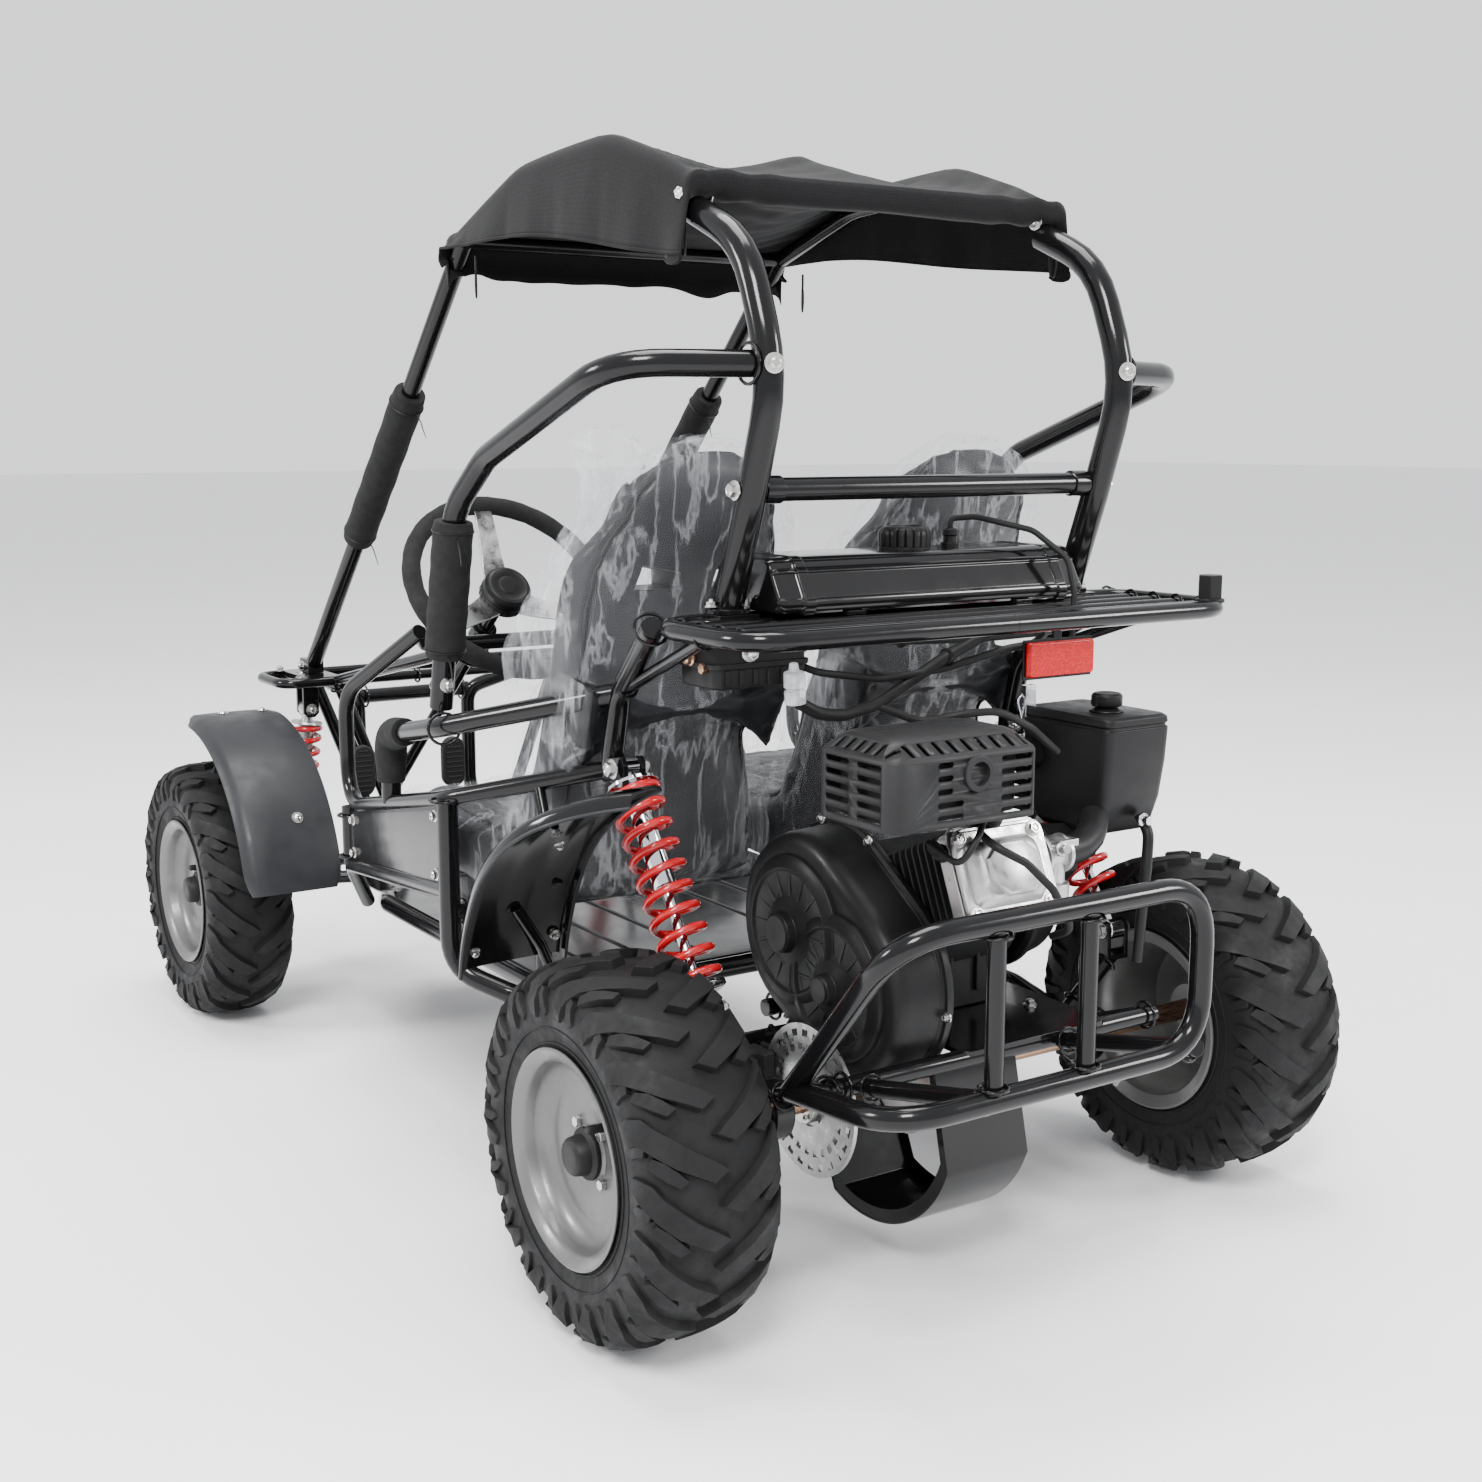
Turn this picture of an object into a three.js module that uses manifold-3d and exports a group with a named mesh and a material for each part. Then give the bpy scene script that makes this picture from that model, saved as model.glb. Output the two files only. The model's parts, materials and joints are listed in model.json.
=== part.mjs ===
// Two-seat off road go kart with a tube frame, a cloth roof and a rear engine.
// Millimetres. +Z is up, +Y points to the rear and +X to the kart's left.
// Pieces are laid out from the ground below the rear axle, and the whole kart is then
// shifted along Y so that its box is centred on the origin.
import * as THREE from "three";
import { mergeVertices } from "three/addons/utils/BufferGeometryUtils.js";
import Module from "manifold-3d";

const wasm = await Module();
wasm.setup();

// Fits
const seatGap = 0.35; // between pieces that touch
const runGap = 1.5; // between pieces that move past each other
const overrun = 4; // how far a cutting shape passes the face it cuts

// wheels
const wheelbase = 1313.5;
const rearAxleHeight = 203;
const frontAxleHeight = 205;
const rearTrackHalf = 414;
const frontTrackHalf = 427;
const rimRadius = 101.6; // bead seat of an 8 inch rim
const flangeLip = 13;
const rimWall = 3.2;
const rimWellDepth = 14;
const rearRimHalf = 70;
const frontRimHalf = 55;
const rearTyreHalf = 75;
const frontTyreHalf = 63;
const rimDiscInset = 34;
const hubRadius = 31;
const hubBoreRadius = 10.6;
const hubHalf = 17;
const treadLug = 9;
const lugCount = 8;
const lugShare = 0.56; // of the pitch from lug to lug
const lugLean = 40;

// frame tubes
const hoopTubeRadius = 16;
const railRadius = 12.7;
const lightRadius = 10.5;
const slatRadius = 7;
const frameBend = 55;
const tightBend = 28;
const hoopBend = 95;

// floor and nose
const floorHalf = 300;
const floorHeight = 248;
const floorFrontY = -900;
const floorRearY = -352;
const toeHalf = 230;
const toeY = -1080;
const toeHeight = 208;
const noseHalf = 106;
const noseY = -1190;
const noseHeight = 205;
const noseFrontY = -1440;
const panThickness = 3;
const panToeHalf = 245;
const panFrontY = -1205;
const panRearY = -356;
const seatBarHeight = 362;
const seatBarFrontY = -620;
const seatBarRearY = -400;
const towerHalf = 232;
const towerFrontY = -1372;
const towerRearY = -1252;
const towerHeight = 535;
const towerLoopReach = 92;
const towerLoopRadius = 8;
const guardFrontY = -1488;
const guardTopHeight = 470;
const guardLowHeight = 300;
const dashY = -690;
const dashHeight = 652;
const dashHalf = 320;
const dashEndRise = 22;
const columnBarY = -790;
const columnBarDrop = 16;
const noseRailRadius = 9.5;

// side frames
const postX = 425;
const postY = -400;
const postTopHeight = 504;
const postFootHeight = 322;
const midFrontX = 380;
const midFrontY = -836;
const midFrontHeight = 415;
const sillRearHeight = 389;
const sillFrontHeight = 331;
const sillEndX = 318;
const sillEndY = -935;
const loopHeight = 576;
const loopBackX = 345;
const loopBackY = -652;
const loopBackHeight = 676;
const shockTowerX = 300;
const shockTowerY = -222;
const shockTowerDrop = 90; // from the leg's knee to the shock mount
const legY = -200;
const legDrop = 88; // from the rack to the leg's knee
const upperRailX = 420;
const upperRailY = -427;
const upperRailHeight = 586;
const elbowX = 400;
const elbowY = -628;
const elbowHeight = 548;
const elbowPadRadius = 21;
const elbowPadReach = 62;
const postReturnX = 372;
const postReturnY = -330;
const postReturnHeight = 268;
const postReturnEndY = -306;

// rear rack and roll hoops
const rackHeight = 733;
const legHeight = rackHeight - legDrop;
const shockTowerHeight = legHeight - shockTowerDrop;
const rackHalf = 335;
const rackFrontY = -68;
const rackRearY = 118;
const rackCornerBend = 42;
const slatCount = 4;
const hoopHalf = 245;
const hoopFootY = -62;
const hoopTopHeight = 1166;
const hoopTopY = -122;
const hoopWaistHeight = 992;
const hoopWaistY = 8;
const crossBarHeight = 875;
const crossBarY = -22;
const crossBarRadius = 12.7;

// roof frame, posts and side arms
const roofHalf = 250;
const roofFrontY = -690;
const roofFrontHeight = 1180;
const roofRearY = -122;
const roofCrownY = -290;
const roofCrownHeight = 1243;
const roofTubeRadius = 11;
const roofCrossRadius = 9.5;
const postFootRaise = 22;
const frontPostRadius = 13;
const frontPostX = 250;
const padRadius = 24;
const padStartShare = 0.36;
const padEndShare = 0.7;
const armOuterX = 398;
const armOuterRearY = -42;
const armHeight = 1003;
const armBendY = -330;
const armBendHeight = 905;
const armFootX = 408;
const armFootY = -448;
const armFootHeight = 606;
const armKneeY = -404;
const armKneeHeight = 846;
const armRadius = 14;
const armPadTopShare = 0.06;
const armPadEndShare = 0.74;

// canopy
const canopyThickness = 3;
const canopyFrontY = -712;
const canopyRearY = -104;
const canopySkirt = 66;
const canopySag = 30;
const canopyEdgeDrop = 8;
const canopyFold = 7;
const canopyHem = 21;
const bowChord = 1.2;

// seats
const seatCentreX = 192;
const seatHalf = 189;
const seatFrontY = -704;
const seatDepth = 532; // from the front lip to the top of the back
const seatTopHeight = 928;
const seatBolster = 42;
const seatCrown = 6;
const seatTuck = 0.94;
const beltSlotX = 48;
const beltSlotWidth = 56;
const beltSlotDepth = 16;
const beltSlotHeight = 760;

// tank and boxes on the rack
const tankHalf = 216;
const tankFrontY = -152;
const tankRearY = 2;
const tankHeight = 62;
const tankTopShare = 0.68;
const capRadius = 31;
const capHeight = 24;
const capX = -4;
const capRibs = 10;
const tankEndCap = 12;
const batteryLength = 118;
const batteryWidth = 74;
const batteryHeight = 56;
const batteryX = 232;
const batteryY = -52;

// front suspension
const armPivotX = 135;
const armPivotSpread = 88;
const armBushRadius = 11;
const armBushLength = 34;
const kingpinX = 350;
const kingpinRadius = 13;
const kingpinHalf = 46;
const yokeThickness = 6;
const yokeDepth = 34;
const frontShockTopX = 262;
const frontShockTopDrop = 51; // below the tower loops
const frontShockTopHeight = towerHeight - frontShockTopDrop;
const frontShockFootX = 292;
const frontShockFootHeight = 252;
const frontShockY = -1313;
const spindleRadius = 10;
const steerArmThickness = 7;
const tieRodRadius = 6.5;
const frontFenderRadius = 283;
const frontFenderInX = 315;
const frontFenderOutX = 465;
const frontFenderSheet = 3;
const frontFenderStart = 9;
const frontFenderEnd = 93;
const fenderStayX = 341;
const fenderStayRadius = 7;

// springs and dampers
const springWire = 4.5;
const rearSpringRadius = 27;
const frontSpringRadius = 22;
const rearSpringTurns = 10;
const frontSpringTurns = 8;
const damperRadius = 13;
const damperRodRadius = 6;
const eyeRadius = 13;
const eyeHalf = 11;
const perchThickness = 5;
const perchShare = 1.6; // eye radii between an eye and its spring perch
const damperShare = 0.52;
const rodEngage = 26; // how far a rod stands in its damper at rest
const shockTravel = 40;
const rearShockFootY = -22;
const rearShockFootHeight = 322;

// steering and pedals
const columnX = 190;
const wheelHubY = -722;
const wheelHubHeight = 709;
const columnFootY = -1243;
const columnFootHeight = 281;
const columnRadius = 9;
const steerRimRadius = 138;
const steerRimTube = 13;
const steerHubRadius = 34;
const steerHubHeight = 30;
const steerDish = 26;
const spokeWidth = 30;
const spokeThickness = 4;
const pitmanLength = 35;
const pitmanThickness = 6;
const pedalY = -1184;
const pedalPivotHeight = 246;
const brakeX = 224;
const throttleX = 66;
const pedalTop = 438;
const pedalPadLength = 84;
const pedalPadWidth = 40;
const pedalPadThickness = 13;
const pedalArmRadius = 7;

// swing arm and drive
const swingPivotY = -318;
const swingPivotHeight = 248;
const swingHalf = 196;
const swingArmRadius = 15;
const swingBushRadius = 17;
const swingBushHalf = 26;
const carrierHalf = 232;
const carrierRadius = 34;
const carrierWidth = 26;
const cradleHeight = 272;
const cradleFrontY = -160;
const cradleRearY = 128;
const cradleLeftX = 62;
const cradleRightX = -150;
const cradleSheet = 6;
const axleRadius = 12.5;
const discX = 178;
const discRadius = 88;
const discThickness = 5;
const sprocketX = 46;
const sprocketRadius = 60;
const sprocketTeeth = 14;
const guardLeftX = 100;
const guardRightX = -15;
const guardRadius = 156;
const guardSheet = 3;

// engine
const cylinderX = 20;
const headRightX = -28;
const headLeftX = 100;
const headLength = 34;
const finThickness = 5;
const portX = 40;
const pipeRadius = 15;
const flangeThickness = 7;
const mufflerBevel = 16;
const airBevel = 12;
const neckRadius = 20;
const crankY = -58;
const crankHeight = 385;
const engineLeftX = 60;
const engineRightX = -118;
const engineSlant = 23;
const crankcaseRadius = 82;
const cylinderWidth = 114;
const cylinderHeight = 112;
const cylinderStart = 58;
const cylinderEnd = 236;
const finCount = 6;
const finDepth = 9;
const valveCoverWidth = 118;
const valveCoverHeight = 96;
const valveCoverDepth = 30;
const valveCoverX = 46;
const mufflerLeftX = 228;
const mufflerRightX = 34;
const mufflerRearY = 204;
const mufflerFrontY = 76;
const mufflerLow = 546;
const mufflerTop = 636;
const airLeftX = -150;
const airRightX = -252;
const airRearY = 112;
const airFrontY = -34;
const airLow = 478;
const airTop = 616;
const shroudRightX = -176;
const shroudRadius = 88;

// belt drive cover
const coverLeftX = 152;
const coverRightX = 78;
const coverSteps = 6;
const coverRim = 10;
const coverFrontY = -68;
const coverFrontHeight = 378;
const coverRearY = 14;
const coverRearHeight = 332;
const coverFrontRadius = 118;
const coverRearRadius = 112;
const coverBulge = 16;

// rear bumper
const bumperY = 330;
const bumperTopHeight = 484;
const bumperLowHeight = 310;
const bumperLeftX = 318;
const bumperRightX = -76;
const bumperRadius = 12;
const bumperPostRadius = 9.5;

// rear fenders
const rearFenderSheet = 3;
const rearFenderInX = 346;
const rearFenderOutX = 484;
const fenderLift = 3;
const fenderStayY = -300;
const rearFenderRadius = 370;
const fenderStayEndY = -230;
const fenderStayEndHeight = 426;

// Shape helpers
const sidesFor = (radius) => {
  if (radius > railRadius + seatGap * 2) return 8;
  return radius < noseRailRadius - seatGap ? 5 : 6;
};
const tubeFlat = (radius) => radius * Math.cos(Math.PI / sidesFor(radius));
const bendStep = 0.95; // radians of bend for each step of a tube
const mitreTurn = 0.52; // a gentler bend is one mitred corner
const AXES = {
  x: new THREE.Vector3(1, 0, 0),
  y: new THREE.Vector3(0, 1, 0),
  z: new THREE.Vector3(0, 0, 1),
};
const vec = (p) => new THREE.Vector3(p[0], p[1], p[2]);
const degrees = THREE.MathUtils.degToRad;
const mix = (a, b, share) => a + (b - a) * share;

// The centre line of a bent tube: straight runs joined by round bends.
class BentRoute extends THREE.Curve {
  constructor(points, bend) {
    super();
    this.stations = [];
    this.tangents = [];
    const corners = points.map(vec);
    const last = corners.length - 1;
    const add = (point, tangent) => {
      this.stations.push(point);
      this.tangents.push(tangent.clone().normalize());
    };
    add(corners[0], corners[1].clone().sub(corners[0]));
    for (let i = 1; i < last; i += 1) {
      const before = corners[i].clone().sub(corners[i - 1]);
      const after = corners[i + 1].clone().sub(corners[i]);
      const room = Math.min(
        before.length() * (i === 1 ? 0.96 : 0.48),
        after.length() * (i === last - 1 ? 0.96 : 0.48),
      );
      before.normalize();
      after.normalize();
      const turn = before.angleTo(after);
      const reach = Math.min(bend * Math.tan(turn / 2), room);
      const radius = reach / Math.tan(turn / 2);
      if (turn < mitreTurn) {
        add(corners[i], before.add(after));
        continue;
      }
      const steps = Math.max(1, Math.round(turn / bendStep));
      const inward = after.clone().addScaledVector(before, -Math.cos(turn)).normalize();
      const start = corners[i].clone().addScaledVector(before, -reach);
      for (let k = 0; k <= steps; k += 1) {
        const a = (turn * k) / steps;
        const point = start
          .clone()
          .addScaledVector(before, radius * Math.sin(a))
          .addScaledVector(inward, radius * (1 - Math.cos(a)));
        add(point, before.clone().multiplyScalar(Math.cos(a)).addScaledVector(inward, Math.sin(a)));
      }
    }
    add(corners[last], corners[last].clone().sub(corners[last - 1]));
  }
  getPoint(t) {
    return this.stations[Math.round(t * (this.stations.length - 1))].clone();
  }
  getSpacedPoints() {
    return this.stations.map((p) => p.clone());
  }
  getTangentAt(u) {
    return this.tangents[Math.round(u * (this.tangents.length - 1))].clone();
  }
}

function ringShape(radius, sides) {
  const points = [];
  for (let i = 0; i < sides; i += 1) {
    const a = (2 * Math.PI * (i + 0.5)) / sides;
    points.push(new THREE.Vector2(radius * Math.cos(a), radius * Math.sin(a)));
  }
  return new THREE.Shape(points);
}

// A three.js geometry as a solid that can be joined and cut.
function solid(geometry) {
  const bare = geometry.clone();
  bare.deleteAttribute("normal");
  bare.deleteAttribute("uv");
  const merged = mergeVertices(bare);
  const faces = new Uint32Array(merged.index.array);
  const skin = () =>
    new wasm.Manifold(
      new wasm.Mesh({
        numProp: 3,
        vertProperties: new Float32Array(merged.attributes.position.array),
        triVerts: faces,
      }),
    );
  const made = skin();
  if (made.volume() > 0) return made;
  for (let i = 0; i < faces.length; i += 3) {
    [faces[i + 1], faces[i + 2]] = [faces[i + 2], faces[i + 1]];
  }
  return skin();
}

function geometryOf(made) {
  const mesh = made.getMesh();
  const points = new Float32Array(mesh.numVert * 3);
  for (let i = 0; i < mesh.numVert; i += 1) {
    const from = i * mesh.numProp;
    points.set(mesh.vertProperties.subarray(from, from + 3), i * 3);
  }
  const geometry = new THREE.BufferGeometry();
  geometry.setAttribute("position", new THREE.BufferAttribute(points, 3));
  geometry.setIndex(new THREE.BufferAttribute(new Uint32Array(mesh.triVerts), 1));
  const flat = geometry.toNonIndexed();
  flat.computeVertexNormals();
  return flat;
}

const join = (...parts) => parts.flat().reduce((sum, next) => sum.add(next));
const cut = (body, ...tools) => tools.flat().reduce((rest, tool) => rest.subtract(tool), body);
const moved = (made, matrix) => solid(geometryOf(made).applyMatrix4(matrix));
const mirrorX = new THREE.Matrix4().makeScale(-1, 1, 1);
const bothSides = (made) => [made, moved(made, mirrorX)];

function tube(points, radius, bend = frameBend, sides = sidesFor(radius)) {
  const route = new BentRoute(points, bend);
  const settings = {
    steps: route.stations.length - 1,
    extrudePath: route,
    bevelEnabled: false,
  };
  return solid(new THREE.ExtrudeGeometry(ringShape(radius, sides), settings));
}

function box(low, high) {
  const size = high.map((value, i) => value - low[i]);
  const geometry = new THREE.BoxGeometry(size[0], size[1], size[2]);
  geometry.translate(
    (low[0] + high[0]) / 2,
    (low[1] + high[1]) / 2,
    (low[2] + high[2]) / 2,
  );
  return solid(geometry);
}

// A round bar or cone between two points.
function bar(from, to, radius, sides = sidesFor(radius), endRadius = radius) {
  const a = vec(from);
  const run = vec(to).sub(a);
  const geometry = new THREE.CylinderGeometry(endRadius, radius, run.length(), sides);
  geometry.rotateY(Math.PI / sides);
  geometry.translate(0, run.length() / 2, 0);
  const turn = new THREE.Quaternion().setFromUnitVectors(AXES.y, run.clone().normalize());
  geometry.applyQuaternion(turn);
  geometry.translate(a.x, a.y, a.z);
  return solid(geometry);
}

// A closed profile of [along, radius] points revolved round the X axis.
function lathe(profile, segments) {
  const points = profile.map(([along, radius]) => new THREE.Vector2(radius, along));
  points.push(points[0].clone());
  const geometry = new THREE.LatheGeometry(points, segments);
  geometry.rotateY(Math.PI / segments);
  geometry.rotateZ(-Math.PI / 2);
  return solid(geometry);
}

// An outline of [y, z] points extruded along X from one place to another.
function sideProfile(outline, fromX, toX) {
  const shape = new THREE.Shape(outline.map(([y, z]) => new THREE.Vector2(y, z)));
  const depth = toX - fromX;
  const geometry = new THREE.ExtrudeGeometry(shape, { depth, bevelEnabled: false });
  const frame = new THREE.Matrix4().makeBasis(AXES.y, AXES.z, AXES.x);
  geometry.applyMatrix4(frame);
  geometry.translate(fromX, 0, 0);
  return solid(geometry);
}

// An outline of [x, z] points extruded along Y from one place to another.
function frontProfile(outline, fromY, toY) {
  const shape = new THREE.Shape(outline.map(([x, z]) => new THREE.Vector2(x, z)));
  const geometry = new THREE.ExtrudeGeometry(shape, { depth: toY - fromY, bevelEnabled: false });
  const frame = new THREE.Matrix4().makeBasis(AXES.x, AXES.z, AXES.y);
  geometry.applyMatrix4(frame);
  geometry.translate(0, fromY, 0);
  return solid(geometry);
}

// A U-shaped bracket's outline: two cheeks out to a reach, and a web that joins them.
function channel(middle, innerHalf, sheetWidth, web, reach) {
  const outerHalf = innerHalf + sheetWidth;
  const inside = web + Math.sign(reach - web) * sheetWidth;
  return [
    [middle - outerHalf, web],
    [middle + outerHalf, web],
    [middle + outerHalf, reach],
    [middle + innerHalf, reach],
    [middle + innerHalf, inside],
    [middle - innerHalf, inside],
    [middle - innerHalf, reach],
    [middle - outerHalf, reach],
  ];
}

// An outline of [x, y] points extruded along Z from one height to another.
function plan(outline, fromZ, toZ) {
  const shape = new THREE.Shape(outline.map(([x, y]) => new THREE.Vector2(x, y)));
  const geometry = new THREE.ExtrudeGeometry(shape, { depth: toZ - fromZ, bevelEnabled: false });
  geometry.translate(0, 0, fromZ);
  return solid(geometry);
}

// Rings of equal point count joined into one closed skin with flat ends.
function loft(rings) {
  const count = rings[0].length;
  const points = rings.flat().flatMap((p) => [p[0], p[1], p[2]]);
  const faces = [];
  for (let r = 0; r + 1 < rings.length; r += 1) {
    for (let i = 0; i < count; i += 1) {
      const next = (i + 1) % count;
      const a = r * count + i;
      const b = r * count + next;
      const c = (r + 1) * count + next;
      const d = (r + 1) * count + i;
      faces.push(a, b, c, a, c, d);
    }
  }
  const ends = [
    [rings[0], 0],
    [rings[rings.length - 1], (rings.length - 1) * count],
  ];
  ends.forEach(([ring, base], which) => {
    const middle = [0, 1, 2].map((k) => ring.reduce((sum, p) => sum + p[k], 0) / count);
    const centre = points.length / 3;
    points.push(...middle);
    for (let i = 0; i < count; i += 1) {
      const next = (i + 1) % count;
      if (which === 0) faces.push(centre, base + next, base + i);
      else faces.push(centre, base + i, base + next);
    }
  });
  const geometry = new THREE.BufferGeometry();
  geometry.setAttribute("position", new THREE.Float32BufferAttribute(points, 3));
  geometry.setIndex(faces);
  return solid(geometry);
}

// A closed sheet between two grids of points, an upper and an under one.
function sheet(upper, under) {
  const rows = upper.length;
  const columns = upper[0].length;
  const points = [...upper.flat(), ...under.flat()].flatMap((p) => [p[0], p[1], p[2]]);
  const at = (layer, r, c) => layer * rows * columns + r * columns + c;
  const faces = [];
  const quad = (a, b, c, d) => faces.push(a, b, c, a, c, d);
  for (let r = 0; r + 1 < rows; r += 1) {
    for (let c = 0; c + 1 < columns; c += 1) {
      quad(at(0, r, c), at(0, r, c + 1), at(0, r + 1, c + 1), at(0, r + 1, c));
      quad(at(1, r, c), at(1, r + 1, c), at(1, r + 1, c + 1), at(1, r, c + 1));
    }
    quad(at(0, r, 0), at(0, r + 1, 0), at(1, r + 1, 0), at(1, r, 0));
    const last = columns - 1;
    quad(at(0, r + 1, last), at(0, r, last), at(1, r, last), at(1, r + 1, last));
  }
  for (let c = 0; c + 1 < columns; c += 1) {
    quad(at(0, 0, c + 1), at(0, 0, c), at(1, 0, c), at(1, 0, c + 1));
    const last = rows - 1;
    quad(at(0, last, c), at(0, last, c + 1), at(1, last, c + 1), at(1, last, c));
  }
  const geometry = new THREE.BufferGeometry();
  geometry.setAttribute("position", new THREE.Float32BufferAttribute(points, 3));
  geometry.setIndex(faces);
  return solid(geometry);
}

// Rings of points joined one to the next and the last to the first.
function hoopOf(rings) {
  const count = rings[0].length;
  const points = rings.flat().flatMap((p) => [p[0], p[1], p[2]]);
  const faces = [];
  rings.forEach((ring, r) => {
    for (let i = 0; i < count; i += 1) {
      const a = r * count + i;
      const b = r * count + ((i + 1) % count);
      const c = ((r + 1) % rings.length) * count + ((i + 1) % count);
      const d = ((r + 1) % rings.length) * count + i;
      faces.push(a, b, c, a, c, d);
    }
  });
  const geometry = new THREE.BufferGeometry();
  geometry.setAttribute("position", new THREE.Float32BufferAttribute(points, 3));
  geometry.setIndex(faces);
  return solid(geometry);
}

// A coil spring of round wire from one point to another; the least gap is measured.
const coilSteps = 7;
const wireSides = 5;
const springGaps = [];
class Coil extends THREE.Curve {
  constructor(length, radius, turns) {
    super();
    Object.assign(this, { length, radius, turns });
  }
  getPoint(t) {
    const a = 2 * Math.PI * this.turns * t;
    return new THREE.Vector3(
      this.radius * Math.cos(a),
      this.radius * Math.sin(a),
      this.length * t,
    );
  }
}
function coil(from, to, radius, turns) {
  const run = vec(to).sub(vec(from));
  const wireLength = run.length() - 2 * springWire;
  const curve = new Coil(wireLength, radius, turns);
  const steps = coilSteps * turns;
  const geometry = new THREE.ExtrudeGeometry(ringShape(springWire, wireSides), {
    steps,
    extrudePath: curve,
    bevelEnabled: false,
  });
  springGaps.push(leastCoilGap(curve, turns));
  geometry.translate(0, 0, springWire);
  const turn = new THREE.Quaternion().setFromUnitVectors(AXES.z, run.clone().normalize());
  geometry.applyQuaternion(turn);
  geometry.translate(from[0], from[1], from[2]);
  return solid(geometry);
}
function leastCoilGap(curve, turns) {
  const samples = 12 * turns;
  let least = Infinity;
  for (let i = 0; i <= samples; i += 1) {
    for (let j = i + 8; j <= samples; j += 1) {
      const a = curve.getPoint(i / samples);
      least = Math.min(least, a.distanceTo(curve.getPoint(j / samples)) - 2 * springWire);
    }
  }
  return least;
}

// The group and its finishes
const group = new THREE.Group();
const kart = new THREE.Group();
group.add(kart);

function finish(colour, roughness, metalness) {
  return () => new THREE.MeshStandardMaterial({ color: colour, roughness, metalness });
}
const blackPaint = finish(0x0b0b0d, 0.22, 0.35);
const satinBlack = finish(0x141416, 0.55, 0.1);
const foam = finish(0x17181a, 0.9, 0);
const cloth = finish(0x111113, 0.88, 0);
const seatCloth = finish(0x1c1e22, 0.6, 0);
const rubber = finish(0x161617, 0.8, 0);
const silver = finish(0x9c9c98, 0.42, 0.7);
const greyPlastic = finish(0x3a3c3f, 0.5, 0);
const glossPlastic = finish(0x0d0e11, 0.2, 0);
const redPaint = finish(0xb3161c, 0.3, 0.2);
const chrome = finish(0xb9bcc0, 0.18, 0.95);
const castMetal = finish(0xa8a9a6, 0.35, 0.85);
const darkCast = finish(0x232427, 0.55, 0.4);
const goldZinc = finish(0xb58e62, 0.35, 0.8);

function place(name, made, material, x = 0, y = 0, z = 0) {
  const mesh = new THREE.Mesh(geometryOf(made), material());
  mesh.name = name;
  mesh.position.set(x, y, z);
  kart.add(mesh);
  return mesh;
}

// The same piece on the left, and mirrored on the right.
const leftSide = new THREE.Group();
const rightSide = new THREE.Group();
rightSide.scale.x = -1;
kart.add(leftSide, rightSide);
function pair(name, made, material, x = 0, y = 0, z = 0) {
  const geometry = geometryOf(made);
  [
    [leftSide, "_left"],
    [rightSide, "_right"],
  ].forEach(([side, ending]) => {
    const mesh = new THREE.Mesh(geometry, material());
    mesh.name = name + ending;
    mesh.position.set(x, y, z);
    side.add(mesh);
  });
}

// Side frame routes
const midRail = [
  [shockTowerX, shockTowerY, shockTowerHeight],
  [postX, postY, postTopHeight],
  [midFrontX, midFrontY, midFrontHeight],
  [midFrontX, midFrontY, loopHeight],
  [loopBackX, loopBackY, loopBackHeight],
];
const postRoute = [
  [postX, postY, postTopHeight],
  [postX, postY, postFootHeight - frameBend / 2],
  [postReturnX, postReturnY, postReturnHeight],
  [floorHalf, postReturnEndY, floorHeight],
];
const sillRoute = [
  [postX, postY, sillRearHeight],
  [midFrontX, midFrontY, sillFrontHeight],
  [sillEndX, sillEndY, floorHeight],
];
const elbowShare = (postY - elbowY) / (postY - midFrontY); // how far along the middle rail
const upperRoute = [
  [mix(postX, midFrontX, elbowShare), elbowY, mix(postTopHeight, midFrontHeight, elbowShare)],
  [elbowX, elbowY, elbowHeight],
  [upperRailX, upperRailY, upperRailHeight],
  [shockTowerX, legY, legHeight],
];
const legRoute = [
  [rackHalf, rackFrontY, rackHeight],
  [shockTowerX, legY, legHeight],
  [shockTowerX, shockTowerY, shockTowerHeight],
];

// Floor frame with nose
const floorRail = [
  [floorHalf, floorRearY, floorHeight],
  [floorHalf, floorFrontY, floorHeight],
  [toeHalf, toeY, toeHeight],
  [noseHalf, noseY, noseHeight],
  [noseHalf, noseFrontY, noseHeight],
  [noseHalf, guardFrontY, guardLowHeight],
  [noseHalf, guardFrontY, guardTopHeight],
  [towerHalf, towerFrontY, towerHeight],
];
const across = (y, z, half, radius) => bar([-half, y, z], [half, y, z], radius);
const noseRail = [
  [towerHalf, towerRearY, towerHeight],
  [towerHalf, columnBarY, dashHeight - dashEndRise],
  [towerHalf, dashY, dashHeight],
];
const noseRailAt = (y) =>
  mix(towerHeight, dashHeight - dashEndRise, (y - towerRearY) / (columnBarY - towerRearY));
const along = (a, b, share) => [0, 1, 2].map((i) => mix(a[i], b[i], share));
const dashEnd = along([loopBackX, loopBackY, loopBackHeight], [dashHalf, dashY, dashHeight], 0.13);
const dashRoute = [
  [-dashEnd[0], dashEnd[1], dashEnd[2]],
  [-dashHalf, dashY, dashHeight],
  [dashHalf, dashY, dashHeight],
  dashEnd,
];
const towerLoop = [
  [noseHalf, towerRearY, towerHeight],
  [towerHalf + towerLoopReach, towerRearY, towerHeight],
  [towerHalf + towerLoopReach, towerFrontY, towerHeight],
  [noseHalf, towerFrontY, towerHeight],
];
const towerLeg = (y) =>
  bar([noseHalf, y, noseHeight], [towerHalf, y, towerHeight], lightRadius);

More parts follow.
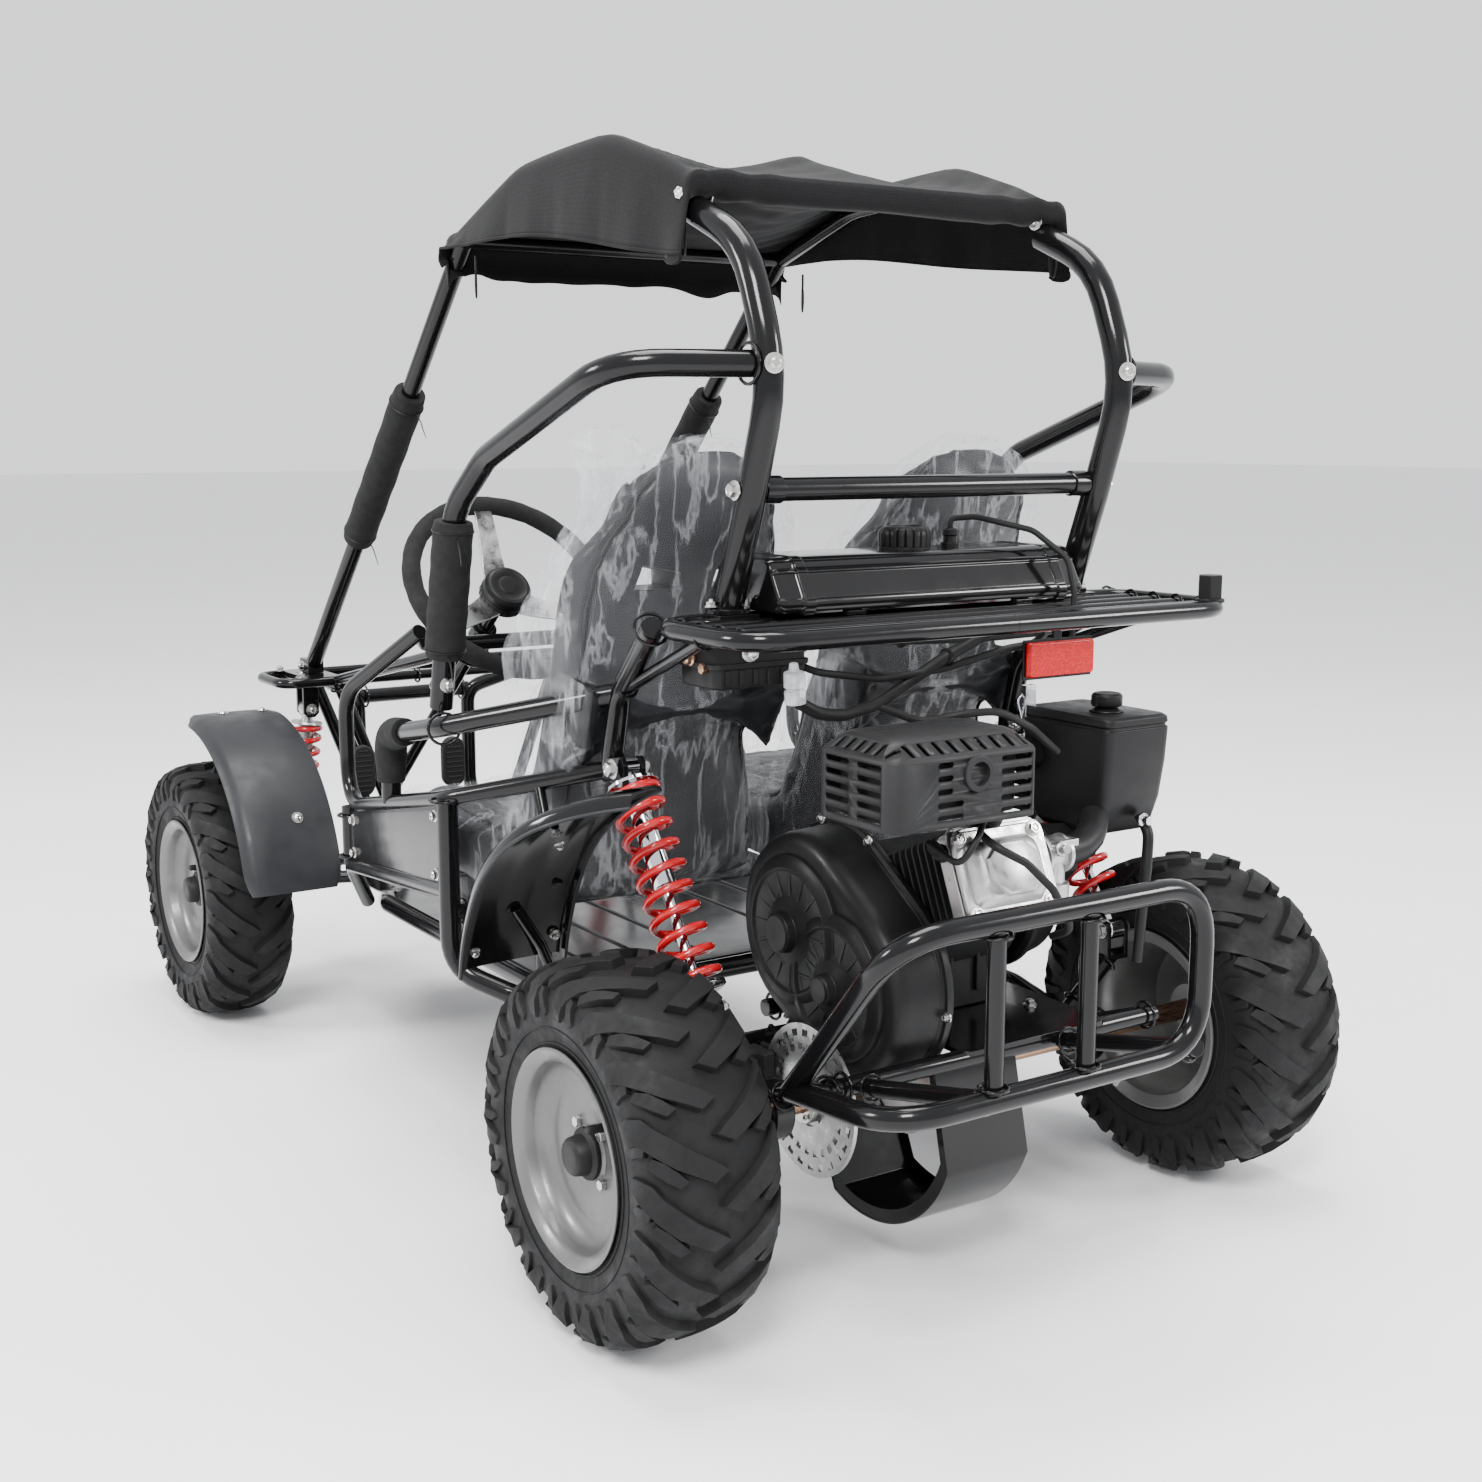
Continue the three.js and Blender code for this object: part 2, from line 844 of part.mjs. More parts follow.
const columnTop = vec([columnX, wheelHubY, wheelHubHeight]);
const columnFoot = vec([columnX, columnFootY, columnFootHeight]);
const columnAxis = columnTop.clone().sub(columnFoot).normalize();
const columnDown = new THREE.Vector3().crossVectors(AXES.x, columnAxis).negate();
const onColumn = (along, down = 0, side = 0) => {
  const p = columnFoot.clone().addScaledVector(columnAxis, along).addScaledVector(columnDown, down);
  return [p.x + side, p.y, p.z];
};
const columnLength = columnTop.distanceTo(columnFoot);
const columnBarAlong = (columnBarY - columnFootY) / columnAxis.y;
const columnBushRadius = columnRadius * 1.9;
const bushReach = lightRadius;

const panProfile = [
  [panRearY, floorHeight + railRadius - panThickness],
  [floorFrontY, floorHeight + railRadius - panThickness],
  [toeY, toeHeight + railRadius - panThickness],
  [panFrontY, toeHeight + railRadius - panThickness],
];
const panSide = [
  ...panProfile,
  ...panProfile
    .slice()
    .reverse()
    .map(([y, z]) => [y, z + 2 * panThickness]),
];
const panPlan = [
  [floorHalf, panRearY],
  [floorHalf, floorFrontY],
  [panToeHalf, toeY],
  [panToeHalf, panFrontY],
];
const panOutline = [...panPlan, ...panPlan.slice().reverse().map(([x, y]) => [-x, y])];
const pan = sideProfile(panSide, -floorHalf, floorHalf).intersect(
  plan(panOutline, 0, seatBarHeight),
);

const swingEar = (x) =>
  sideProfile(
    [
      [floorRearY, swingPivotHeight - swingBushRadius],
      [swingPivotY + swingBushRadius, swingPivotHeight - swingBushRadius / 2],
      [swingPivotY + swingBushRadius, swingPivotHeight + swingBushRadius / 2],
      [floorRearY, swingPivotHeight + swingBushRadius],
    ],
    x - cradleSheet / 2,
    x + cradleSheet / 2,
  );
const pedalRunning = pedalPadWidth / 2 + seatGap; // from a pedal's middle to its ears
const panTop = toeHeight + railRadius + panThickness;
const pedalFoot = (x) =>
  frontProfile(
    channel(x, pedalRunning, panThickness, panTop - panThickness, pedalPivotHeight + columnRadius),
    pedalY - columnRadius,
    pedalY + columnRadius,
  );
const swingEarOffset = swingBushHalf + seatGap + cradleSheet / 2;
const armEar = (y) =>
  plan(
    channel(y, armBushLength / 2 + seatGap, cradleSheet, noseHalf, armPivotX + armBushRadius)
      .map(([v, u]) => [u, v]),
    noseHeight - armBushRadius,
    noseHeight + armBushRadius,
  );
const frontAxleY = -wheelbase;
const armBushY = [frontAxleY - armPivotSpread, frontAxleY + armPivotSpread];
const frontEar = sideProfile(
  channel(
    frontShockY,
    eyeHalf + seatGap,
    cradleSheet,
    towerHeight + towerLoopRadius,
    frontShockTopHeight - eyeRadius,
  ),
  frontShockTopX - eyeRadius,
  frontShockTopX + eyeRadius,
);
const towerStrap = box(
  [frontPostX - frontPostRadius - lightRadius, towerFrontY, towerHeight],
  [frontShockTopX + eyeRadius + lightRadius, towerRearY, towerHeight + towerLoopRadius],
);

const sillX = (y) => mix(postX, midFrontX, (postY - y) / (postY - midFrontY));
const seatBar = (y) => across(y, seatBarHeight, sillX(y) - lightRadius / 2, lightRadius);
const seatLegs = [seatBarFrontY, seatBarRearY].flatMap((y) =>
  bothSides(bar([floorHalf, y, floorHeight], [floorHalf, y, seatBarHeight], lightRadius)),
);
const columnBarHeight = noseRailAt(columnBarY) - columnBarDrop;
const columnBar = tube(
  [
    [-towerHalf, columnBarY, noseRailAt(columnBarY)],
    [-columnX - columnBarDrop, columnBarY, columnBarHeight],
    [columnX + columnBarDrop, columnBarY, columnBarHeight],
    [towerHalf, columnBarY, noseRailAt(columnBarY)],
  ],
  lightRadius,
  tightBend,
);
const columnTab = bar(
  [columnX, columnBarY, columnBarHeight],
  onColumn(columnBarAlong),
  columnRadius,
);
const columnBush = bar(
  onColumn(columnBarAlong - bushReach),
  onColumn(columnBarAlong + bushReach),
  columnBushRadius,
  8,
);
const columnHole = bar(
  onColumn(columnBarAlong - bushReach * 3),
  onColumn(columnBarAlong + bushReach * 3),
  columnRadius + seatGap * 2.5,
  8,
);
function longer(route) {
  const [a, b] = route;
  const [y, z] = route.slice(-2);
  const share = (p, q) => -overrun / vec(p).distanceTo(vec(q));
  return [along(a, b, share(a, b)), ...route.slice(1, -1), along(z, y, share(y, z))];
}
const sideClear = [
  tube(longer(midRail), lightRadius + seatGap),
  tube(longer(postRoute), railRadius + seatGap),
  tube(longer(sillRoute), lightRadius + seatGap),
].flatMap(bothSides);

let floorFrame = join(
  bothSides(tube(floorRail, railRadius, tightBend)),
  pan,
  across(floorRearY, floorHeight, floorHalf, railRadius),
  across(floorFrontY, floorHeight, floorHalf, lightRadius),
  across(noseFrontY, noseHeight, noseHalf, lightRadius),
  across(guardFrontY, guardTopHeight, noseHalf, railRadius),
  seatBar(seatBarFrontY),
  seatBar(seatBarRearY),
  seatLegs,
  bothSides(towerLeg(towerRearY)),
  bothSides(towerLeg(towerFrontY)),
  bothSides(tube(towerLoop, towerLoopRadius, tightBend)),
  bothSides(tube(noseRail, noseRailRadius, tightBend)),
  across(towerRearY, towerHeight, noseHalf, towerLoopRadius),
  across(towerFrontY, towerHeight, noseHalf, towerLoopRadius),
  tube(dashRoute, lightRadius, tightBend),
  columnBar,
  columnTab,
  columnBush,
  [swingHalf - swingEarOffset, swingHalf + swingEarOffset].flatMap((x) => bothSides(swingEar(x))),
  armBushY.flatMap((y) => bothSides(armEar(y))),
  bothSides(frontEar),
  bothSides(towerStrap),
  pedalFoot(brakeX),
  pedalFoot(throttleX),
);
floorFrame = cut(floorFrame, columnHole, sideClear);
place("floor_frame", floorFrame, blackPaint);

// Side frames
const rearShockTop = [shockTowerX, shockTowerY + eyeRadius * 2.6, shockTowerHeight + eyeRadius / 2];
const rearShockBracket = plan(
  channel(shockTowerX, eyeHalf + seatGap, cradleSheet, shockTowerY, rearShockTop[1] + eyeRadius),
  rearShockTop[2] - eyeRadius,
  rearShockTop[2] + eyeRadius,
);
const elbowPad = tube(
  [
    [upperRoute[0][0], elbowY, elbowHeight - elbowPadReach],
    [elbowX, elbowY, elbowHeight],
    [
      mix(elbowX, upperRailX, elbowPadReach / (upperRailY - elbowY)),
      elbowY + elbowPadReach,
      mix(elbowHeight, upperRailHeight, elbowPadReach / (upperRailY - elbowY)),
    ],
  ],
  elbowPadRadius,
  tightBend,
  8,
);
const panelOutline = [
  [postY, postTopHeight],
  [midFrontY, midFrontHeight],
  [midFrontY, sillFrontHeight],
  [postY, sillRearHeight],
];
const panelTurn = (x, y) => mix(postX, midFrontX, (postY - y) / (postY - midFrontY)) + x;
const panelRings = panelOutline.map(([y, z]) => [
  [panelTurn(-panThickness / 2, y), y, z],
  [panelTurn(panThickness / 2, y), y, z],
]);
const sidePanel = loft([
  panelRings.map((r) => r[0]),
  panelRings.map((r) => r[1]),
]);
const frontPostEnd = bar(
  [midFrontX, midFrontY, midFrontHeight],
  [midFrontX, midFrontY, sillFrontHeight],
  lightRadius,
);
const sideFrame = join(
  tube(midRail, lightRadius),
  tube(postRoute, railRadius),
  tube(sillRoute, lightRadius),
  tube(upperRoute, railRadius),
  tube(legRoute, railRadius),
  frontPostEnd,
  elbowPad,
  sidePanel,
  rearShockBracket,
);

// Rear rack
const rackLoop = [
  [0, rackFrontY, rackHeight],
  [rackHalf, rackFrontY, rackHeight],
  [rackHalf, rackRearY, rackHeight],
  [0, rackRearY, rackHeight],
];
const rackCorner = (y) => mix(rackFrontY, rackRearY, y);
const slatFrontY = mix(rackFrontY, rackRearY, 1 / (slatCount + 1));
const slats = [];
for (let i = 1; i <= slatCount; i += 1) {
  const y = rackCorner(i / (slatCount + 1));
  slats.push(across(y, rackHeight, rackHalf, slatRadius));
}
const braceEnd = [rackHalf, mix(rackFrontY, rackRearY, 0.6), rackHeight];
const rackBrace = bar(along([shockTowerX, legY, legHeight], braceEnd, 0.08), braceEnd, slatRadius);
const rackRouteClear = bothSides(
  join(tube(legRoute, railRadius + seatGap), tube(upperRoute, railRadius + seatGap)),
);
const hoopPlate = bothSides(
  box(
    [hoopHalf - hoopTubeRadius * 1.6, hoopFootY - hoopTubeRadius, rackHeight - slatRadius],
    [hoopHalf + hoopTubeRadius * 1.6, hoopFootY + hoopTubeRadius * 1.6, rackHeight + lightRadius],
  ),
);
let rearRack = join(
  bothSides(tube(rackLoop, lightRadius, rackCornerBend)),
  slats,
  bothSides(rackBrace),
  hoopPlate,
);
rearRack = cut(rearRack, rackRouteClear);

// Roll hoops with their cross bar
const hoopFootHeight = rackHeight + lightRadius + seatGap;
const hoopRoute = [
  [hoopHalf, hoopFootY, hoopFootHeight],
  [hoopHalf, mix(hoopFootY, hoopWaistY, 0.62), mix(rackHeight, hoopWaistHeight, 0.5)],
  [hoopHalf, hoopWaistY + hoopTubeRadius, hoopWaistHeight],
  [hoopHalf, mix(hoopTopY, hoopWaistY, 0.72), hoopTopHeight - hoopBend * 0.42],
  [hoopHalf, hoopTopY, hoopTopHeight],
];
const hoopFlange = bar(
  [hoopHalf, hoopFootY, hoopFootHeight],
  [hoopHalf, hoopFootY, hoopFootHeight + slatRadius],
  hoopTubeRadius * 1.5,
  8,
);
const hoopFloor = box(
  [0, hoopFootY - frameBend, 0],
  [rackHalf, hoopFootY + frameBend, hoopFootHeight],
);
const hoop = cut(join(tube(hoopRoute, hoopTubeRadius, hoopBend), hoopFlange), hoopFloor);
const hoopClear = bothSides(tube(hoopRoute, hoopTubeRadius + seatGap, hoopBend));
const crossBar = cut(
  bar([-hoopHalf, crossBarY, crossBarHeight], [hoopHalf, crossBarY, crossBarHeight], crossBarRadius),
  hoopClear,
);

// Roof frame: two arched bows with cross tubes
const bowRoute = [
  [roofHalf, roofFrontY, roofFrontHeight],
  [roofHalf, mix(roofFrontY, roofCrownY, 0.45), mix(roofFrontHeight, roofCrownHeight, 0.82)],
  [roofHalf, roofCrownY, roofCrownHeight],
  [roofHalf, mix(roofRearY, roofCrownY, 0.35), mix(hoopTopHeight, roofCrownHeight, 0.62)],
  [roofHalf, roofRearY, hoopTopHeight + hoopTubeRadius + roofTubeRadius],
];
const roofFrame = cut(
  join(
    bothSides(tube(bowRoute, roofTubeRadius, hoopBend)),
    across(roofFrontY, roofFrontHeight, roofHalf, roofCrossRadius),
    across(roofRearY, hoopTopHeight + hoopTubeRadius + roofTubeRadius, roofHalf, roofCrossRadius),
  ),
  hoopClear,
);

// Front posts with foam sleeves
const postFootPoint = [frontPostX, frontShockY - eyeRadius, towerHeight + towerLoopRadius + seatGap];
const postTopPoint = [frontPostX, roofFrontY, roofFrontHeight];
const frontPost = cut(
  join(
    bar(postFootPoint, postTopPoint, frontPostRadius),
    bar(
      along(postFootPoint, postTopPoint, padStartShare),
      along(postFootPoint, postTopPoint, padEndShare),
      padRadius,
    ),
    box(
      [postFootPoint[0] - frontPostRadius, postFootPoint[1] - frontPostRadius, postFootPoint[2]],
      [postFootPoint[0] + frontPostRadius, postFootPoint[1] + frontPostRadius * 2, postFootPoint[2] + postFootRaise],
    ),
  ),
  box(
    [frontPostX - frameBend, roofFrontY - frameBend, roofFrontHeight - roofTubeRadius],
    [frontPostX + frameBend, roofFrontY + frameBend, roofFrontHeight + frameBend],
  ),
  box(
    [frontPostX - frameBend, postFootPoint[1] - frameBend, 0],
    [frontPostX + frameBend, postFootPoint[1] + frameBend, postFootPoint[2]],
  ),
);

// Side arms with foam sleeves
const armRoute = [
  [hoopHalf, hoopWaistY, armHeight],
  [armOuterX, armOuterRearY, armHeight],
  [armOuterX, armBendY, armBendHeight],
  [mix(armOuterX, armFootX, 0.6), armKneeY, armKneeHeight],
  [armFootX, armFootY, armFootHeight],
];
const armPadTop = along(armRoute[3], armRoute[4], armPadTopShare);
const armPadEnd = along(armRoute[3], armRoute[4], armPadEndShare);
const upperClear = tube(upperRoute, railRadius + seatGap);
const sideArm = cut(
  join(
    tube(armRoute, armRadius, frameBend),
    bar(armPadTop, armPadEnd, padRadius),
  ),
  hoopClear[0],
  upperClear,
);

pair("side_frame", sideFrame, blackPaint);
place("rear_rack", rearRack, blackPaint);
pair("roll_hoop", hoop, blackPaint);
place("hoop_cross_bar", crossBar, blackPaint);
place("roof_frame", roofFrame, blackPaint);
pair("front_post", frontPost, blackPaint);
pair("side_arm", sideArm, blackPaint);

// Wheels: one rim and one tyre shape for each axle, revolved round the X axis
const wheelSegments = 12;
const flangeWidth = flangeLip * 0.38;
function rimShape(half) {
  const seat = rimRadius;
  const well = rimRadius - rimWellDepth;
  const lip = rimRadius + flangeLip;
  const disc = half + flangeWidth - rimDiscInset;
  return lathe(
    [
      [-half - flangeWidth, lip],
      [-half, seat],
      [0, well],
      [half, seat],
      [half + flangeWidth, lip],
      [half + rimWall / 2, seat - rimWall],
      [half - rimWellDepth * 1.6, well],
      [disc, seat * 0.52],
      [disc, hubBoreRadius],
      [disc - hubHalf * 2, hubBoreRadius],
      [disc - hubHalf * 2, hubRadius],
      [half - rimWellDepth * 2.6, well - rimWall * 3],
      [-half - rimWall / 2, seat - rimWall],
    ],
    wheelSegments,
  );
}
const hubFace = (half) => half + flangeWidth - rimDiscInset - hubHalf * 2;

// A tyre skin: rings of points round the wheel, raised at each V-shaped lug.
function tyreShape(half, width, radius) {
  const bead = half - seatGap;
  const lip = rimRadius + flangeLip + seatGap;
  const shoulderX = width * 0.86;
  const shoulderDrop = treadLug * 1.7;
  const sidewall = mix(lip, radius, 0.42);
  const profile = [
    { x: -bead, fall: radius - lip, raised: 0, lean: 0 },
    { x: -width, fall: radius - sidewall, raised: 0, lean: 0 },
    { x: -shoulderX, fall: shoulderDrop, raised: treadLug, lean: 1 },
    { x: 0, fall: 0, raised: treadLug, lean: 0 },
    { x: shoulderX, fall: shoulderDrop, raised: treadLug, lean: 1 },
    { x: width, fall: radius - sidewall, raised: 0, lean: 0 },
    { x: bead, fall: radius - lip, raised: 0, lean: 0 },
    { x: bead - seatGap, fall: radius - rimRadius - seatGap, raised: 0, lean: 0 },
    { x: seatGap - bead, fall: radius - rimRadius - seatGap, raised: 0, lean: 0 },
  ];
  const pitch = (2 * Math.PI) / lugCount;
  const tall = 1 / Math.cos((pitch * lugShare) / 2);
  const columns = [];
  for (let i = 0; i < lugCount; i += 1) {
    columns.push({ turn: (i - 0.5) * pitch, high: false });
    columns.push({ turn: (i - lugShare / 2) * pitch, high: true });
    columns.push({ turn: (i + lugShare / 2) * pitch, high: true });
  }
  const rings = columns.map(({ turn, high }) =>
    profile.map((p) => {
      const a = turn + (p.lean * lugLean) / radius;
      const r = tall * (radius - p.fall) - (high ? 0 : p.raised);
      return [p.x, r * Math.sin(a), -r * Math.cos(a)];
    }),
  );
  return hoopOf(rings);
}
pair("rear_rim", rimShape(rearRimHalf), silver, rearTrackHalf, 0, rearAxleHeight);
pair("rear_tyre", tyreShape(rearRimHalf, rearTyreHalf, rearAxleHeight), rubber,
  rearTrackHalf, 0, rearAxleHeight);
pair("front_rim", rimShape(frontRimHalf), silver, frontTrackHalf, frontAxleY, frontAxleHeight);
pair("front_tyre", tyreShape(frontRimHalf, frontTyreHalf, frontAxleHeight), rubber,
  frontTrackHalf, frontAxleY, frontAxleHeight);

// Rear axle with brake disc and sprocket
const rearHubFace = rearTrackHalf + hubFace(rearRimHalf);
const discHoles = 5;
const discHoleRadius = 5;
function toothedRing(radius, teeth, depth) {
  const points = [];
  for (let i = 0; i < teeth; i += 1) {
    [
      [0.25, radius - depth],
      [0.75, radius],
    ].forEach(([share, r]) => {
      const a = (2 * Math.PI * (i + share)) / teeth;
      points.push([r * Math.cos(a), r * Math.sin(a)]);
    });
  }
  return points;
}
const discSolid = cut(
  bar([discX - discThickness / 2, 0, 0], [discX + discThickness / 2, 0, 0], discRadius, 16),
  Array.from({ length: discHoles }, (_, i) => {
    const a = (2 * Math.PI * i) / discHoles;
    const y = discRadius * 0.8 * Math.cos(a);
    const z = discRadius * 0.8 * Math.sin(a);
    return bar([discX - discThickness, y, z], [discX + discThickness, y, z], discHoleRadius, 5);
  }),
);
const stubLength = hubHalf * 2 + rimWall;
const rearAxle = join(
  bar([-rearHubFace + seatGap, 0, 0], [rearHubFace - seatGap, 0, 0], axleRadius, 8),
  bar([-rearHubFace - stubLength, 0, 0], [rearHubFace + stubLength, 0, 0], spindleRadius, 8),
  discSolid,
  bar([discX - axleRadius, 0, 0], [discX + axleRadius, 0, 0], axleRadius * 2, 8),
  sideProfile(
    toothedRing(sprocketRadius, sprocketTeeth, sprocketRadius * 0.09),
    sprocketX - discThickness / 2,
    sprocketX + discThickness / 2,
  ),
  bar([sprocketX - axleRadius, 0, 0], [sprocketX + axleRadius, 0, 0], axleRadius * 2, 8),
);
place("rear_axle", rearAxle, goldZinc, 0, 0, rearAxleHeight);

// Swing arm with engine cradle, axle carriers and guard
const rearShockFoot = [shockTowerX, rearShockFootY, rearShockFootHeight];
const ring = (x, y, z, half, outer, inner) =>
  cut(
    bar([x - half, y, z], [x + half, y, z], outer, 9),
    bar([x - half - overrun, y, z], [x + half + overrun, y, z], inner, 11),
  );
const carrier = ring(
  carrierHalf, 0, rearAxleHeight, carrierWidth / 2, carrierRadius, axleRadius + seatGap * 2.5,
);
const swingRoute = [
  [swingHalf, swingPivotY, swingPivotHeight],
  [carrierHalf, mix(swingPivotY, 0, 0.6), mix(swingPivotHeight, rearAxleHeight, 0.3)],
  [carrierHalf, -carrierRadius * 0.9, rearAxleHeight + carrierRadius * 0.3],
];
const footHeight = rearShockFootHeight - eyeRadius * 2.4;
const footBracket = frontProfile(
  channel(
    shockTowerX,
    eyeHalf + seatGap,
    cradleSheet,
    footHeight - cradleSheet,
    rearShockFootHeight + eyeRadius * 0.8,
  ),
  rearShockFootY - eyeRadius,
  rearShockFootY + eyeRadius,
);
const footPost = bar(
  [carrierHalf, rearShockFootY, rearAxleHeight + carrierRadius * 0.8],
  [shockTowerX, rearShockFootY, footHeight - cradleSheet / 2],
  lightRadius,
);
const cradleBar = (y) => across(y, cradleHeight - lightRadius, carrierHalf, lightRadius);
const swingAt = (y) => mix(swingPivotHeight, rearAxleHeight, (0.3 * (y - swingPivotY)) / (-0.6 * swingPivotY));
const cradlePlate = plan(
  [
    [cradleLeftX, cradleFrontY],
    [cradleLeftX, cradleRearY],
    [cradleRightX, cradleRearY],
    [cradleRightX, cradleFrontY],
  ],
  cradleHeight - cradleSheet,
  cradleHeight,
);
const guardStart = -115;
const guardEnd = -18;
const guardSteps = 5;
const guardArc = (radius) =>
  Array.from({ length: guardSteps + 1 }, (_, i) => {
    const a = degrees(mix(guardStart, guardEnd, i / guardSteps));
    return [radius * Math.cos(a), rearAxleHeight + radius * Math.sin(a)];
  });
const guardStrip = sideProfile(
  [
    [cradleFrontY + lightRadius - guardSheet, cradleHeight - lightRadius],
    ...guardArc(guardRadius),
    [cradleRearY - lightRadius + guardSheet, cradleHeight - lightRadius],
    [cradleRearY - lightRadius, cradleHeight - lightRadius],
    ...guardArc(guardRadius - guardSheet).reverse(),
    [cradleFrontY + lightRadius, cradleHeight - lightRadius],
  ],
  guardRightX,
  guardLeftX,
);
const swingArm = join(
  bothSides(
    bar(
      [swingHalf - swingBushHalf, swingPivotY, swingPivotHeight],
      [swingHalf + swingBushHalf, swingPivotY, swingPivotHeight],
      swingBushRadius,
      8,
    ),
  ),
  bothSides(tube(swingRoute, swingArmRadius)),
  bothSides(carrier),
  bothSides(footBracket),
  bothSides(footPost),
  across(mix(swingPivotY, 0, 0.6), swingAt(mix(swingPivotY, 0, 0.6)), carrierHalf, lightRadius),
  bothSides(
    bar(
      [carrierHalf, carrierRadius * 0.5, rearAxleHeight + carrierRadius * 0.6],
      [carrierHalf, cradleRearY - lightRadius, cradleHeight - lightRadius],
      lightRadius,
    ),
  ),
  cradleBar(cradleRearY - lightRadius),
  bothSides(
    bar(
      [swingHalf * 0.5, mix(swingPivotY, 0, 0.6), swingAt(mix(swingPivotY, 0, 0.6))],
      [swingHalf * 0.5, cradleFrontY + lightRadius, cradleHeight - lightRadius],
      lightRadius,
    ),
  ),
  across(cradleFrontY + lightRadius, cradleHeight - lightRadius, swingHalf * 0.7, lightRadius),
  cradlePlate,
  guardStrip,
);
place("swing_arm", swingArm, blackPaint);

// Rear bumper
const bumperTop = [
  [shockTowerX, mix(cradleRearY, bumperY, 0.06), mix(cradleHeight, bumperLowHeight, 0.2)],
  [bumperLeftX, bumperY, bumperTopHeight],
  [bumperRightX, bumperY, bumperTopHeight],
  [bumperRightX, bumperY, bumperLowHeight],
  [bumperLeftX, bumperY, bumperLowHeight],
  [shockTowerX, mix(cradleRearY, bumperY, 0.06), mix(cradleHeight, bumperLowHeight, 0.2)],
];
const bumperPost = (x) =>
  bar([x, bumperY, bumperLowHeight], [x, bumperY, bumperTopHeight], bumperPostRadius);
const bumperStay = (x) =>
  bar(
    [x, bumperY, bumperLowHeight],
    [x, cradleRearY, cradleHeight - lightRadius],
    bumperPostRadius,
  );
const cradleClear = box(
  [-carrierHalf - carrierWidth, 0, swingPivotHeight - lightRadius],
  [carrierHalf + carrierWidth, cradleRearY + seatGap, cradleHeight + lightRadius],
);
const bumperPostX = [
  mix(bumperRightX, bumperLeftX, 0.7),
  mix(bumperRightX, bumperLeftX, 0.4),
];
const bumper = cut(
  join(
    tube(bumperTop.slice(0, 4), bumperRadius, frameBend),
    tube(bumperTop.slice(3), bumperRadius, frameBend),
    bumperPostX.map(bumperPost),
    bumperStay(bumperPostX[0]),
    bumperStay(bumperRightX),
    bar(bumperTop[0], [carrierHalf, cradleRearY, cradleHeight - lightRadius], bumperPostRadius),
  ),
  cradleClear,
);
place("rear_bumper", bumper, blackPaint);

// Dampers and coil springs between two eyes
const towards = (a, b, distance) => {
  const step = vec(b).sub(vec(a)).normalize();
  return [a[0] + step.x * distance, a[1] + step.y * distance, a[2] + step.z * distance];
};
function shock(name, top, foot, eyeAxis, springRadius, turns) {
  const length = vec(top).distanceTo(vec(foot));
  const eye = (p) => {
    const reach = eyeAxis.clone().multiplyScalar(eyeHalf);
    const centre = vec(p);
    const a = centre.clone().sub(reach).toArray();
    const b = centre.clone().add(reach).toArray();
    return bar(a, b, eyeRadius);
  };
  const perchTop = towards(top, foot, eyeRadius * perchShare);
  const perchFoot = towards(foot, top, eyeRadius * perchShare);
  const outer = springRadius + springWire;
  const damperEnd = towards(top, foot, length * damperShare);
  const bore = bar(
    towards(damperEnd, foot, overrun),
    towards(damperEnd, top, rodEngage + shockTravel + runGap),
    damperRodRadius + runGap,
    8,
  );
  const body = cut(
    join(
      eye(top),
      bar(top, perchTop, eyeHalf * 0.72),
      bar(perchTop, damperEnd, damperRadius),
      bar(perchTop, towards(perchTop, foot, perchThickness), outer),
    ),
    bore,
  );
  const rod = join(
    eye(foot),
    bar(foot, towards(damperEnd, top, rodEngage), damperRodRadius, 8),
    bar(perchFoot, towards(perchFoot, top, perchThickness), outer),
  );
  const springTop = towards(perchTop, foot, perchThickness + seatGap);
  const springFoot = towards(perchFoot, top, perchThickness + seatGap);
  pair(name + "_shock_body", body, chrome);
  pair(name + "_shock_rod", rod, chrome);
  pair(name + "_spring", coil(springFoot, springTop, springRadius, turns), redPaint);
}
shock("rear", rearShockTop, rearShockFoot, AXES.x, rearSpringRadius, rearSpringTurns);
const frontShockTop = [frontShockTopX, frontShockY, frontShockTopHeight];
const frontShockFoot = [frontShockFootX, frontShockY, frontShockFootHeight];
shock("front", frontShockTop, frontShockFoot, AXES.y, frontSpringRadius, frontSpringTurns);

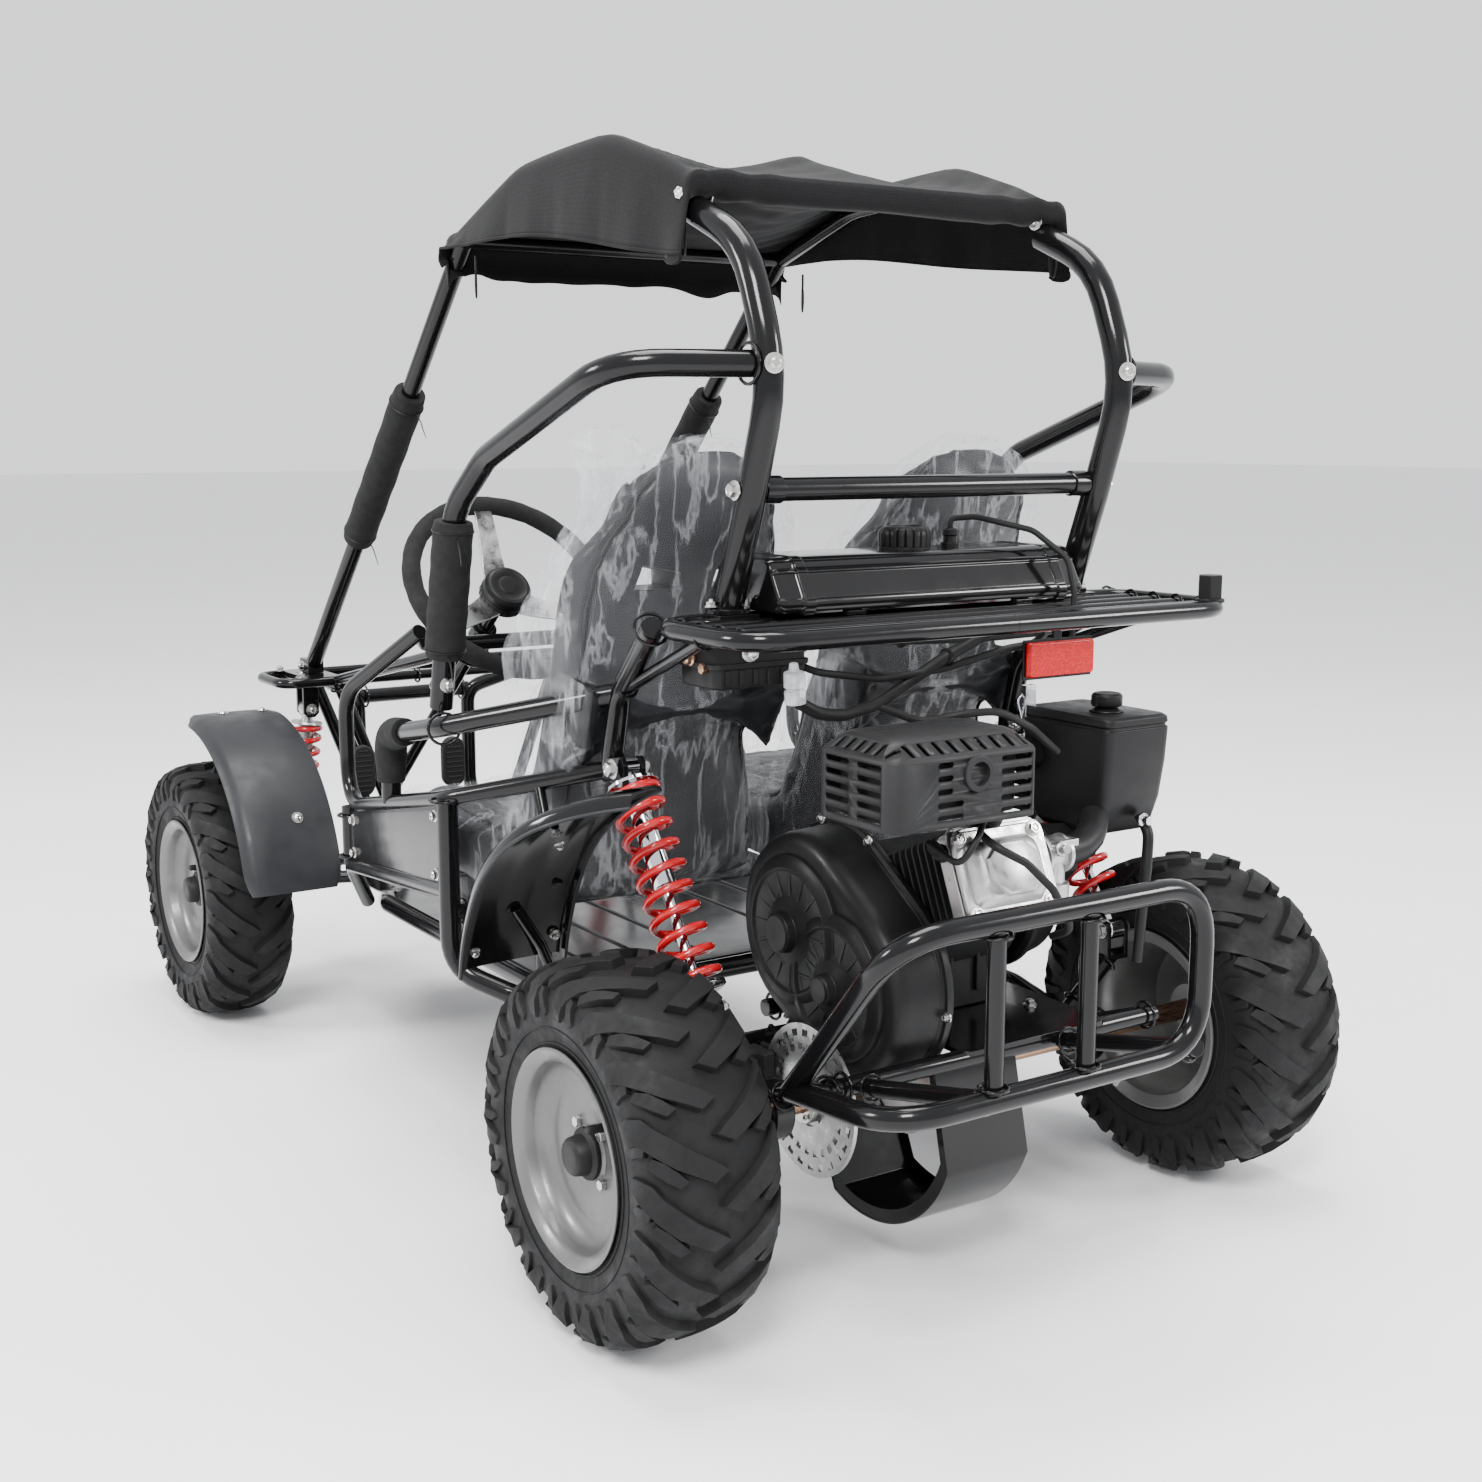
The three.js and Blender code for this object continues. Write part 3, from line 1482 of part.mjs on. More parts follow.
// Front arms with their kingpin yokes
const armEnd = kingpinX - kingpinRadius * 2.4;
const jaw = (low) =>
  box(
    [armEnd, frontAxleY - yokeDepth / 2, low],
    [kingpinX + kingpinRadius, frontAxleY + yokeDepth / 2, low + yokeThickness],
  );
const frontArm = join(
  armBushY.map((y) =>
    bar(
      [armPivotX, y - armBushLength / 2, frontAxleHeight],
      [armPivotX, y + armBushLength / 2, frontAxleHeight],
      armBushRadius,
      8,
    ),
  ),
  armBushY.map((y) =>
    bar(
      [armPivotX, y, frontAxleHeight],
      [armEnd, mix(y, frontAxleY, 0.88), frontAxleHeight],
      lightRadius,
    ),
  ),
  bar(
    [mix(armPivotX, armEnd, 0.5), mix(armBushY[0], frontAxleY, 0.44), frontAxleHeight],
    [mix(armPivotX, armEnd, 0.5), mix(armBushY[1], frontAxleY, 0.44), frontAxleHeight],
    slatRadius,
    6,
  ),
  jaw(frontAxleHeight + kingpinHalf + seatGap),
  jaw(frontAxleHeight - kingpinHalf - seatGap - yokeThickness),
  box(
    [armEnd - yokeThickness, frontAxleY - yokeDepth / 2, frontAxleHeight - kingpinHalf - seatGap - yokeThickness],
    [armEnd, frontAxleY + yokeDepth / 2, frontAxleHeight + kingpinHalf + seatGap + yokeThickness],
  ),
  sideProfile(
    channel(
      frontShockY,
      eyeHalf + seatGap,
      cradleSheet,
      frontAxleHeight,
      frontShockFootHeight + eyeRadius * 0.8,
    ),
    frontShockFootX - eyeRadius,
    armEnd,
  ),
);
pair("front_arm", frontArm, blackPaint);

// Steering knuckles with spindle, steering arm and fender stay
const fenderSteps = 7;
const eyeLayer = -(pitmanThickness / 2 + seatGap + tieRodRadius);
const tieRodPoint = onColumn(eyeLayer, pitmanLength);
const rodY = tieRodPoint[1];
const rodHeight = tieRodPoint[2];
const ballRadius = 9;
const pitmanSpread = 14;
const frontHubFace = frontTrackHalf + hubFace(frontRimHalf);
const fenderStep = degrees((frontFenderEnd - frontFenderStart) / fenderSteps);
const stayReach = (frontFenderRadius - frontFenderSheet) * Math.cos(fenderStep / 2) - seatGap * 3;
const stayRoute = [
  [kingpinX, frontAxleY, frontAxleHeight + kingpinRadius],
  [fenderStayX, frontAxleY - yokeDepth - fenderStayRadius, frontAxleHeight + kingpinRadius],
  [fenderStayX, frontAxleY - yokeDepth - fenderStayRadius, frontAxleHeight + kingpinHalf * 2],
  [fenderStayX, frontAxleY, frontAxleHeight + kingpinHalf * 5],
  [fenderStayX, frontAxleY, frontAxleHeight + stayReach],
];
const knuckle = join(
  bar(
    [kingpinX, frontAxleY, frontAxleHeight - kingpinHalf],
    [kingpinX, frontAxleY, frontAxleHeight + kingpinHalf],
    kingpinRadius,
    8,
  ),
  bar(
    [kingpinX, frontAxleY, frontAxleHeight],
    [frontHubFace - seatGap, frontAxleY, frontAxleHeight],
    spindleRadius * 1.3,
    8,
  ),
  bar(
    [kingpinX, frontAxleY, frontAxleHeight],
    [frontHubFace + stubLength, frontAxleY, frontAxleHeight],
    spindleRadius,
    8,
  ),
  box(
    [kingpinX - ballRadius, frontAxleY, rodHeight - steerArmThickness / 2],
    [kingpinX + ballRadius, rodY, rodHeight + steerArmThickness / 2],
  ),
  bar(
    [kingpinX, rodY, rodHeight - steerArmThickness / 2],
    [kingpinX, rodY, rodHeight + steerArmThickness / 2],
    ballRadius,
    8,
  ),
  tube(stayRoute, fenderStayRadius, tightBend),
);
pair("steering_knuckle", knuckle, blackPaint);

const fenderRings = Array.from({ length: fenderSteps + 1 }, (_, i) => {
  const a = degrees(mix(frontFenderStart, frontFenderEnd, i / fenderSteps));
  const at = (x, radius) => [
    x,
    frontAxleY + radius * Math.cos(a),
    frontAxleHeight + radius * Math.sin(a),
  ];
  const edge = flangeLip;
  return [
    at(frontFenderInX, frontFenderRadius - frontFenderSheet),
    at(frontFenderOutX - edge, frontFenderRadius - frontFenderSheet),
    at(frontFenderOutX - frontFenderSheet, frontFenderRadius - edge),
    at(frontFenderOutX, frontFenderRadius - edge),
    at(frontFenderOutX - edge * 0.8, frontFenderRadius),
    at(frontFenderInX, frontFenderRadius),
  ];
});
pair("front_fender", loft(fenderRings), greyPlastic);

// Tie rods: they slide beside the pitman plate and stop short of the steering arms
function tieRod(side) {
  const eyeX = side * pitmanSpread;
  const eyeAt = (offset) => onColumn(eyeLayer + offset, pitmanLength, eyeX);
  const end = side * (kingpinX - ballRadius - runGap * 2.4);
  return join(
    bar(eyeAt(-tieRodRadius), eyeAt(tieRodRadius), ballRadius, 8),
    bar([columnX + eyeX, rodY, rodHeight], [end, rodY, rodHeight], tieRodRadius),
    bar([end - side * ballRadius * 2, rodY, rodHeight], [end, rodY, rodHeight], ballRadius, 8),
  );
}
place("tie_rod_left", tieRod(1), blackPaint);
place("tie_rod_right", tieRod(-1), blackPaint);

// Steering wheel with its column and pitman plate, built along the column's own axis
const steerSegments = 15;
const spokeAngles = [90, 210, 330];
const inColumnFrame = (made) => {
  const basis = new THREE.Matrix4().makeBasis(AXES.x, columnDown.clone().negate(), columnAxis);
  const turned = basis.clone().setPosition(columnFoot);
  return made.transform(turned.toArray());
};
const rimTorus = solid(new THREE.TorusGeometry(steerRimRadius, steerRimTube, 6, steerSegments))
  .translate([0, 0, columnLength + steerDish]);
const spokes = spokeAngles.map((angle) => {
  const a = degrees(angle);
  const inner = [steerHubRadius * 0.6 * Math.cos(a), steerHubRadius * 0.6 * Math.sin(a)];
  const outer = [steerRimRadius * Math.cos(a), steerRimRadius * Math.sin(a)];
  const side = [(-Math.sin(a) * spokeWidth) / 2, (Math.cos(a) * spokeWidth) / 2];
  const quad = (p, z) => [
    [p[0] + side[0], p[1] + side[1], z],
    [p[0] - side[0], p[1] - side[1], z],
    [p[0] - side[0], p[1] - side[1], z + spokeThickness],
    [p[0] + side[0], p[1] + side[1], z + spokeThickness],
  ];
  return loft([quad(inner, columnLength), quad(outer, columnLength + steerDish)]);
});
const pitmanPlate = join(
  plan(
    [
      [-columnRadius * 1.6, columnRadius * 1.6],
      [-pitmanSpread - ballRadius, -pitmanLength],
      [-pitmanSpread, -pitmanLength - ballRadius],
      [pitmanSpread, -pitmanLength - ballRadius],
      [pitmanSpread + ballRadius, -pitmanLength],
      [columnRadius * 1.6, columnRadius * 1.6],
    ],
    -pitmanThickness / 2,
    pitmanThickness / 2,
  ),
);
const steering = inColumnFrame(
  join(
    rimTorus,
    spokes,
    bar([0, 0, columnLength - spokeThickness], [0, 0, columnLength + steerHubHeight], steerHubRadius, 10),
    bar([0, 0, 0], [0, 0, columnLength], columnRadius, 8),
    pitmanPlate,
  ),
);
place("steering_wheel", steering, satinBlack);

// Pedals: an upright arm on a cross tube, with an oblong pad facing the driver
function pedal(x) {
  const padMiddle = pedalTop - pedalPadLength / 2;
  const outline = Array.from({ length: 8 }, (_, i) => {
    const a = (2 * Math.PI * (i + 0.5)) / 8;
    const lift = Math.sign(Math.sin(a)) * (pedalPadLength - pedalPadWidth) / 2;
    return [
      x + (pedalPadWidth / 2) * Math.cos(a),
      pedalY,
      padMiddle + (pedalPadWidth / 2) * Math.sin(a) + lift,
    ];
  });
  return join(
    bar([x - pedalPadWidth / 2, pedalY, pedalPivotHeight], [x + pedalPadWidth / 2, pedalY, pedalPivotHeight], columnRadius, 8),
    bar([x, pedalY, pedalPivotHeight], [x, pedalY, pedalTop - pedalPadWidth / 2], pedalArmRadius),
    loft([outline, outline.map(([a, b, c]) => [a, b + pedalPadThickness, c])]),
  );
}
place("brake_pedal", pedal(brakeX), satinBlack);
place("throttle_pedal", pedal(throttleX), satinBlack);

// Engine block: crankcase, slanted finned cylinder, head and fan shroud
const engineTurn = new THREE.Matrix4()
  .makeRotationX(degrees(engineSlant))
  .setPosition(0, crankY, crankHeight);
const slanted = (low, high) => moved(box(low, high), engineTurn);
const cylinderMiddle = cylinderX;
const barrelEnd = cylinderEnd - headLength;
const fins = [];
for (let i = 0; i < finCount; i += 1) {
  const at = mix(cylinderStart + finDepth * 2, barrelEnd, i / finCount);
  fins.push(
    slanted(
      [cylinderMiddle - cylinderWidth / 2, at, -cylinderHeight / 2],
      [cylinderMiddle + cylinderWidth / 2, at + finThickness, cylinderHeight / 2],
    ),
  );
}
const engineBlock = join(
  bar([engineRightX, crankY, crankHeight], [engineLeftX, crankY, crankHeight], crankcaseRadius, 12),
  bar([shroudRightX, crankY, crankHeight], [engineRightX + overrun, crankY, crankHeight],
    shroudRadius * 0.8, 12, shroudRadius),
  box(
    [engineRightX + finDepth, crankY - crankcaseRadius * 0.8, cradleHeight + seatGap],
    [engineLeftX - finDepth, crankY + crankcaseRadius * 0.8, crankHeight],
  ),
  slanted(
    [cylinderMiddle - cylinderWidth / 2 + finDepth, cylinderStart, -cylinderHeight / 2 + finDepth],
    [cylinderMiddle + cylinderWidth / 2 - finDepth, cylinderEnd, cylinderHeight / 2 - finDepth],
  ),
  fins,
  slanted(
    [headRightX, barrelEnd, -cylinderHeight / 2],
    [headLeftX, cylinderEnd, cylinderHeight / 2],
  ),
);
place("engine_block", engineBlock, darkCast);

// Valve cover: a cast lid with drawn-in edges
const lidRing = (along, inset) =>
  [
    [-1, -0.7],
    [-0.8, -1],
    [0.8, -1],
    [1, -0.7],
    [1, 0.7],
    [0.8, 1],
    [-0.8, 1],
    [-1, 0.7],
  ].map(([u, v]) => {
    const p = new THREE.Vector3(
      valveCoverX + u * (valveCoverWidth / 2 - inset),
      cylinderEnd + along,
      v * (valveCoverHeight / 2 - inset),
    ).applyMatrix4(engineTurn);
    return p.toArray();
  });
place(
  "valve_cover",
  loft([
    lidRing(seatGap, 0),
    lidRing(valveCoverDepth * 0.3, 0),
    lidRing(valveCoverDepth * 0.45, finDepth),
    lidRing(valveCoverDepth, finDepth * 1.6),
  ]),
  castMetal,
);

// Boxes with bevelled long edges, for the muffler, air cleaner and tank
function roundedBox(low, high, bevel) {
  const outline = [
    [low[1] + bevel, low[2]],
    [high[1] - bevel, low[2]],
    [high[1], low[2] + bevel],
    [high[1], high[2] - bevel],
    [high[1] - bevel, high[2]],
    [low[1] + bevel, high[2]],
    [low[1], high[2] - bevel],
    [low[1], low[2] + bevel],
  ];
  return sideProfile(outline, low[0], high[0]);
}
const headTop = (x, along) =>
  new THREE.Vector3(x, along, cylinderHeight / 2 + seatGap).applyMatrix4(engineTurn).toArray();
const portAlong = cylinderEnd - headLength / 2;
const portStart = headTop(portX, portAlong);
const headClear = slanted(
  [headRightX - seatGap, barrelEnd, -cylinderHeight / 2 - seatGap],
  [headLeftX + seatGap, cylinderEnd, cylinderHeight / 2 + seatGap],
);
const muffler = cut(join(
  roundedBox(
    [mufflerRightX, mufflerFrontY, mufflerLow],
    [mufflerLeftX, mufflerRearY, mufflerTop],
    mufflerBevel,
  ),
  bar(portStart, [mufflerRightX + pipeRadius * 2, portStart[1], mufflerLow + overrun], pipeRadius),
  moved(
    box(
      [portX - pipeRadius * 1.6, portAlong - pipeRadius * 1.3, cylinderHeight / 2 + seatGap],
      [portX + pipeRadius * 1.6, portAlong + pipeRadius * 1.3, cylinderHeight / 2 + flangeThickness],
    ),
    engineTurn,
  ),
  bar(
    [mufflerLeftX - overrun, mufflerRearY - mufflerBevel * 2, mix(mufflerLow, mufflerTop, 0.3)],
    [mufflerLeftX + pipeRadius, mufflerRearY - mufflerBevel * 2, mix(mufflerLow, mufflerTop, 0.3)],
    pipeRadius,
  ),
), headClear);
place("muffler", muffler, satinBlack);

const intakeEnd = new THREE.Vector3(headRightX - seatGap, portAlong, 0)
  .applyMatrix4(engineTurn)
  .toArray();
const intakeY = intakeEnd[1];
const carbX = mix(headRightX, airLeftX, 0.4);
const airCleaner = cut(join(
  roundedBox([airRightX, airFrontY, airLow], [airLeftX, airRearY, airTop], airBevel),
  bar([airLeftX - overrun, intakeY - airBevel, airLow + neckRadius * 1.3],
    [carbX, intakeY, intakeEnd[2] + neckRadius / 2], neckRadius),
  bar([carbX, intakeY, intakeEnd[2] + neckRadius / 2], intakeEnd, neckRadius * 0.8),
  box(
    [carbX - neckRadius, intakeY - neckRadius, intakeEnd[2] - neckRadius * 1.2],
    [carbX + neckRadius, intakeY + neckRadius, intakeEnd[2] + neckRadius * 1.8],
  ),
), headClear);
place("air_cleaner", airCleaner, satinBlack);

// Belt cover: two round lobes under one skin, with a boss to the crankcase
function lobes(grow, share = 1) {
  const front = { y: coverFrontY, z: coverFrontHeight, r: coverFrontRadius * share + grow };
  const rear = { y: coverRearY, z: coverRearHeight, r: coverRearRadius * share + grow };
  const line = Math.atan2(rear.z - front.z, rear.y - front.y);
  const points = [];
  [
    [front, Math.PI / 2],
    [rear, -Math.PI / 2],
  ].forEach(([lobe, start]) => {
    for (let i = 0; i <= coverSteps; i += 1) {
      const a = line + start + (Math.PI * i) / coverSteps;
      points.push([lobe.y + lobe.r * Math.cos(a), lobe.z + lobe.r * Math.sin(a)]);
    }
  });
  return points;
}
const coverRing = (x, grow, share) => lobes(grow, share).map(([y, z]) => [x, y, z]);
const beltCover = join(
  loft([
    coverRing(coverRightX, 0),
    coverRing(coverRightX + coverRim, 0),
    coverRing(coverRightX + coverRim, -coverRim / 2),
    coverRing(mix(coverRightX, coverLeftX, 0.8), -coverRim / 2),
    coverRing(coverLeftX, -coverRim * 1.6),
    coverRing(coverLeftX, 0, 0.62),
    coverRing(coverLeftX + coverBulge, 0, 0.42),
  ]),
  bar(
    [engineLeftX + seatGap, crankY, crankHeight],
    [coverRightX + overrun, crankY, crankHeight],
    coverFrontRadius * 0.42,
    12,
  ),
);
place("belt_cover", beltCover, satinBlack);

// Fuel tank with ribbed cap
const tankBase = rackHeight + tubeFlat(lightRadius) + seatGap;
const tankTop = tankBase + tankHeight;
const tankMiddle = (tankFrontY + tankRearY) / 2;
const tankDepth = (tankRearY - tankFrontY) / 2;
const tankEnd = (x, share) =>
  [
    [-1, 0.12],
    [-0.92, 0],
    [0.92, 0],
    [1, 0.12],
    [tankTopShare, 0.88],
    [tankTopShare - 0.12, 1],
    [0.12 - tankTopShare, 1],
    [-tankTopShare, 0.88],
  ].map(([u, w]) => [
    x,
    tankMiddle + u * tankDepth * share,
    tankBase + tankHeight * ((w - 0.5) * share + 0.5),
  ]);
const tank = join(
  loft([
    tankEnd(-tankHalf, 0.9),
    tankEnd(-tankHalf + tankEndCap, 1),
    tankEnd(tankHalf - tankEndCap, 1),
    tankEnd(tankHalf, 0.9),
  ]),
  bothSides(
    box(
      [tankHalf / 2, slatFrontY - slatRadius, rackHeight + tubeFlat(slatRadius) + seatGap],
      [tankHalf / 2 + tankEndCap * 2, slatFrontY + slatRadius, tankBase + overrun],
    ),
  ),
);
place("fuel_tank", tank, glossPlastic);
const capRing = Array.from({ length: capRibs * 2 }, (_, i) => {
  const a = (Math.PI * i) / capRibs;
  const r = i % 2 ? capRadius : capRadius * 0.88;
  return [capX + r * Math.cos(a), tankMiddle + r * Math.sin(a)];
});
place("fuel_cap", plan(capRing, tankTop + seatGap, tankTop + seatGap + capHeight), satinBlack);

// Battery box under the rack
const batteryTop = rackHeight - tubeFlat(lightRadius) - seatGap;
place(
  "battery_box",
  join(
    box(
      [batteryX - batteryLength / 2, batteryY - batteryWidth / 2, batteryTop - batteryHeight],
      [batteryX + batteryLength / 2, batteryY + batteryWidth / 2, batteryTop],
    ),
    box(
      [batteryX - batteryLength / 2 - slatRadius / 2, batteryY - batteryWidth / 2 - slatRadius / 2,
        batteryTop - batteryHeight * 0.62],
      [batteryX + batteryLength / 2 + slatRadius / 2, batteryY + batteryWidth / 2 + slatRadius / 2,
        batteryTop - batteryHeight * 0.5],
    ),
  ),
  satinBlack,
);

// Canopy: cloth drawn over the bows, with side skirts and turned-down ends
const bowTopAt = (y) => {
  const stations = new BentRoute(bowRoute, hoopBend).stations;
  for (let i = 0; i + 1 < stations.length; i += 1) {
    const [a, b] = [stations[i], stations[i + 1]];
    if (y >= a.y && y <= b.y) return mix(a.z, b.z, (y - a.y) / (b.y - a.y));
  }
  return y < stations[0].y ? stations[0].z : stations[stations.length - 1].z;
};
const canopySide = roofHalf + hoopTubeRadius + seatGap * 3;
const bowStations = new BentRoute(bowRoute, hoopBend).stations.map((p) => p.y);
const canopyRows = [
  { y: canopyFrontY, drop: canopyHem },
  { y: canopyFrontY + canopyThickness, drop: 0 },
  ...bowStations.map((y) => ({ y, drop: 0 })),
  { y: canopyRearY - canopyThickness, drop: 0 },
  { y: canopyRearY, drop: canopyHem },
];
const canopyShares = [0.32, 0.6, 0.84];
const hangs = [
  { x: roofHalf, drop: 0, wave: 0 },
  { x: canopySide - canopyThickness, drop: canopyEdgeDrop / 2, wave: 0 },
  { x: canopySide, drop: canopyEdgeDrop * 2, wave: 0.3 },
  { x: canopySide + canopyFold, drop: canopyEdgeDrop + canopySkirt, wave: 1 },
];
function canopyAt(row, rowIndex, side, column, thickness) {
  const rowShare = (row.y - canopyFrontY) / (canopyRearY - canopyFrontY);
  const span = Math.sin(Math.PI * rowShare);
  const crown = bowTopAt(row.y) + roofTubeRadius + seatGap * 2 + bowChord - row.drop;
  if (typeof column === "number") {
    const fold = canopyFold * span * Math.sin(rowIndex * 2.1 + column * 4);
    const sag = (canopySag * span - fold) * (1 - column ** 2);
    return [side * roofHalf * column, row.y, crown - sag + thickness];
  }
  const wave = canopyFold * 0.5 * column.wave * Math.sin(rowIndex * 2.6);
  const out = column.drop > canopyEdgeDrop ? thickness : 0;
  return [
    side * (column.x + wave + out),
    row.y,
    crown - column.drop + row.drop * column.wave + (out ? 0 : thickness),
  ];
}
const canopyColumns = [
  ...hangs.slice().reverse().map((c) => [-1, c]),
  ...canopyShares.slice().reverse().map((c) => [-1, c]),
  [1, 0],
  ...canopyShares.map((c) => [1, c]),
  ...hangs.map((c) => [1, c]),
];
const canopyGrid = (thickness) =>
  canopyRows.map((row, r) =>
    canopyColumns.map(([side, column]) => canopyAt(row, r, side, column, thickness)),
  );
place("canopy", sheet(canopyGrid(canopyThickness), canopyGrid(0)), cloth);

// Seats: one padded shell each, from the front lip of the cushion to the top of the back
const seatBase = seatBarHeight + tubeFlat(lightRadius) + seatGap;
const seatRise = seatTopHeight - seatBase;
// Shares of the seat's depth, rise, half width and bolster, from the front lip upwards.
// Each row has the front face's depth and rise, then the back face's, then the other two.
const seatRowShares = [
  [0, 0.085, 0.026, 0.023, 0.84, 0],
  [0.026, 0.142, 0.075, 0, 0.955, 0.05],
  [0.12, 0.165, 0.12, 0, 0.99, 0.19],
  [0.3, 0.155, 0.31, 0, 1, 0.33],
  [0.602, 0.135, 0.665, 0, 0.98, 0.52],
  [0.673, 0.206, 0.79, 0.059, 0.93, 0.71],
  [0.707, 0.34, 0.83, 0.318, 0.83, 0.95],
  [0.726, 0.418, 0.853, 0.408, 0.8, 1],
  [0.741, 0.433, 0.859, 0.43, 0.79, 1],
  [0.737, 0.447, 0.865, 0.451, 0.79, 1],
  [0.786, 0.627, 0.906, 0.634, 0.82, 0.86],
  [0.823, 0.763, 0.947, 0.767, 0.78, 0.62],
  [0.861, 0.86, 0.977, 0.864, 0.65, 0.29],
  [0.891, 0.95, 1, 0.953, 0.58, 0.19],
  [0.932, 0.997, 0.981, 1, 0.48, 0],
];
const seatRows = seatRowShares.map(([deep, high, backDeep, backHigh, wide, bolster]) => ({
  y: seatFrontY + seatDepth * deep,
  z: seatBase + seatRise * high,
  backY: seatFrontY + seatDepth * backDeep,
  backZ: seatBase + seatRise * backHigh,
  half: seatHalf * wide,
  bolster: seatBolster * bolster,
}));
const seatColumnShares = [-1, -0.82, -0.5, 0, 0.5, 0.82, 1];
function seatGrid(front) {
  return seatRows.map((row, r) => {
    const next = seatRows[Math.min(r + 1, seatRows.length - 1)];
    const last = seatRows[Math.max(r - 1, 0)];
    const rise = Math.atan2(next.z - last.z, next.y - last.y);
    return seatColumnShares.map((u) => {
      const side = Math.abs(u) === 1 ? 0.45 : Math.max(0, Math.abs(u) - 0.5) / 0.32;
      const lift = front ? row.bolster * side - seatCrown * u * u : row.bolster * 1.35 * u * u;
      const [y, z] = front ? [row.y, row.z] : [row.backY, row.backZ];
      const share = !front && z === seatBase ? 0 : 1;
      return [
        u * row.half * (front || Math.abs(u) < 1 ? 1 : seatTuck),
        y - Math.sin(rise) * lift * share,
        z + Math.cos(rise) * lift * share,
      ];
    });
  });
}
const slots = bothSides(
  box(
    [beltSlotX - beltSlotWidth / 2, seatFrontY, beltSlotHeight],
    [beltSlotX + beltSlotWidth / 2, 0, beltSlotHeight + beltSlotDepth],
  ),
);
const seat = cut(sheet(seatGrid(true), seatGrid(false)), slots);
pair("seat", seat, seatCloth, seatCentreX);

// Rear fenders: a swept sheet with a turned-down outer edge and a stay to the side frame
// Each row: its angle, and its radius and outer edge as shares of the fender's.
const rearFenderShares = [
  [153, 0.8, 1],
  [140, 0.851, 1],
  [126, 0.911, 0.97],
  [112, 0.951, 0.88],
  [102, 0.978, 0.64],
  [95, 0.995, 0.3],
];
const fenderGrid = (inward) =>
  rearFenderShares.map(([angle, reachShare, wideShare]) => {
    const a = degrees(angle);
    const outX = mix(rearFenderInX, rearFenderOutX, wideShare);
    const row = [
      [rearFenderInX, flangeLip * wideShare],
      [mix(rearFenderInX, outX, 0.2), -fenderLift],
      [mix(rearFenderInX, outX, 0.8), 0],
      [outX - rearFenderSheet, flangeLip * 0.4],
      [outX, flangeLip * 1.4],
    ];
    return row.map(([x, drop], k) => {
      const r = rearFenderRadius * reachShare - drop - (inward ? rearFenderSheet : 0);
      const inset = inward && k === 0 ? rearFenderSheet : inward && k === 4 ? -rearFenderSheet : 0;
      return [x + inset, r * Math.cos(a), rearAxleHeight + r * Math.sin(a)];
    });
  });
const midRailAt = (y) =>
  along(midRail[0], midRail[1], (y - shockTowerY) / (postY - shockTowerY));
const stayAt = midRailAt(fenderStayY);
const rearFender = cut(
  join(
    sheet(fenderGrid(false), fenderGrid(true)),
    bar(
      [stayAt[0], fenderStayY, stayAt[2]],
      [stayAt[0] + flangeLip, fenderStayEndY, fenderStayEndHeight],
      slatRadius,
    ),
  ),
  tube(longer(midRail), lightRadius + seatGap * 2),
);
pair("rear_fender", rearFender, glossPlastic);

console.log(`least gap between spring turns ${Math.min(...springGaps).toFixed(2)} mm`);

kart.position.y = (wheelbase + frontAxleHeight - bumperY - bumperRadius) / 2;
export default group;
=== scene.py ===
"""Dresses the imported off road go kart: smooth tubes, cloth, rubber, castings and fasteners."""
import sys
import json
import random
from math import asin, atan2, copysign, cos, exp, pi, radians, sin, tan

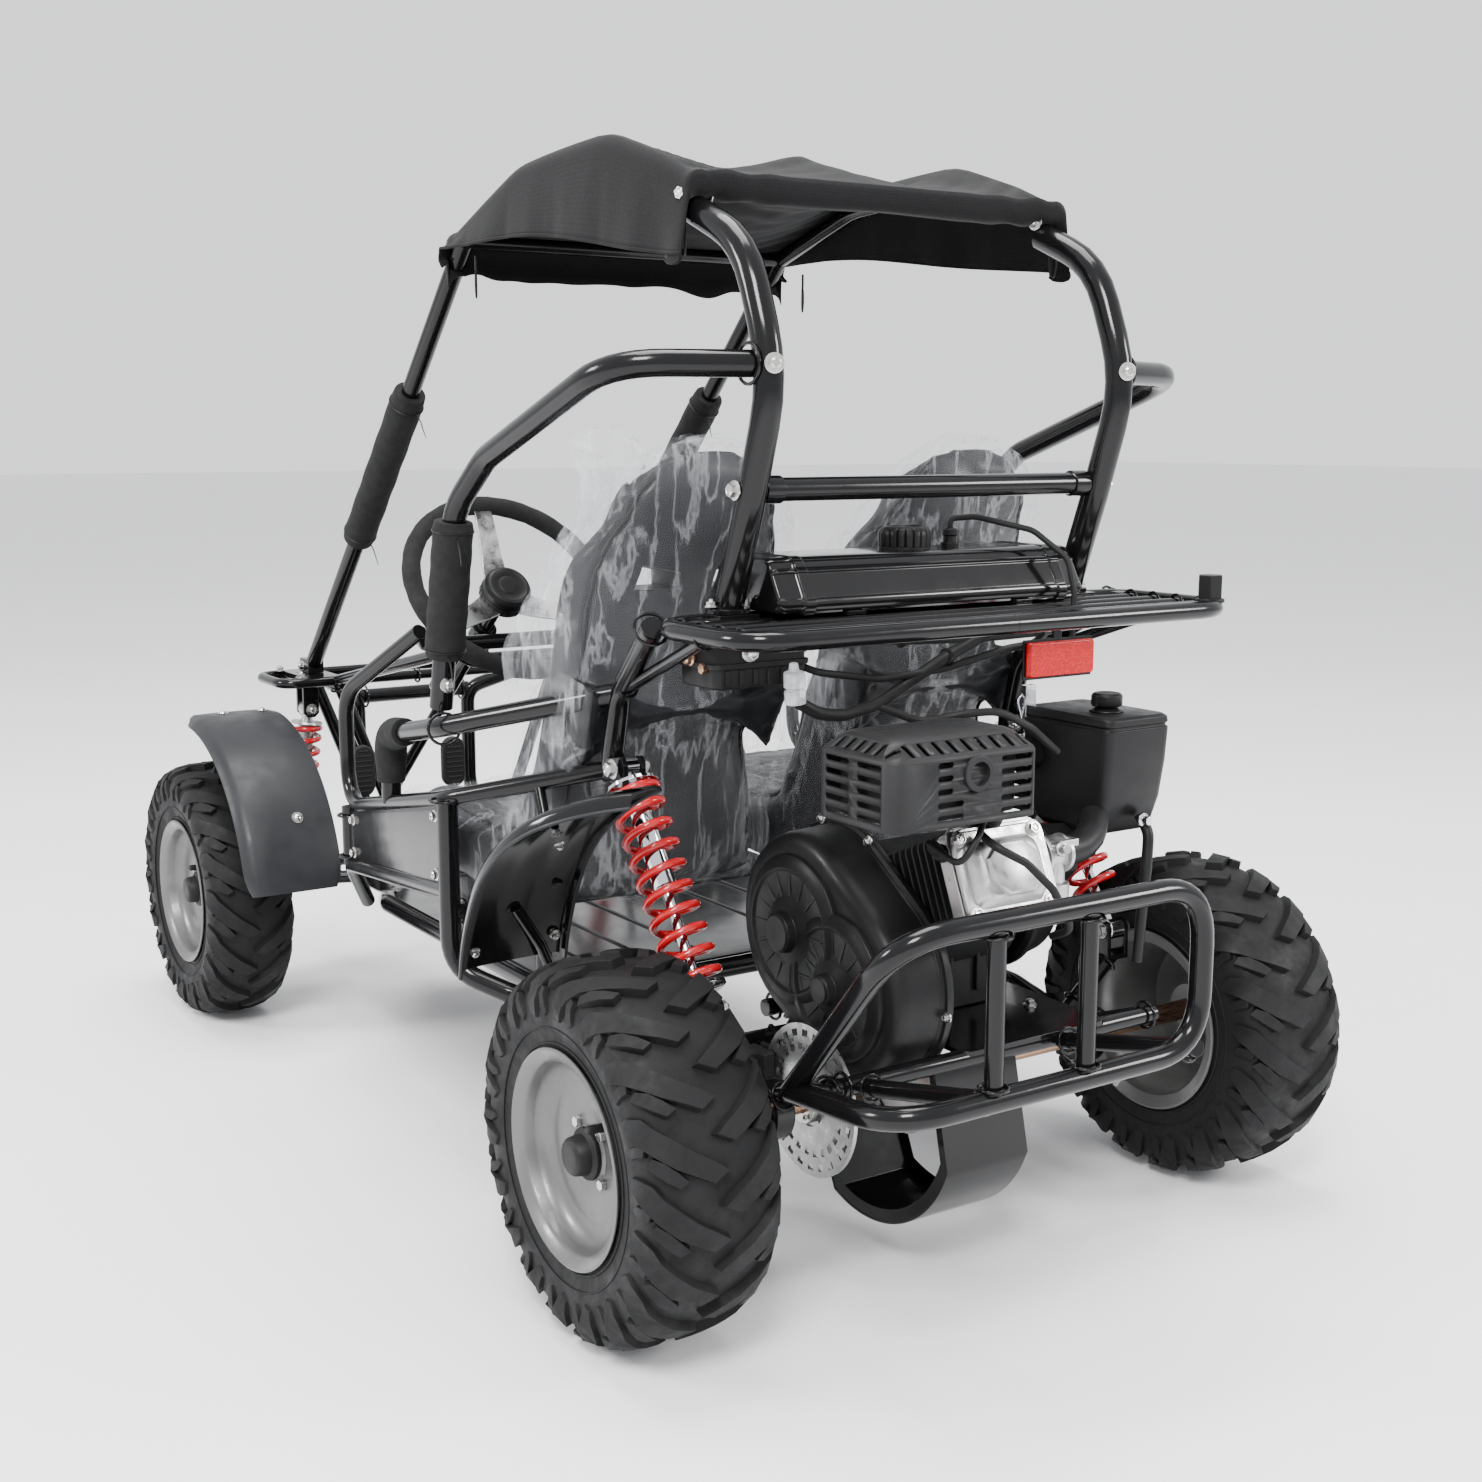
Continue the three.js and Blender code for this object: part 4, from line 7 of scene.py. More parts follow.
import bmesh
import bpy
from mathutils import Vector, noise
from mathutils.bvhtree import BVHTree
from mathutils.kdtree import KDTree
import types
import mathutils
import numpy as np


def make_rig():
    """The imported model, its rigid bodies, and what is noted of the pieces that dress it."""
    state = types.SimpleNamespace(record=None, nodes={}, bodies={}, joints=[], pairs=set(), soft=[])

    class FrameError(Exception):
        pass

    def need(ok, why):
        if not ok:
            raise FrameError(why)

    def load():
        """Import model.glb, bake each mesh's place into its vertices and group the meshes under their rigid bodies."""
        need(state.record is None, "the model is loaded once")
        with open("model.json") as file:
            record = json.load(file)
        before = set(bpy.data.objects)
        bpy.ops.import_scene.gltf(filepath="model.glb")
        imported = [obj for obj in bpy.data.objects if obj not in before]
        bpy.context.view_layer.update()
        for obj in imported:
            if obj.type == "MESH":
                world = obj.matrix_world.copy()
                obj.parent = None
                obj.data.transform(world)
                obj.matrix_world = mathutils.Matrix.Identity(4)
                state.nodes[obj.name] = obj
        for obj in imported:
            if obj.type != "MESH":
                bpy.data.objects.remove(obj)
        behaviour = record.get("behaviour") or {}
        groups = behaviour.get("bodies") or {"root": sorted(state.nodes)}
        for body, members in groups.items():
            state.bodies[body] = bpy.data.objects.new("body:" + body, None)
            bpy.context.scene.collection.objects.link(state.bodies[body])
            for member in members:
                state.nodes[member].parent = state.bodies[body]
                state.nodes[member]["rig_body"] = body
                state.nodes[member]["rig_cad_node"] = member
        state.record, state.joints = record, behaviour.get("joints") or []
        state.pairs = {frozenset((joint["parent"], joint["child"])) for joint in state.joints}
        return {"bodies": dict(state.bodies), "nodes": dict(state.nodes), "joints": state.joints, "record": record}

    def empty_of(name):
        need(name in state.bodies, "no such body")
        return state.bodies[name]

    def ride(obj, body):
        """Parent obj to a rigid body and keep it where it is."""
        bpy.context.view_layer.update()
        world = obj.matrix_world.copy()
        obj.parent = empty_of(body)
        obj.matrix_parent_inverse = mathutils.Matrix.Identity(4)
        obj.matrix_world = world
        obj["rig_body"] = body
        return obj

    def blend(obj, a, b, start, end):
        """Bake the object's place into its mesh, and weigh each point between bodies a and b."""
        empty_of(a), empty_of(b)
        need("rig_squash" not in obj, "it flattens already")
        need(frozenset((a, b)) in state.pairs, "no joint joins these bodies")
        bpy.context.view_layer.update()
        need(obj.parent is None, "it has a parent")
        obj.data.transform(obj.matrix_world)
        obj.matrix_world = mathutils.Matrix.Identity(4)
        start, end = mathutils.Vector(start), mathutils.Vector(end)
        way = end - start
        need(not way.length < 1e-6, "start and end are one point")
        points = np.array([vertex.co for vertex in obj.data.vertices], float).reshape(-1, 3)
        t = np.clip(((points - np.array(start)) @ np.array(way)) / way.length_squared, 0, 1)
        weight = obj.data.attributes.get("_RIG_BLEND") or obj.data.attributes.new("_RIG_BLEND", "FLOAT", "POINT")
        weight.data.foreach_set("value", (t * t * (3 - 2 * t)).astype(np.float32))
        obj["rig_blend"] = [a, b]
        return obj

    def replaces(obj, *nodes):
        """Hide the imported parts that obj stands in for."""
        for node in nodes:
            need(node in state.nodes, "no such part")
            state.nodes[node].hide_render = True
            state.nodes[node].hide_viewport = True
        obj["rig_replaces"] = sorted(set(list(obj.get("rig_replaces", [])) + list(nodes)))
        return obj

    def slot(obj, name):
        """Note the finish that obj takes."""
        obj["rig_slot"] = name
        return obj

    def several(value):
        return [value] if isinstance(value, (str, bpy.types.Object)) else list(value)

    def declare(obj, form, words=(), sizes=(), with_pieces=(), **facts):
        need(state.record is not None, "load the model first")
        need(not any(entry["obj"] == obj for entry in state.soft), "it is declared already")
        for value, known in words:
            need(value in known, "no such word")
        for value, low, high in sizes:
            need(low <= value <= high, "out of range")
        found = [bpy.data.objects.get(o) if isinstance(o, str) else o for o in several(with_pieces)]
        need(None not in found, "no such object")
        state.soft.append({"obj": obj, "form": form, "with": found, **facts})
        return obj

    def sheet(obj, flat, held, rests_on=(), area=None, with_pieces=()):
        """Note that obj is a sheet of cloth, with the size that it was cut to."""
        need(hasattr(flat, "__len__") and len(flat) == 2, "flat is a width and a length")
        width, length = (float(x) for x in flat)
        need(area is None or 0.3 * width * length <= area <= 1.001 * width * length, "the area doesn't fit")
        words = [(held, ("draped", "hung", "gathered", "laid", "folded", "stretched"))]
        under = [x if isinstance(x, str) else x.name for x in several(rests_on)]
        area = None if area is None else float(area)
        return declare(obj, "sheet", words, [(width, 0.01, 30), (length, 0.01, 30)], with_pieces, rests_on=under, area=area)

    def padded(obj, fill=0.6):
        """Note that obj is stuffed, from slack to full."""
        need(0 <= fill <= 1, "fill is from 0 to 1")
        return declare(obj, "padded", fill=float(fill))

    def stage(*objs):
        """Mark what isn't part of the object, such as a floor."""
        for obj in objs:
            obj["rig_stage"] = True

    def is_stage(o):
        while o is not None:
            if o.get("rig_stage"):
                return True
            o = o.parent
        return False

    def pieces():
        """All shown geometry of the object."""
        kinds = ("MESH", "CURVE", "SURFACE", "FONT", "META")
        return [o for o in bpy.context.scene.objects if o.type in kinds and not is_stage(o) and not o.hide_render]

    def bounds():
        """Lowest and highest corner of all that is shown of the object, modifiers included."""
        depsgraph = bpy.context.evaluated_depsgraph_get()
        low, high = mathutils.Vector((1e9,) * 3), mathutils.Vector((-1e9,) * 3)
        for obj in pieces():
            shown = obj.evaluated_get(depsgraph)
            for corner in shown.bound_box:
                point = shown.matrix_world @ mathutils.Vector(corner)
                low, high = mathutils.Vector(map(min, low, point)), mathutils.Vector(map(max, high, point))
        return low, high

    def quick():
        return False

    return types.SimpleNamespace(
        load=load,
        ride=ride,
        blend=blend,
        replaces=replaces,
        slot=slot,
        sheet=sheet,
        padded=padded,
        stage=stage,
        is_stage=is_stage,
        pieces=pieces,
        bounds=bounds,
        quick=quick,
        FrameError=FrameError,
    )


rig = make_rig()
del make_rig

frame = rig.load()
CAD_BOX = [list(corner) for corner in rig.bounds()]

bl_info = {
    "name": "Off road go kart",
    "version": (1, 0, 0),
    "blender": (4, 5, 0),
    "location": "View3D > Sidebar > Kart",
    "description": "Builds a two-seat go kart around its packed frame",
    "category": "Object",
}

# Lengths are millimetres, laid out from the ground below the rear axle, +Y to the rear.
SHIFT = 588.25
FRONT_AXLE = (-1313.5, 205.0)
REAR_AXLE = (0.0, 203.0)
FRONT_SHOCK_Y = -1313
SIDES = (("left", 1), ("right", -1))
X, Y, Z = (1, 0, 0), (0, 1, 0), (0, 0, 1)
ROUND = 20  # faces round a frame tube

# Frame tubes
HOOP, RAIL, LIGHT, SLAT = 16.0, 12.7, 10.5, 7.0
FLOOR_H, TOWER_H, RACK_H = 248.0, 535.0, 733.0


def lay(p):
    """A layout point in millimetres as a point of the part in metres."""
    return Vector((p[0], p[1] + SHIFT, p[2])) / 1000


def mix(a, b, share):
    return a + (b - a) * share


def between(p, q, share):
    return tuple(mix(a, b, share) for a, b in zip(p, q))


def turns(count):
    """Angles spaced evenly round a circle."""
    return [2 * pi * k / count for k in range(count)]


def round_x(centre, radius, a):
    """A point at an angle round a line along X."""
    x, y, z = centre
    return (x, y + radius * cos(a), z + radius * sin(a))


def curved(rows, t):
    """A smooth row between rows of numbers, with t counted in rows."""
    last = len(rows) - 1
    i = max(0, min(int(t), last - 1))
    u = t - i
    near = (rows[max(i - 1, 0)], rows[i], rows[i + 1], rows[min(i + 2, last)])
    return [0.5 * (2 * b + (c - a) * u + (2 * a - 5 * b + 4 * c - d) * u ** 2
                   + (3 * b - a - 3 * c + d) * u ** 3) for a, b, c, d in zip(*near)]


def ripple(x, y, z, scale, seed=0.0):
    """Smooth noise from -1 to 1 at a point in millimetres."""
    return noise.noise(Vector((x / scale + seed, y / scale - seed, z / scale)))


def apply_modifiers(made):
    """Makes a piece's modifiers part of its mesh."""
    graph = bpy.context.evaluated_depsgraph_get()
    shaped = bpy.data.meshes.new_from_object(made.evaluated_get(graph))
    made.modifiers.clear()
    made.data = shaped


def cut_away(made, cutter):
    """Cuts a skin's shape out of a piece."""
    tool = cutter.piece("cutter", "chassis", "satin")
    cut = made.modifiers.new("Slots", "BOOLEAN")
    cut.operation = "DIFFERENCE"
    cut.object = tool
    cut.solver = "EXACT"
    apply_modifiers(made)
    bpy.data.objects.remove(tool)


# Routes and skins
def bent(points, bend, steps=7):
    """The centre line of a tube: straight runs joined by round bends."""
    corners = [Vector(p) for p in points]
    line = [corners[0]]
    for before, here, after in zip(corners, corners[1:], corners[2:]):
        to_before, to_after = (before - here), (after - here)
        turn = pi - to_before.angle(to_after)
        if turn < 0.02:
            line.append(here)
            continue
        reach = min(bend * tan(turn / 2), to_before.length * 0.49, to_after.length * 0.49)
        start = here + to_before.normalized() * reach
        end = here + to_after.normalized() * reach
        count = max(2, int(steps * turn / 1.2))
        for i in range(count + 1):
            t = i / count
            line.append(start * (1 - t) ** 2 + here * 2 * t * (1 - t) + end * t ** 2)
    line.append(corners[-1])
    return line


class Skin:
    """Faces gathered for one piece, in layout millimetres."""

    def __init__(self):
        self.mesh = bmesh.new()

    def ring(self, points):
        return [self.mesh.verts.new(lay(p)) for p in points]

    def face(self, corners):
        return self.mesh.faces.new(corners)

    def band(self, low, high, closed=True):
        count = len(low)
        for i in range(count if closed else count - 1):
            j = (i + 1) % count
            self.face((low[i], low[j], high[j], high[i]))

    def loft(self, rings, closed=True, caps=True):
        """Skins a run of rings of points, with its two ends shut."""
        made = [self.ring(r) for r in rings]
        for low, high in zip(made, made[1:]):
            self.band(low, high, closed)
        if caps:
            self.face(list(reversed(made[0])))
            self.face(made[-1])
        return made

    def sweep(self, line, radii, sides=ROUND, caps=True, closed=False):
        """A round section carried along a line without twist."""
        line = [Vector(p) for p in line]
        if not hasattr(radii, "__len__"):
            radii = [radii] * len(line)
        ends = len(line) - 1
        tangents = []
        for i in range(len(line)):
            before = line[(i - 1) % len(line)] if closed else line[max(i - 1, 0)]
            after = line[(i + 1) % len(line)] if closed else line[min(i + 1, ends)]
            tangents.append((after - before).normalized())
        side = tangents[0].orthogonal().normalized()
        rings = []
        for i, (point, along) in enumerate(zip(line, tangents)):
            if i:
                side = tangents[i - 1].rotation_difference(along) @ side
            up = along.cross(side)
            rings.append([
                point + (side * cos(a) + up * sin(a)) * radii[i]
                for a in turns(sides)
            ])
        made = [self.ring(r) for r in rings]
        for low, high in zip(made, made[1:]):
            self.band(low, high)
        if closed:
            self.band(made[-1], made[0])
        elif caps:
            self.face(list(reversed(made[0])))
            self.face(made[-1])

    def tube(self, points, radius, bend=55.0, sides=ROUND):
        self.sweep(bent(points, bend), radius, sides)

    def turned(self, foot, axis, profile, segments=32, start=None):
        """A profile of (distance along, radius) pairs turned about an axis from foot."""
        axis = Vector(axis).normalized()
        side = (Vector(start) if start else axis.orthogonal()).normalized()
        up = axis.cross(side)
        foot = Vector(foot)
        rings = [
            [foot + axis * along + (side * cos(a) + up * sin(a)) * max(r, 0.01)
             for a in turns(segments)]
            for along, r in profile
        ]
        self.loft(rings)

    def wheel(self, centre, section, count):
        """A closed section of (x, radius) pairs turned round a wheel's own line."""
        cx, cy, cz = centre
        rings = [self.ring([(cx + x, cy + r * sin(a), cz - r * cos(a)) for x, r in section])
                 for a in turns(count)]
        for low, high in zip(rings, rings[1:] + rings[:1]):
            self.band(low, high)

    def prism(self, outline, depth):
        """A flat outline of points carried along a vector."""
        step = Vector(depth)
        self.loft([[Vector(p) for p in outline], [Vector(p) + step for p in outline]])

    def block(self, low, high, s=1):
        """A box between two corners, mirrored where s is -1."""
        (x0, y0, z0), (x1, y1, z1) = low, high
        x0, x1 = sorted((s * x0, s * x1))
        self.prism([(x0, y0, z0), (x1, y0, z0), (x1, y1, z0), (x0, y1, z0)], (0, 0, z1 - z0))

    def piece(self, name, body, finish, bevel=0.0, sharp=35.0, node=None, slot=None):
        """Turns the gathered faces into a named object that rides on a body."""
        bmesh.ops.recalc_face_normals(self.mesh, faces=self.mesh.faces)
        data = bpy.data.meshes.new(name)
        self.mesh.to_mesh(data)
        self.mesh.free()
        made = bpy.data.objects.new(name, data)
        bpy.context.scene.collection.objects.link(made)
        data.materials.append(FINISH[finish])
        for polygon in data.polygons:
            polygon.use_smooth = True
        if bevel:
            edge = made.modifiers.new("Edges", "BEVEL")
            edge.width = bevel / 1000
            edge.segments = 2
            edge.limit_method = "ANGLE"
            edge.angle_limit = radians(sharp)
            edge.harden_normals = True
        data.set_sharp_from_angle(angle=radians(sharp))
        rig.ride(made, body)
        if node:
            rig.replaces(made, node)
            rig.slot(made, slot or SLOTS[finish])
        return made


# Finishes
class Paint:
    """Nodes of one procedural finish, wired step by step."""

    def __init__(self, name):
        self.made = bpy.data.materials.new(name)
        self.made.use_nodes = True
        self.nodes = self.made.node_tree.nodes
        self.links = self.made.node_tree.links
        self.shader = self.nodes["Principled BSDF"]
        self.place = self.add("ShaderNodeTexCoord").outputs["Object"]
        self.normal = None

    def add(self, kind, **values):
        node = self.nodes.new(kind)
        for key, value in values.items():
            setattr(node, key, value)
        return node

    def wire(self, source, target):
        self.links.new(source, target)

    def noise(self, scale, detail=3.0, rough=0.55, stretch=None, place=None):
        node = self.add("ShaderNodeTexNoise")
        node.inputs["Scale"].default_value = scale
        node.inputs["Detail"].default_value = detail
        node.inputs["Roughness"].default_value = rough
        self.wire(self.stretched(stretch, place), node.inputs["Vector"])
        return node.outputs["Fac"]

    def stretched(self, stretch, place=None):
        place = place or self.place
        if not stretch:
            return place
        node = self.add("ShaderNodeMapping")
        node.inputs["Scale"].default_value = stretch
        self.wire(place, node.inputs["Vector"])
        return node.outputs["Vector"]

    def cells(self, scale, feature="F1", stretch=None, place=None):
        node = self.add("ShaderNodeTexVoronoi", feature=feature)
        node.inputs["Scale"].default_value = scale
        self.wire(self.stretched(stretch, place), node.inputs["Vector"])
        return node.outputs["Distance"]

    def waves(self, scale, direction, place=None, distortion=0.0):
        node = self.add("ShaderNodeTexWave", bands_direction=direction)
        node.inputs["Scale"].default_value = scale
        node.inputs["Distortion"].default_value = distortion
        self.wire(place or self.place, node.inputs["Vector"])
        return node.outputs["Fac"]

    def ranged(self, value, low, high, start=0.3, end=0.7):
        node = self.add("ShaderNodeMapRange")
        for key, number in (("From Min", start), ("From Max", end), ("To Min", low), ("To Max", high)):
            node.inputs[key].default_value = number
        self.wire(value, node.inputs["Value"])
        return node.outputs["Result"]

    def maths(self, operation, a, b):
        node = self.add("ShaderNodeMath", operation=operation)
        for socket, value in zip(node.inputs, (a, b)):
            if isinstance(value, (int, float)):
                socket.default_value = value
            else:
                self.wire(value, socket)
        return node.outputs[0]

    def blended(self, share, dark, light):
        node = self.add("ShaderNodeMix", data_type="RGBA")
        node.inputs[6].default_value = (*dark, 1)
        node.inputs[7].default_value = (*light, 1)
        self.wire(share, node.inputs[0])
        return node.outputs[2]

    def coloured(self, share, dark, light):
        self.wire(self.blended(share, dark, light), self.shader.inputs["Base Color"])

    def roughened(self, share, low, high):
        self.wire(self.ranged(share, low, high), self.shader.inputs["Roughness"])

    def bumped(self, height, strength, depth):
        node = self.add("ShaderNodeBump")
        node.inputs["Strength"].default_value = strength
        node.inputs["Distance"].default_value = depth / 1000
        self.wire(height, node.inputs["Height"])
        if self.normal:
            self.wire(self.normal, node.inputs["Normal"])
        self.normal = node.outputs["Normal"]
        self.wire(self.normal, self.shader.inputs["Normal"])

    def fixed(self, **values):
        for key, value in values.items():
            self.shader.inputs[key.replace("_", " ")].default_value = value
        return self.made


def tinted(colour, share):
    return tuple(min(1.0, c * share) for c in colour)


def painted(name, colour, rough=0.2, coat=0.6, metal=0.0, grain=700, depth=0.02, spread=0.35, shine=0.2):
    """Powder coat or lacquer with a fine orange-peel skin and faint handling marks."""
    p = Paint(name)
    p.coloured(p.noise(9, 4), tinted(colour, 1 - spread), tinted(colour, 1 + spread))
    p.roughened(p.noise(26, 5, 0.7), rough * 0.75, rough * 1.45)
    p.bumped(p.noise(grain, 2), 0.35, depth)
    return p.fixed(Metallic=metal, Coat_Weight=coat, Coat_Roughness=0.07, Specular_IOR_Level=shine)


def moulded(name, colour, rough=0.5, grain=1500, depth=0.06, coat=0.0):
    """Moulded plastic with a fine pebbled skin."""
    p = Paint(name)
    p.coloured(p.noise(14, 4), tinted(colour, 0.75), tinted(colour, 1.3))
    p.roughened(p.noise(40, 4), rough * 0.8, min(1.0, rough * 1.25))
    p.bumped(p.cells(grain), 0.4, depth)
    p.bumped(p.noise(7, 2), 0.2, 0.5)
    return p.fixed(Coat_Weight=coat, Coat_Roughness=0.12, Specular_IOR_Level=0.2)


def metal(name, colour, rough=0.25, stretch=None, grain=400, depth=0.03, marks=0.5):
    """Bare or plated metal with drawn or cast texture."""
    p = Paint(name)
    p.coloured(p.noise(18, 5, 0.65), tinted(colour, 1 - 0.3 * marks), tinted(colour, 1 + 0.15 * marks))
    p.roughened(p.noise(60, 5, 0.7, stretch), rough * 0.65, rough * 1.6)
    p.bumped(p.noise(grain, 3, 0.6, stretch), 0.4, depth)
    return p.fixed(Metallic=1.0)


def woven(name, colour, thread=0.55, rough=0.9, sheen=0.06):
    """Plain woven cloth whose threads follow the piece's own layout map."""
    p = Paint(name)
    chart = p.add("ShaderNodeTexCoord").outputs["UV"]
    scale = 1000 / thread / 20
    weft = p.waves(scale, "X", chart, 0.15)
    warp = p.waves(scale, "Y", chart, 0.15)
    weave = p.maths("MAXIMUM", weft, warp)
    fuzz = p.noise(300, 4, 0.7)
    p.coloured(p.maths("MULTIPLY", weave, p.ranged(p.noise(6, 3), 0.55, 1.0)), tinted(colour, 0.45),
               tinted(colour, 1.2))
    p.roughened(fuzz, rough * 0.9, 1.0)
    p.bumped(weave, 0.5, 0.16)
    p.bumped(p.noise(35, 4, 0.6), 0.35, 1.2)
    return p.fixed(Sheen_Weight=sheen, Sheen_Roughness=0.45, Specular_IOR_Level=0.15)


def leathered(name, colour, rough=0.42):
    """Grained seat vinyl."""
    p = Paint(name)
    p.coloured(p.noise(11, 4), tinted(colour, 0.7), tinted(colour, 1.4))
    p.roughened(p.noise(50, 4), rough * 0.75, rough * 1.4)
    p.bumped(p.cells(1000, "DISTANCE_TO_EDGE"), 0.3, 0.06)
    p.bumped(p.noise(16, 3, 0.5), 0.4, 2.2)
    return p.fixed(Coat_Weight=0.05, Coat_Roughness=0.3, Specular_IOR_Level=0.25)


def clear_film(name):
    """Thin clear wrapping, whiter and less clear in thin streaks along its creases: painted highlights of the light
    caught in the folds.
    """
    p = Paint(name)
    creases = p.noise(16, 6, 0.6, (1.3, 1.3, 0.22))
    ridge = p.maths("ABSOLUTE", p.maths("SUBTRACT", creases, 0.5), 0)
    p.coloured(p.noise(20, 3), (0.6, 0.62, 0.65), (0.85, 0.87, 0.9))
    # painted highlights: alpha rises near each crease line, so the creases show as whiter streaks
    p.wire(p.ranged(ridge, 0.24, 0.05, 0.0, 0.035), p.shader.inputs["Alpha"])
    p.roughened(p.noise(40, 3), 0.1, 0.24)
    p.bumped(creases, 0.8, 10.0)
    return p.fixed(Specular_IOR_Level=0.6)


def see_through(name):
    """Clear moulded plastic with a cloudy core."""
    p = Paint(name)
    p.coloured(p.noise(60, 3), (0.7, 0.72, 0.74), (0.9, 0.91, 0.92))
    p.wire(p.ranged(p.noise(90, 3), 0.35, 0.6), p.shader.inputs["Alpha"])
    p.bumped(p.noise(120, 3), 0.4, 0.4)
    return p.fixed(Roughness=0.1, Coat_Weight=0.6, Coat_Roughness=0.05)


def rubbered(name, colour, rough=0.68, grain=900):
    """Tyre or boot rubber with moulding scuffs."""
    p = Paint(name)
    p.coloured(p.noise(22, 5, 0.7), tinted(colour, 0.65), tinted(colour, 1.55))
    p.roughened(p.noise(34, 5, 0.7), rough * 0.72, min(1.0, rough * 1.25))
    p.bumped(p.noise(grain, 3), 0.5, 0.08)
    p.bumped(p.noise(55, 3), 0.25, 0.5)
    return p.fixed(Specular_IOR_Level=0.2)


def reflector_red(name, colour):
    """Clear red reflector with moulded prisms behind a glossy face."""
    p = Paint(name)
    prisms = p.cells(330)
    p.coloured(prisms, tinted(colour, 0.55), tinted(colour, 1.25))
    p.bumped(prisms, 0.5, 0.7)
    return p.fixed(Roughness=0.2, Coat_Weight=0.3, Coat_Roughness=0.03, Specular_IOR_Level=0.2)


def foamed(name, colour):
    """Closed-cell foam sleeve."""
    p = Paint(name)
    p.coloured(p.noise(30, 4), tinted(colour, 0.7), tinted(colour, 1.4))
    p.roughened(p.noise(80, 4), 0.82, 1.0)
    p.bumped(p.cells(1100), 0.6, 0.22)
    p.bumped(p.noise(24, 3), 0.4, 1.5)
    return p.fixed(Specular_IOR_Level=0.3)


# Small shared shapes
def bored(length, bore, radius, chamfer=0):
    """The turned profile of a sleeve with a bore through it."""
    corners = [(0, radius - chamfer), (chamfer, radius), (length - chamfer, radius),
               (length, radius - chamfer)]
    return [(0, bore)] + (corners if chamfer else corners[::2]) + [(length, bore), (0, bore)]


def weld(skin, point, axis, radius, bead=1.9):
    """A lumpy bead round the end of a tube."""
    axis = Vector(axis).normalized()
    side = axis.orthogonal()
    up = axis.cross(side)
    count = 26
    line = [
        Vector(point) + (side * cos(a) + up * sin(a)) * (radius + bead * 0.3)
        for a in turns(count)
    ]
    skin.sweep(line, [bead * (1.0 + 0.16 * (k % 2)) for k in range(count)], 6, closed=True)


def joined(skin, points, radius, bend=55.0, welds="both"):
    """A tube with weld beads where its ends meet others."""
    skin.tube(points, radius, bend)
    ends = [Vector(p) for p in points]
    if welds in ("both", "first"):
        run = ends[1] - ends[0]
        weld(skin, ends[0] + run.normalized() * RAIL, run, radius)
    if welds in ("both", "last"):
        run = ends[-2] - ends[-1]
        weld(skin, ends[-1] + run.normalized() * RAIL, run, radius)


def across(skin, y, z, half, radius):
    joined(skin, [(-half, y, z), (half, y, z)], radius)


def hexagon(skin, foot, axis, radius, height, sides=6):
    axis = Vector(axis).normalized()
    side = axis.orthogonal().normalized()
    up = axis.cross(side)
    outline = [
        Vector(foot) + (side * cos(a) + up * sin(a)) * radius
        for a in turns(sides)
    ]
    skin.prism(outline, axis * height)


def bolt(skin, point, axis, radius=5.0, stem=7.0, washer=True):
    """A hexagon head with washer; the stem shows past it."""
    axis = Vector(axis).normalized()
    foot = Vector(point)
    if washer:
        skin.turned(foot, axis, [(0, 0), (0, radius * 1.9), (1.2, radius * 1.9), (1.5, radius * 1.7),
                                 (1.5, 0)], 24)
    hexagon(skin, foot + axis * 1.4, axis, radius * 1.35, radius * 1.1)
    skin.turned(foot + axis * 1.4, axis,
                [(0, radius * 0.7), (radius * 1.1, radius * 1.05), (radius * 1.35, radius * 0.7),
                 (radius * 1.1 + stem * 0.4, radius * 0.62), (radius * 1.1 + stem * 0.45, 0)], 18)


def through_bolt(skin, point, axis, half, radius=5.0):
    """A bolt head on one face and a nut on the other."""
    axis = Vector(axis).normalized()
    bolt(skin, Vector(point) + axis * half, axis, radius, 2)
    bolt(skin, Vector(point) - axis * half, -axis, radius, 9)


def cable_tie(skin, point, axis, radius, tail, rng):
    """A thin strap round a sleeve with its uncut tail."""
    axis = Vector(axis).normalized()
    side = axis.orthogonal().normalized()
    up = axis.cross(side)
    count = 28
    line = [Vector(point) + (side * cos(a) + up * sin(a)) * (radius + 0.5)
            for a in turns(count)]
    skin.sweep(line, 1.1, 6, closed=True)
    out = Vector(tail).normalized()
    start = Vector(point) + out * radius
    line = [start + out * t * 26 + Vector((0, 0, -1)) * 20 * t * t + axis * rng.uniform(-1.5, 1.5) * t
            for t in (0, 0.25, 0.5, 0.75, 1.0)]
    skin.sweep(line, [1.2, 1.0, 0.9, 0.8, 0.5], 6)


def rounded(x0, x1, y0, y1, corner, steps=4):
    """A rectangle outline with round corners, as (u, v) pairs."""
    points = []
    for cx, cy, turn in ((x1 - corner, y1 - corner, 0), (x0 + corner, y1 - corner, 1),
                         (x0 + corner, y0 + corner, 2), (x1 - corner, y0 + corner, 3)):
        for i in range(steps + 1):
            a = (turn + i / steps) * pi / 2
            points.append((cx + corner * cos(a), cy + corner * sin(a)))
    return points


def box_rings(x0, x1, y0, y1, rows, corner, steps=4):
    """Level rings with round corners, one for each (height, inset) pair."""
    return [[(x, y, z) for x, y in rounded(x0 + d, x1 - d, y0 + d, y1 - d, corner, steps)] for z, d in rows]


def sided(points, s):
    """Points at one side of the kart, for s of 1 or -1."""
    return [(s * x, y, z) for x, y, z in points]


def mount_ear(skin, x0, x1, outline):
    """A plate in the side plane, from x0 to x1, with a (y, z) outline."""
    skin.prism([(x0, y, z) for y, z in outline], (x1 - x0, 0, 0))


def eye_outline(y, z, radius, foot, half=None):
    """A plate with a round end about (y, z) and a foot line at height foot."""
    half = half or radius
    up = 1 if foot < z else -1
    points = [(y - half, foot)]
    for i in range(9):
        a = pi * (1 - i / 8)
        points.append((y + radius * cos(a), z + up * radius * sin(a)))
    return points + [(y + half, foot)]


FINISH = {}
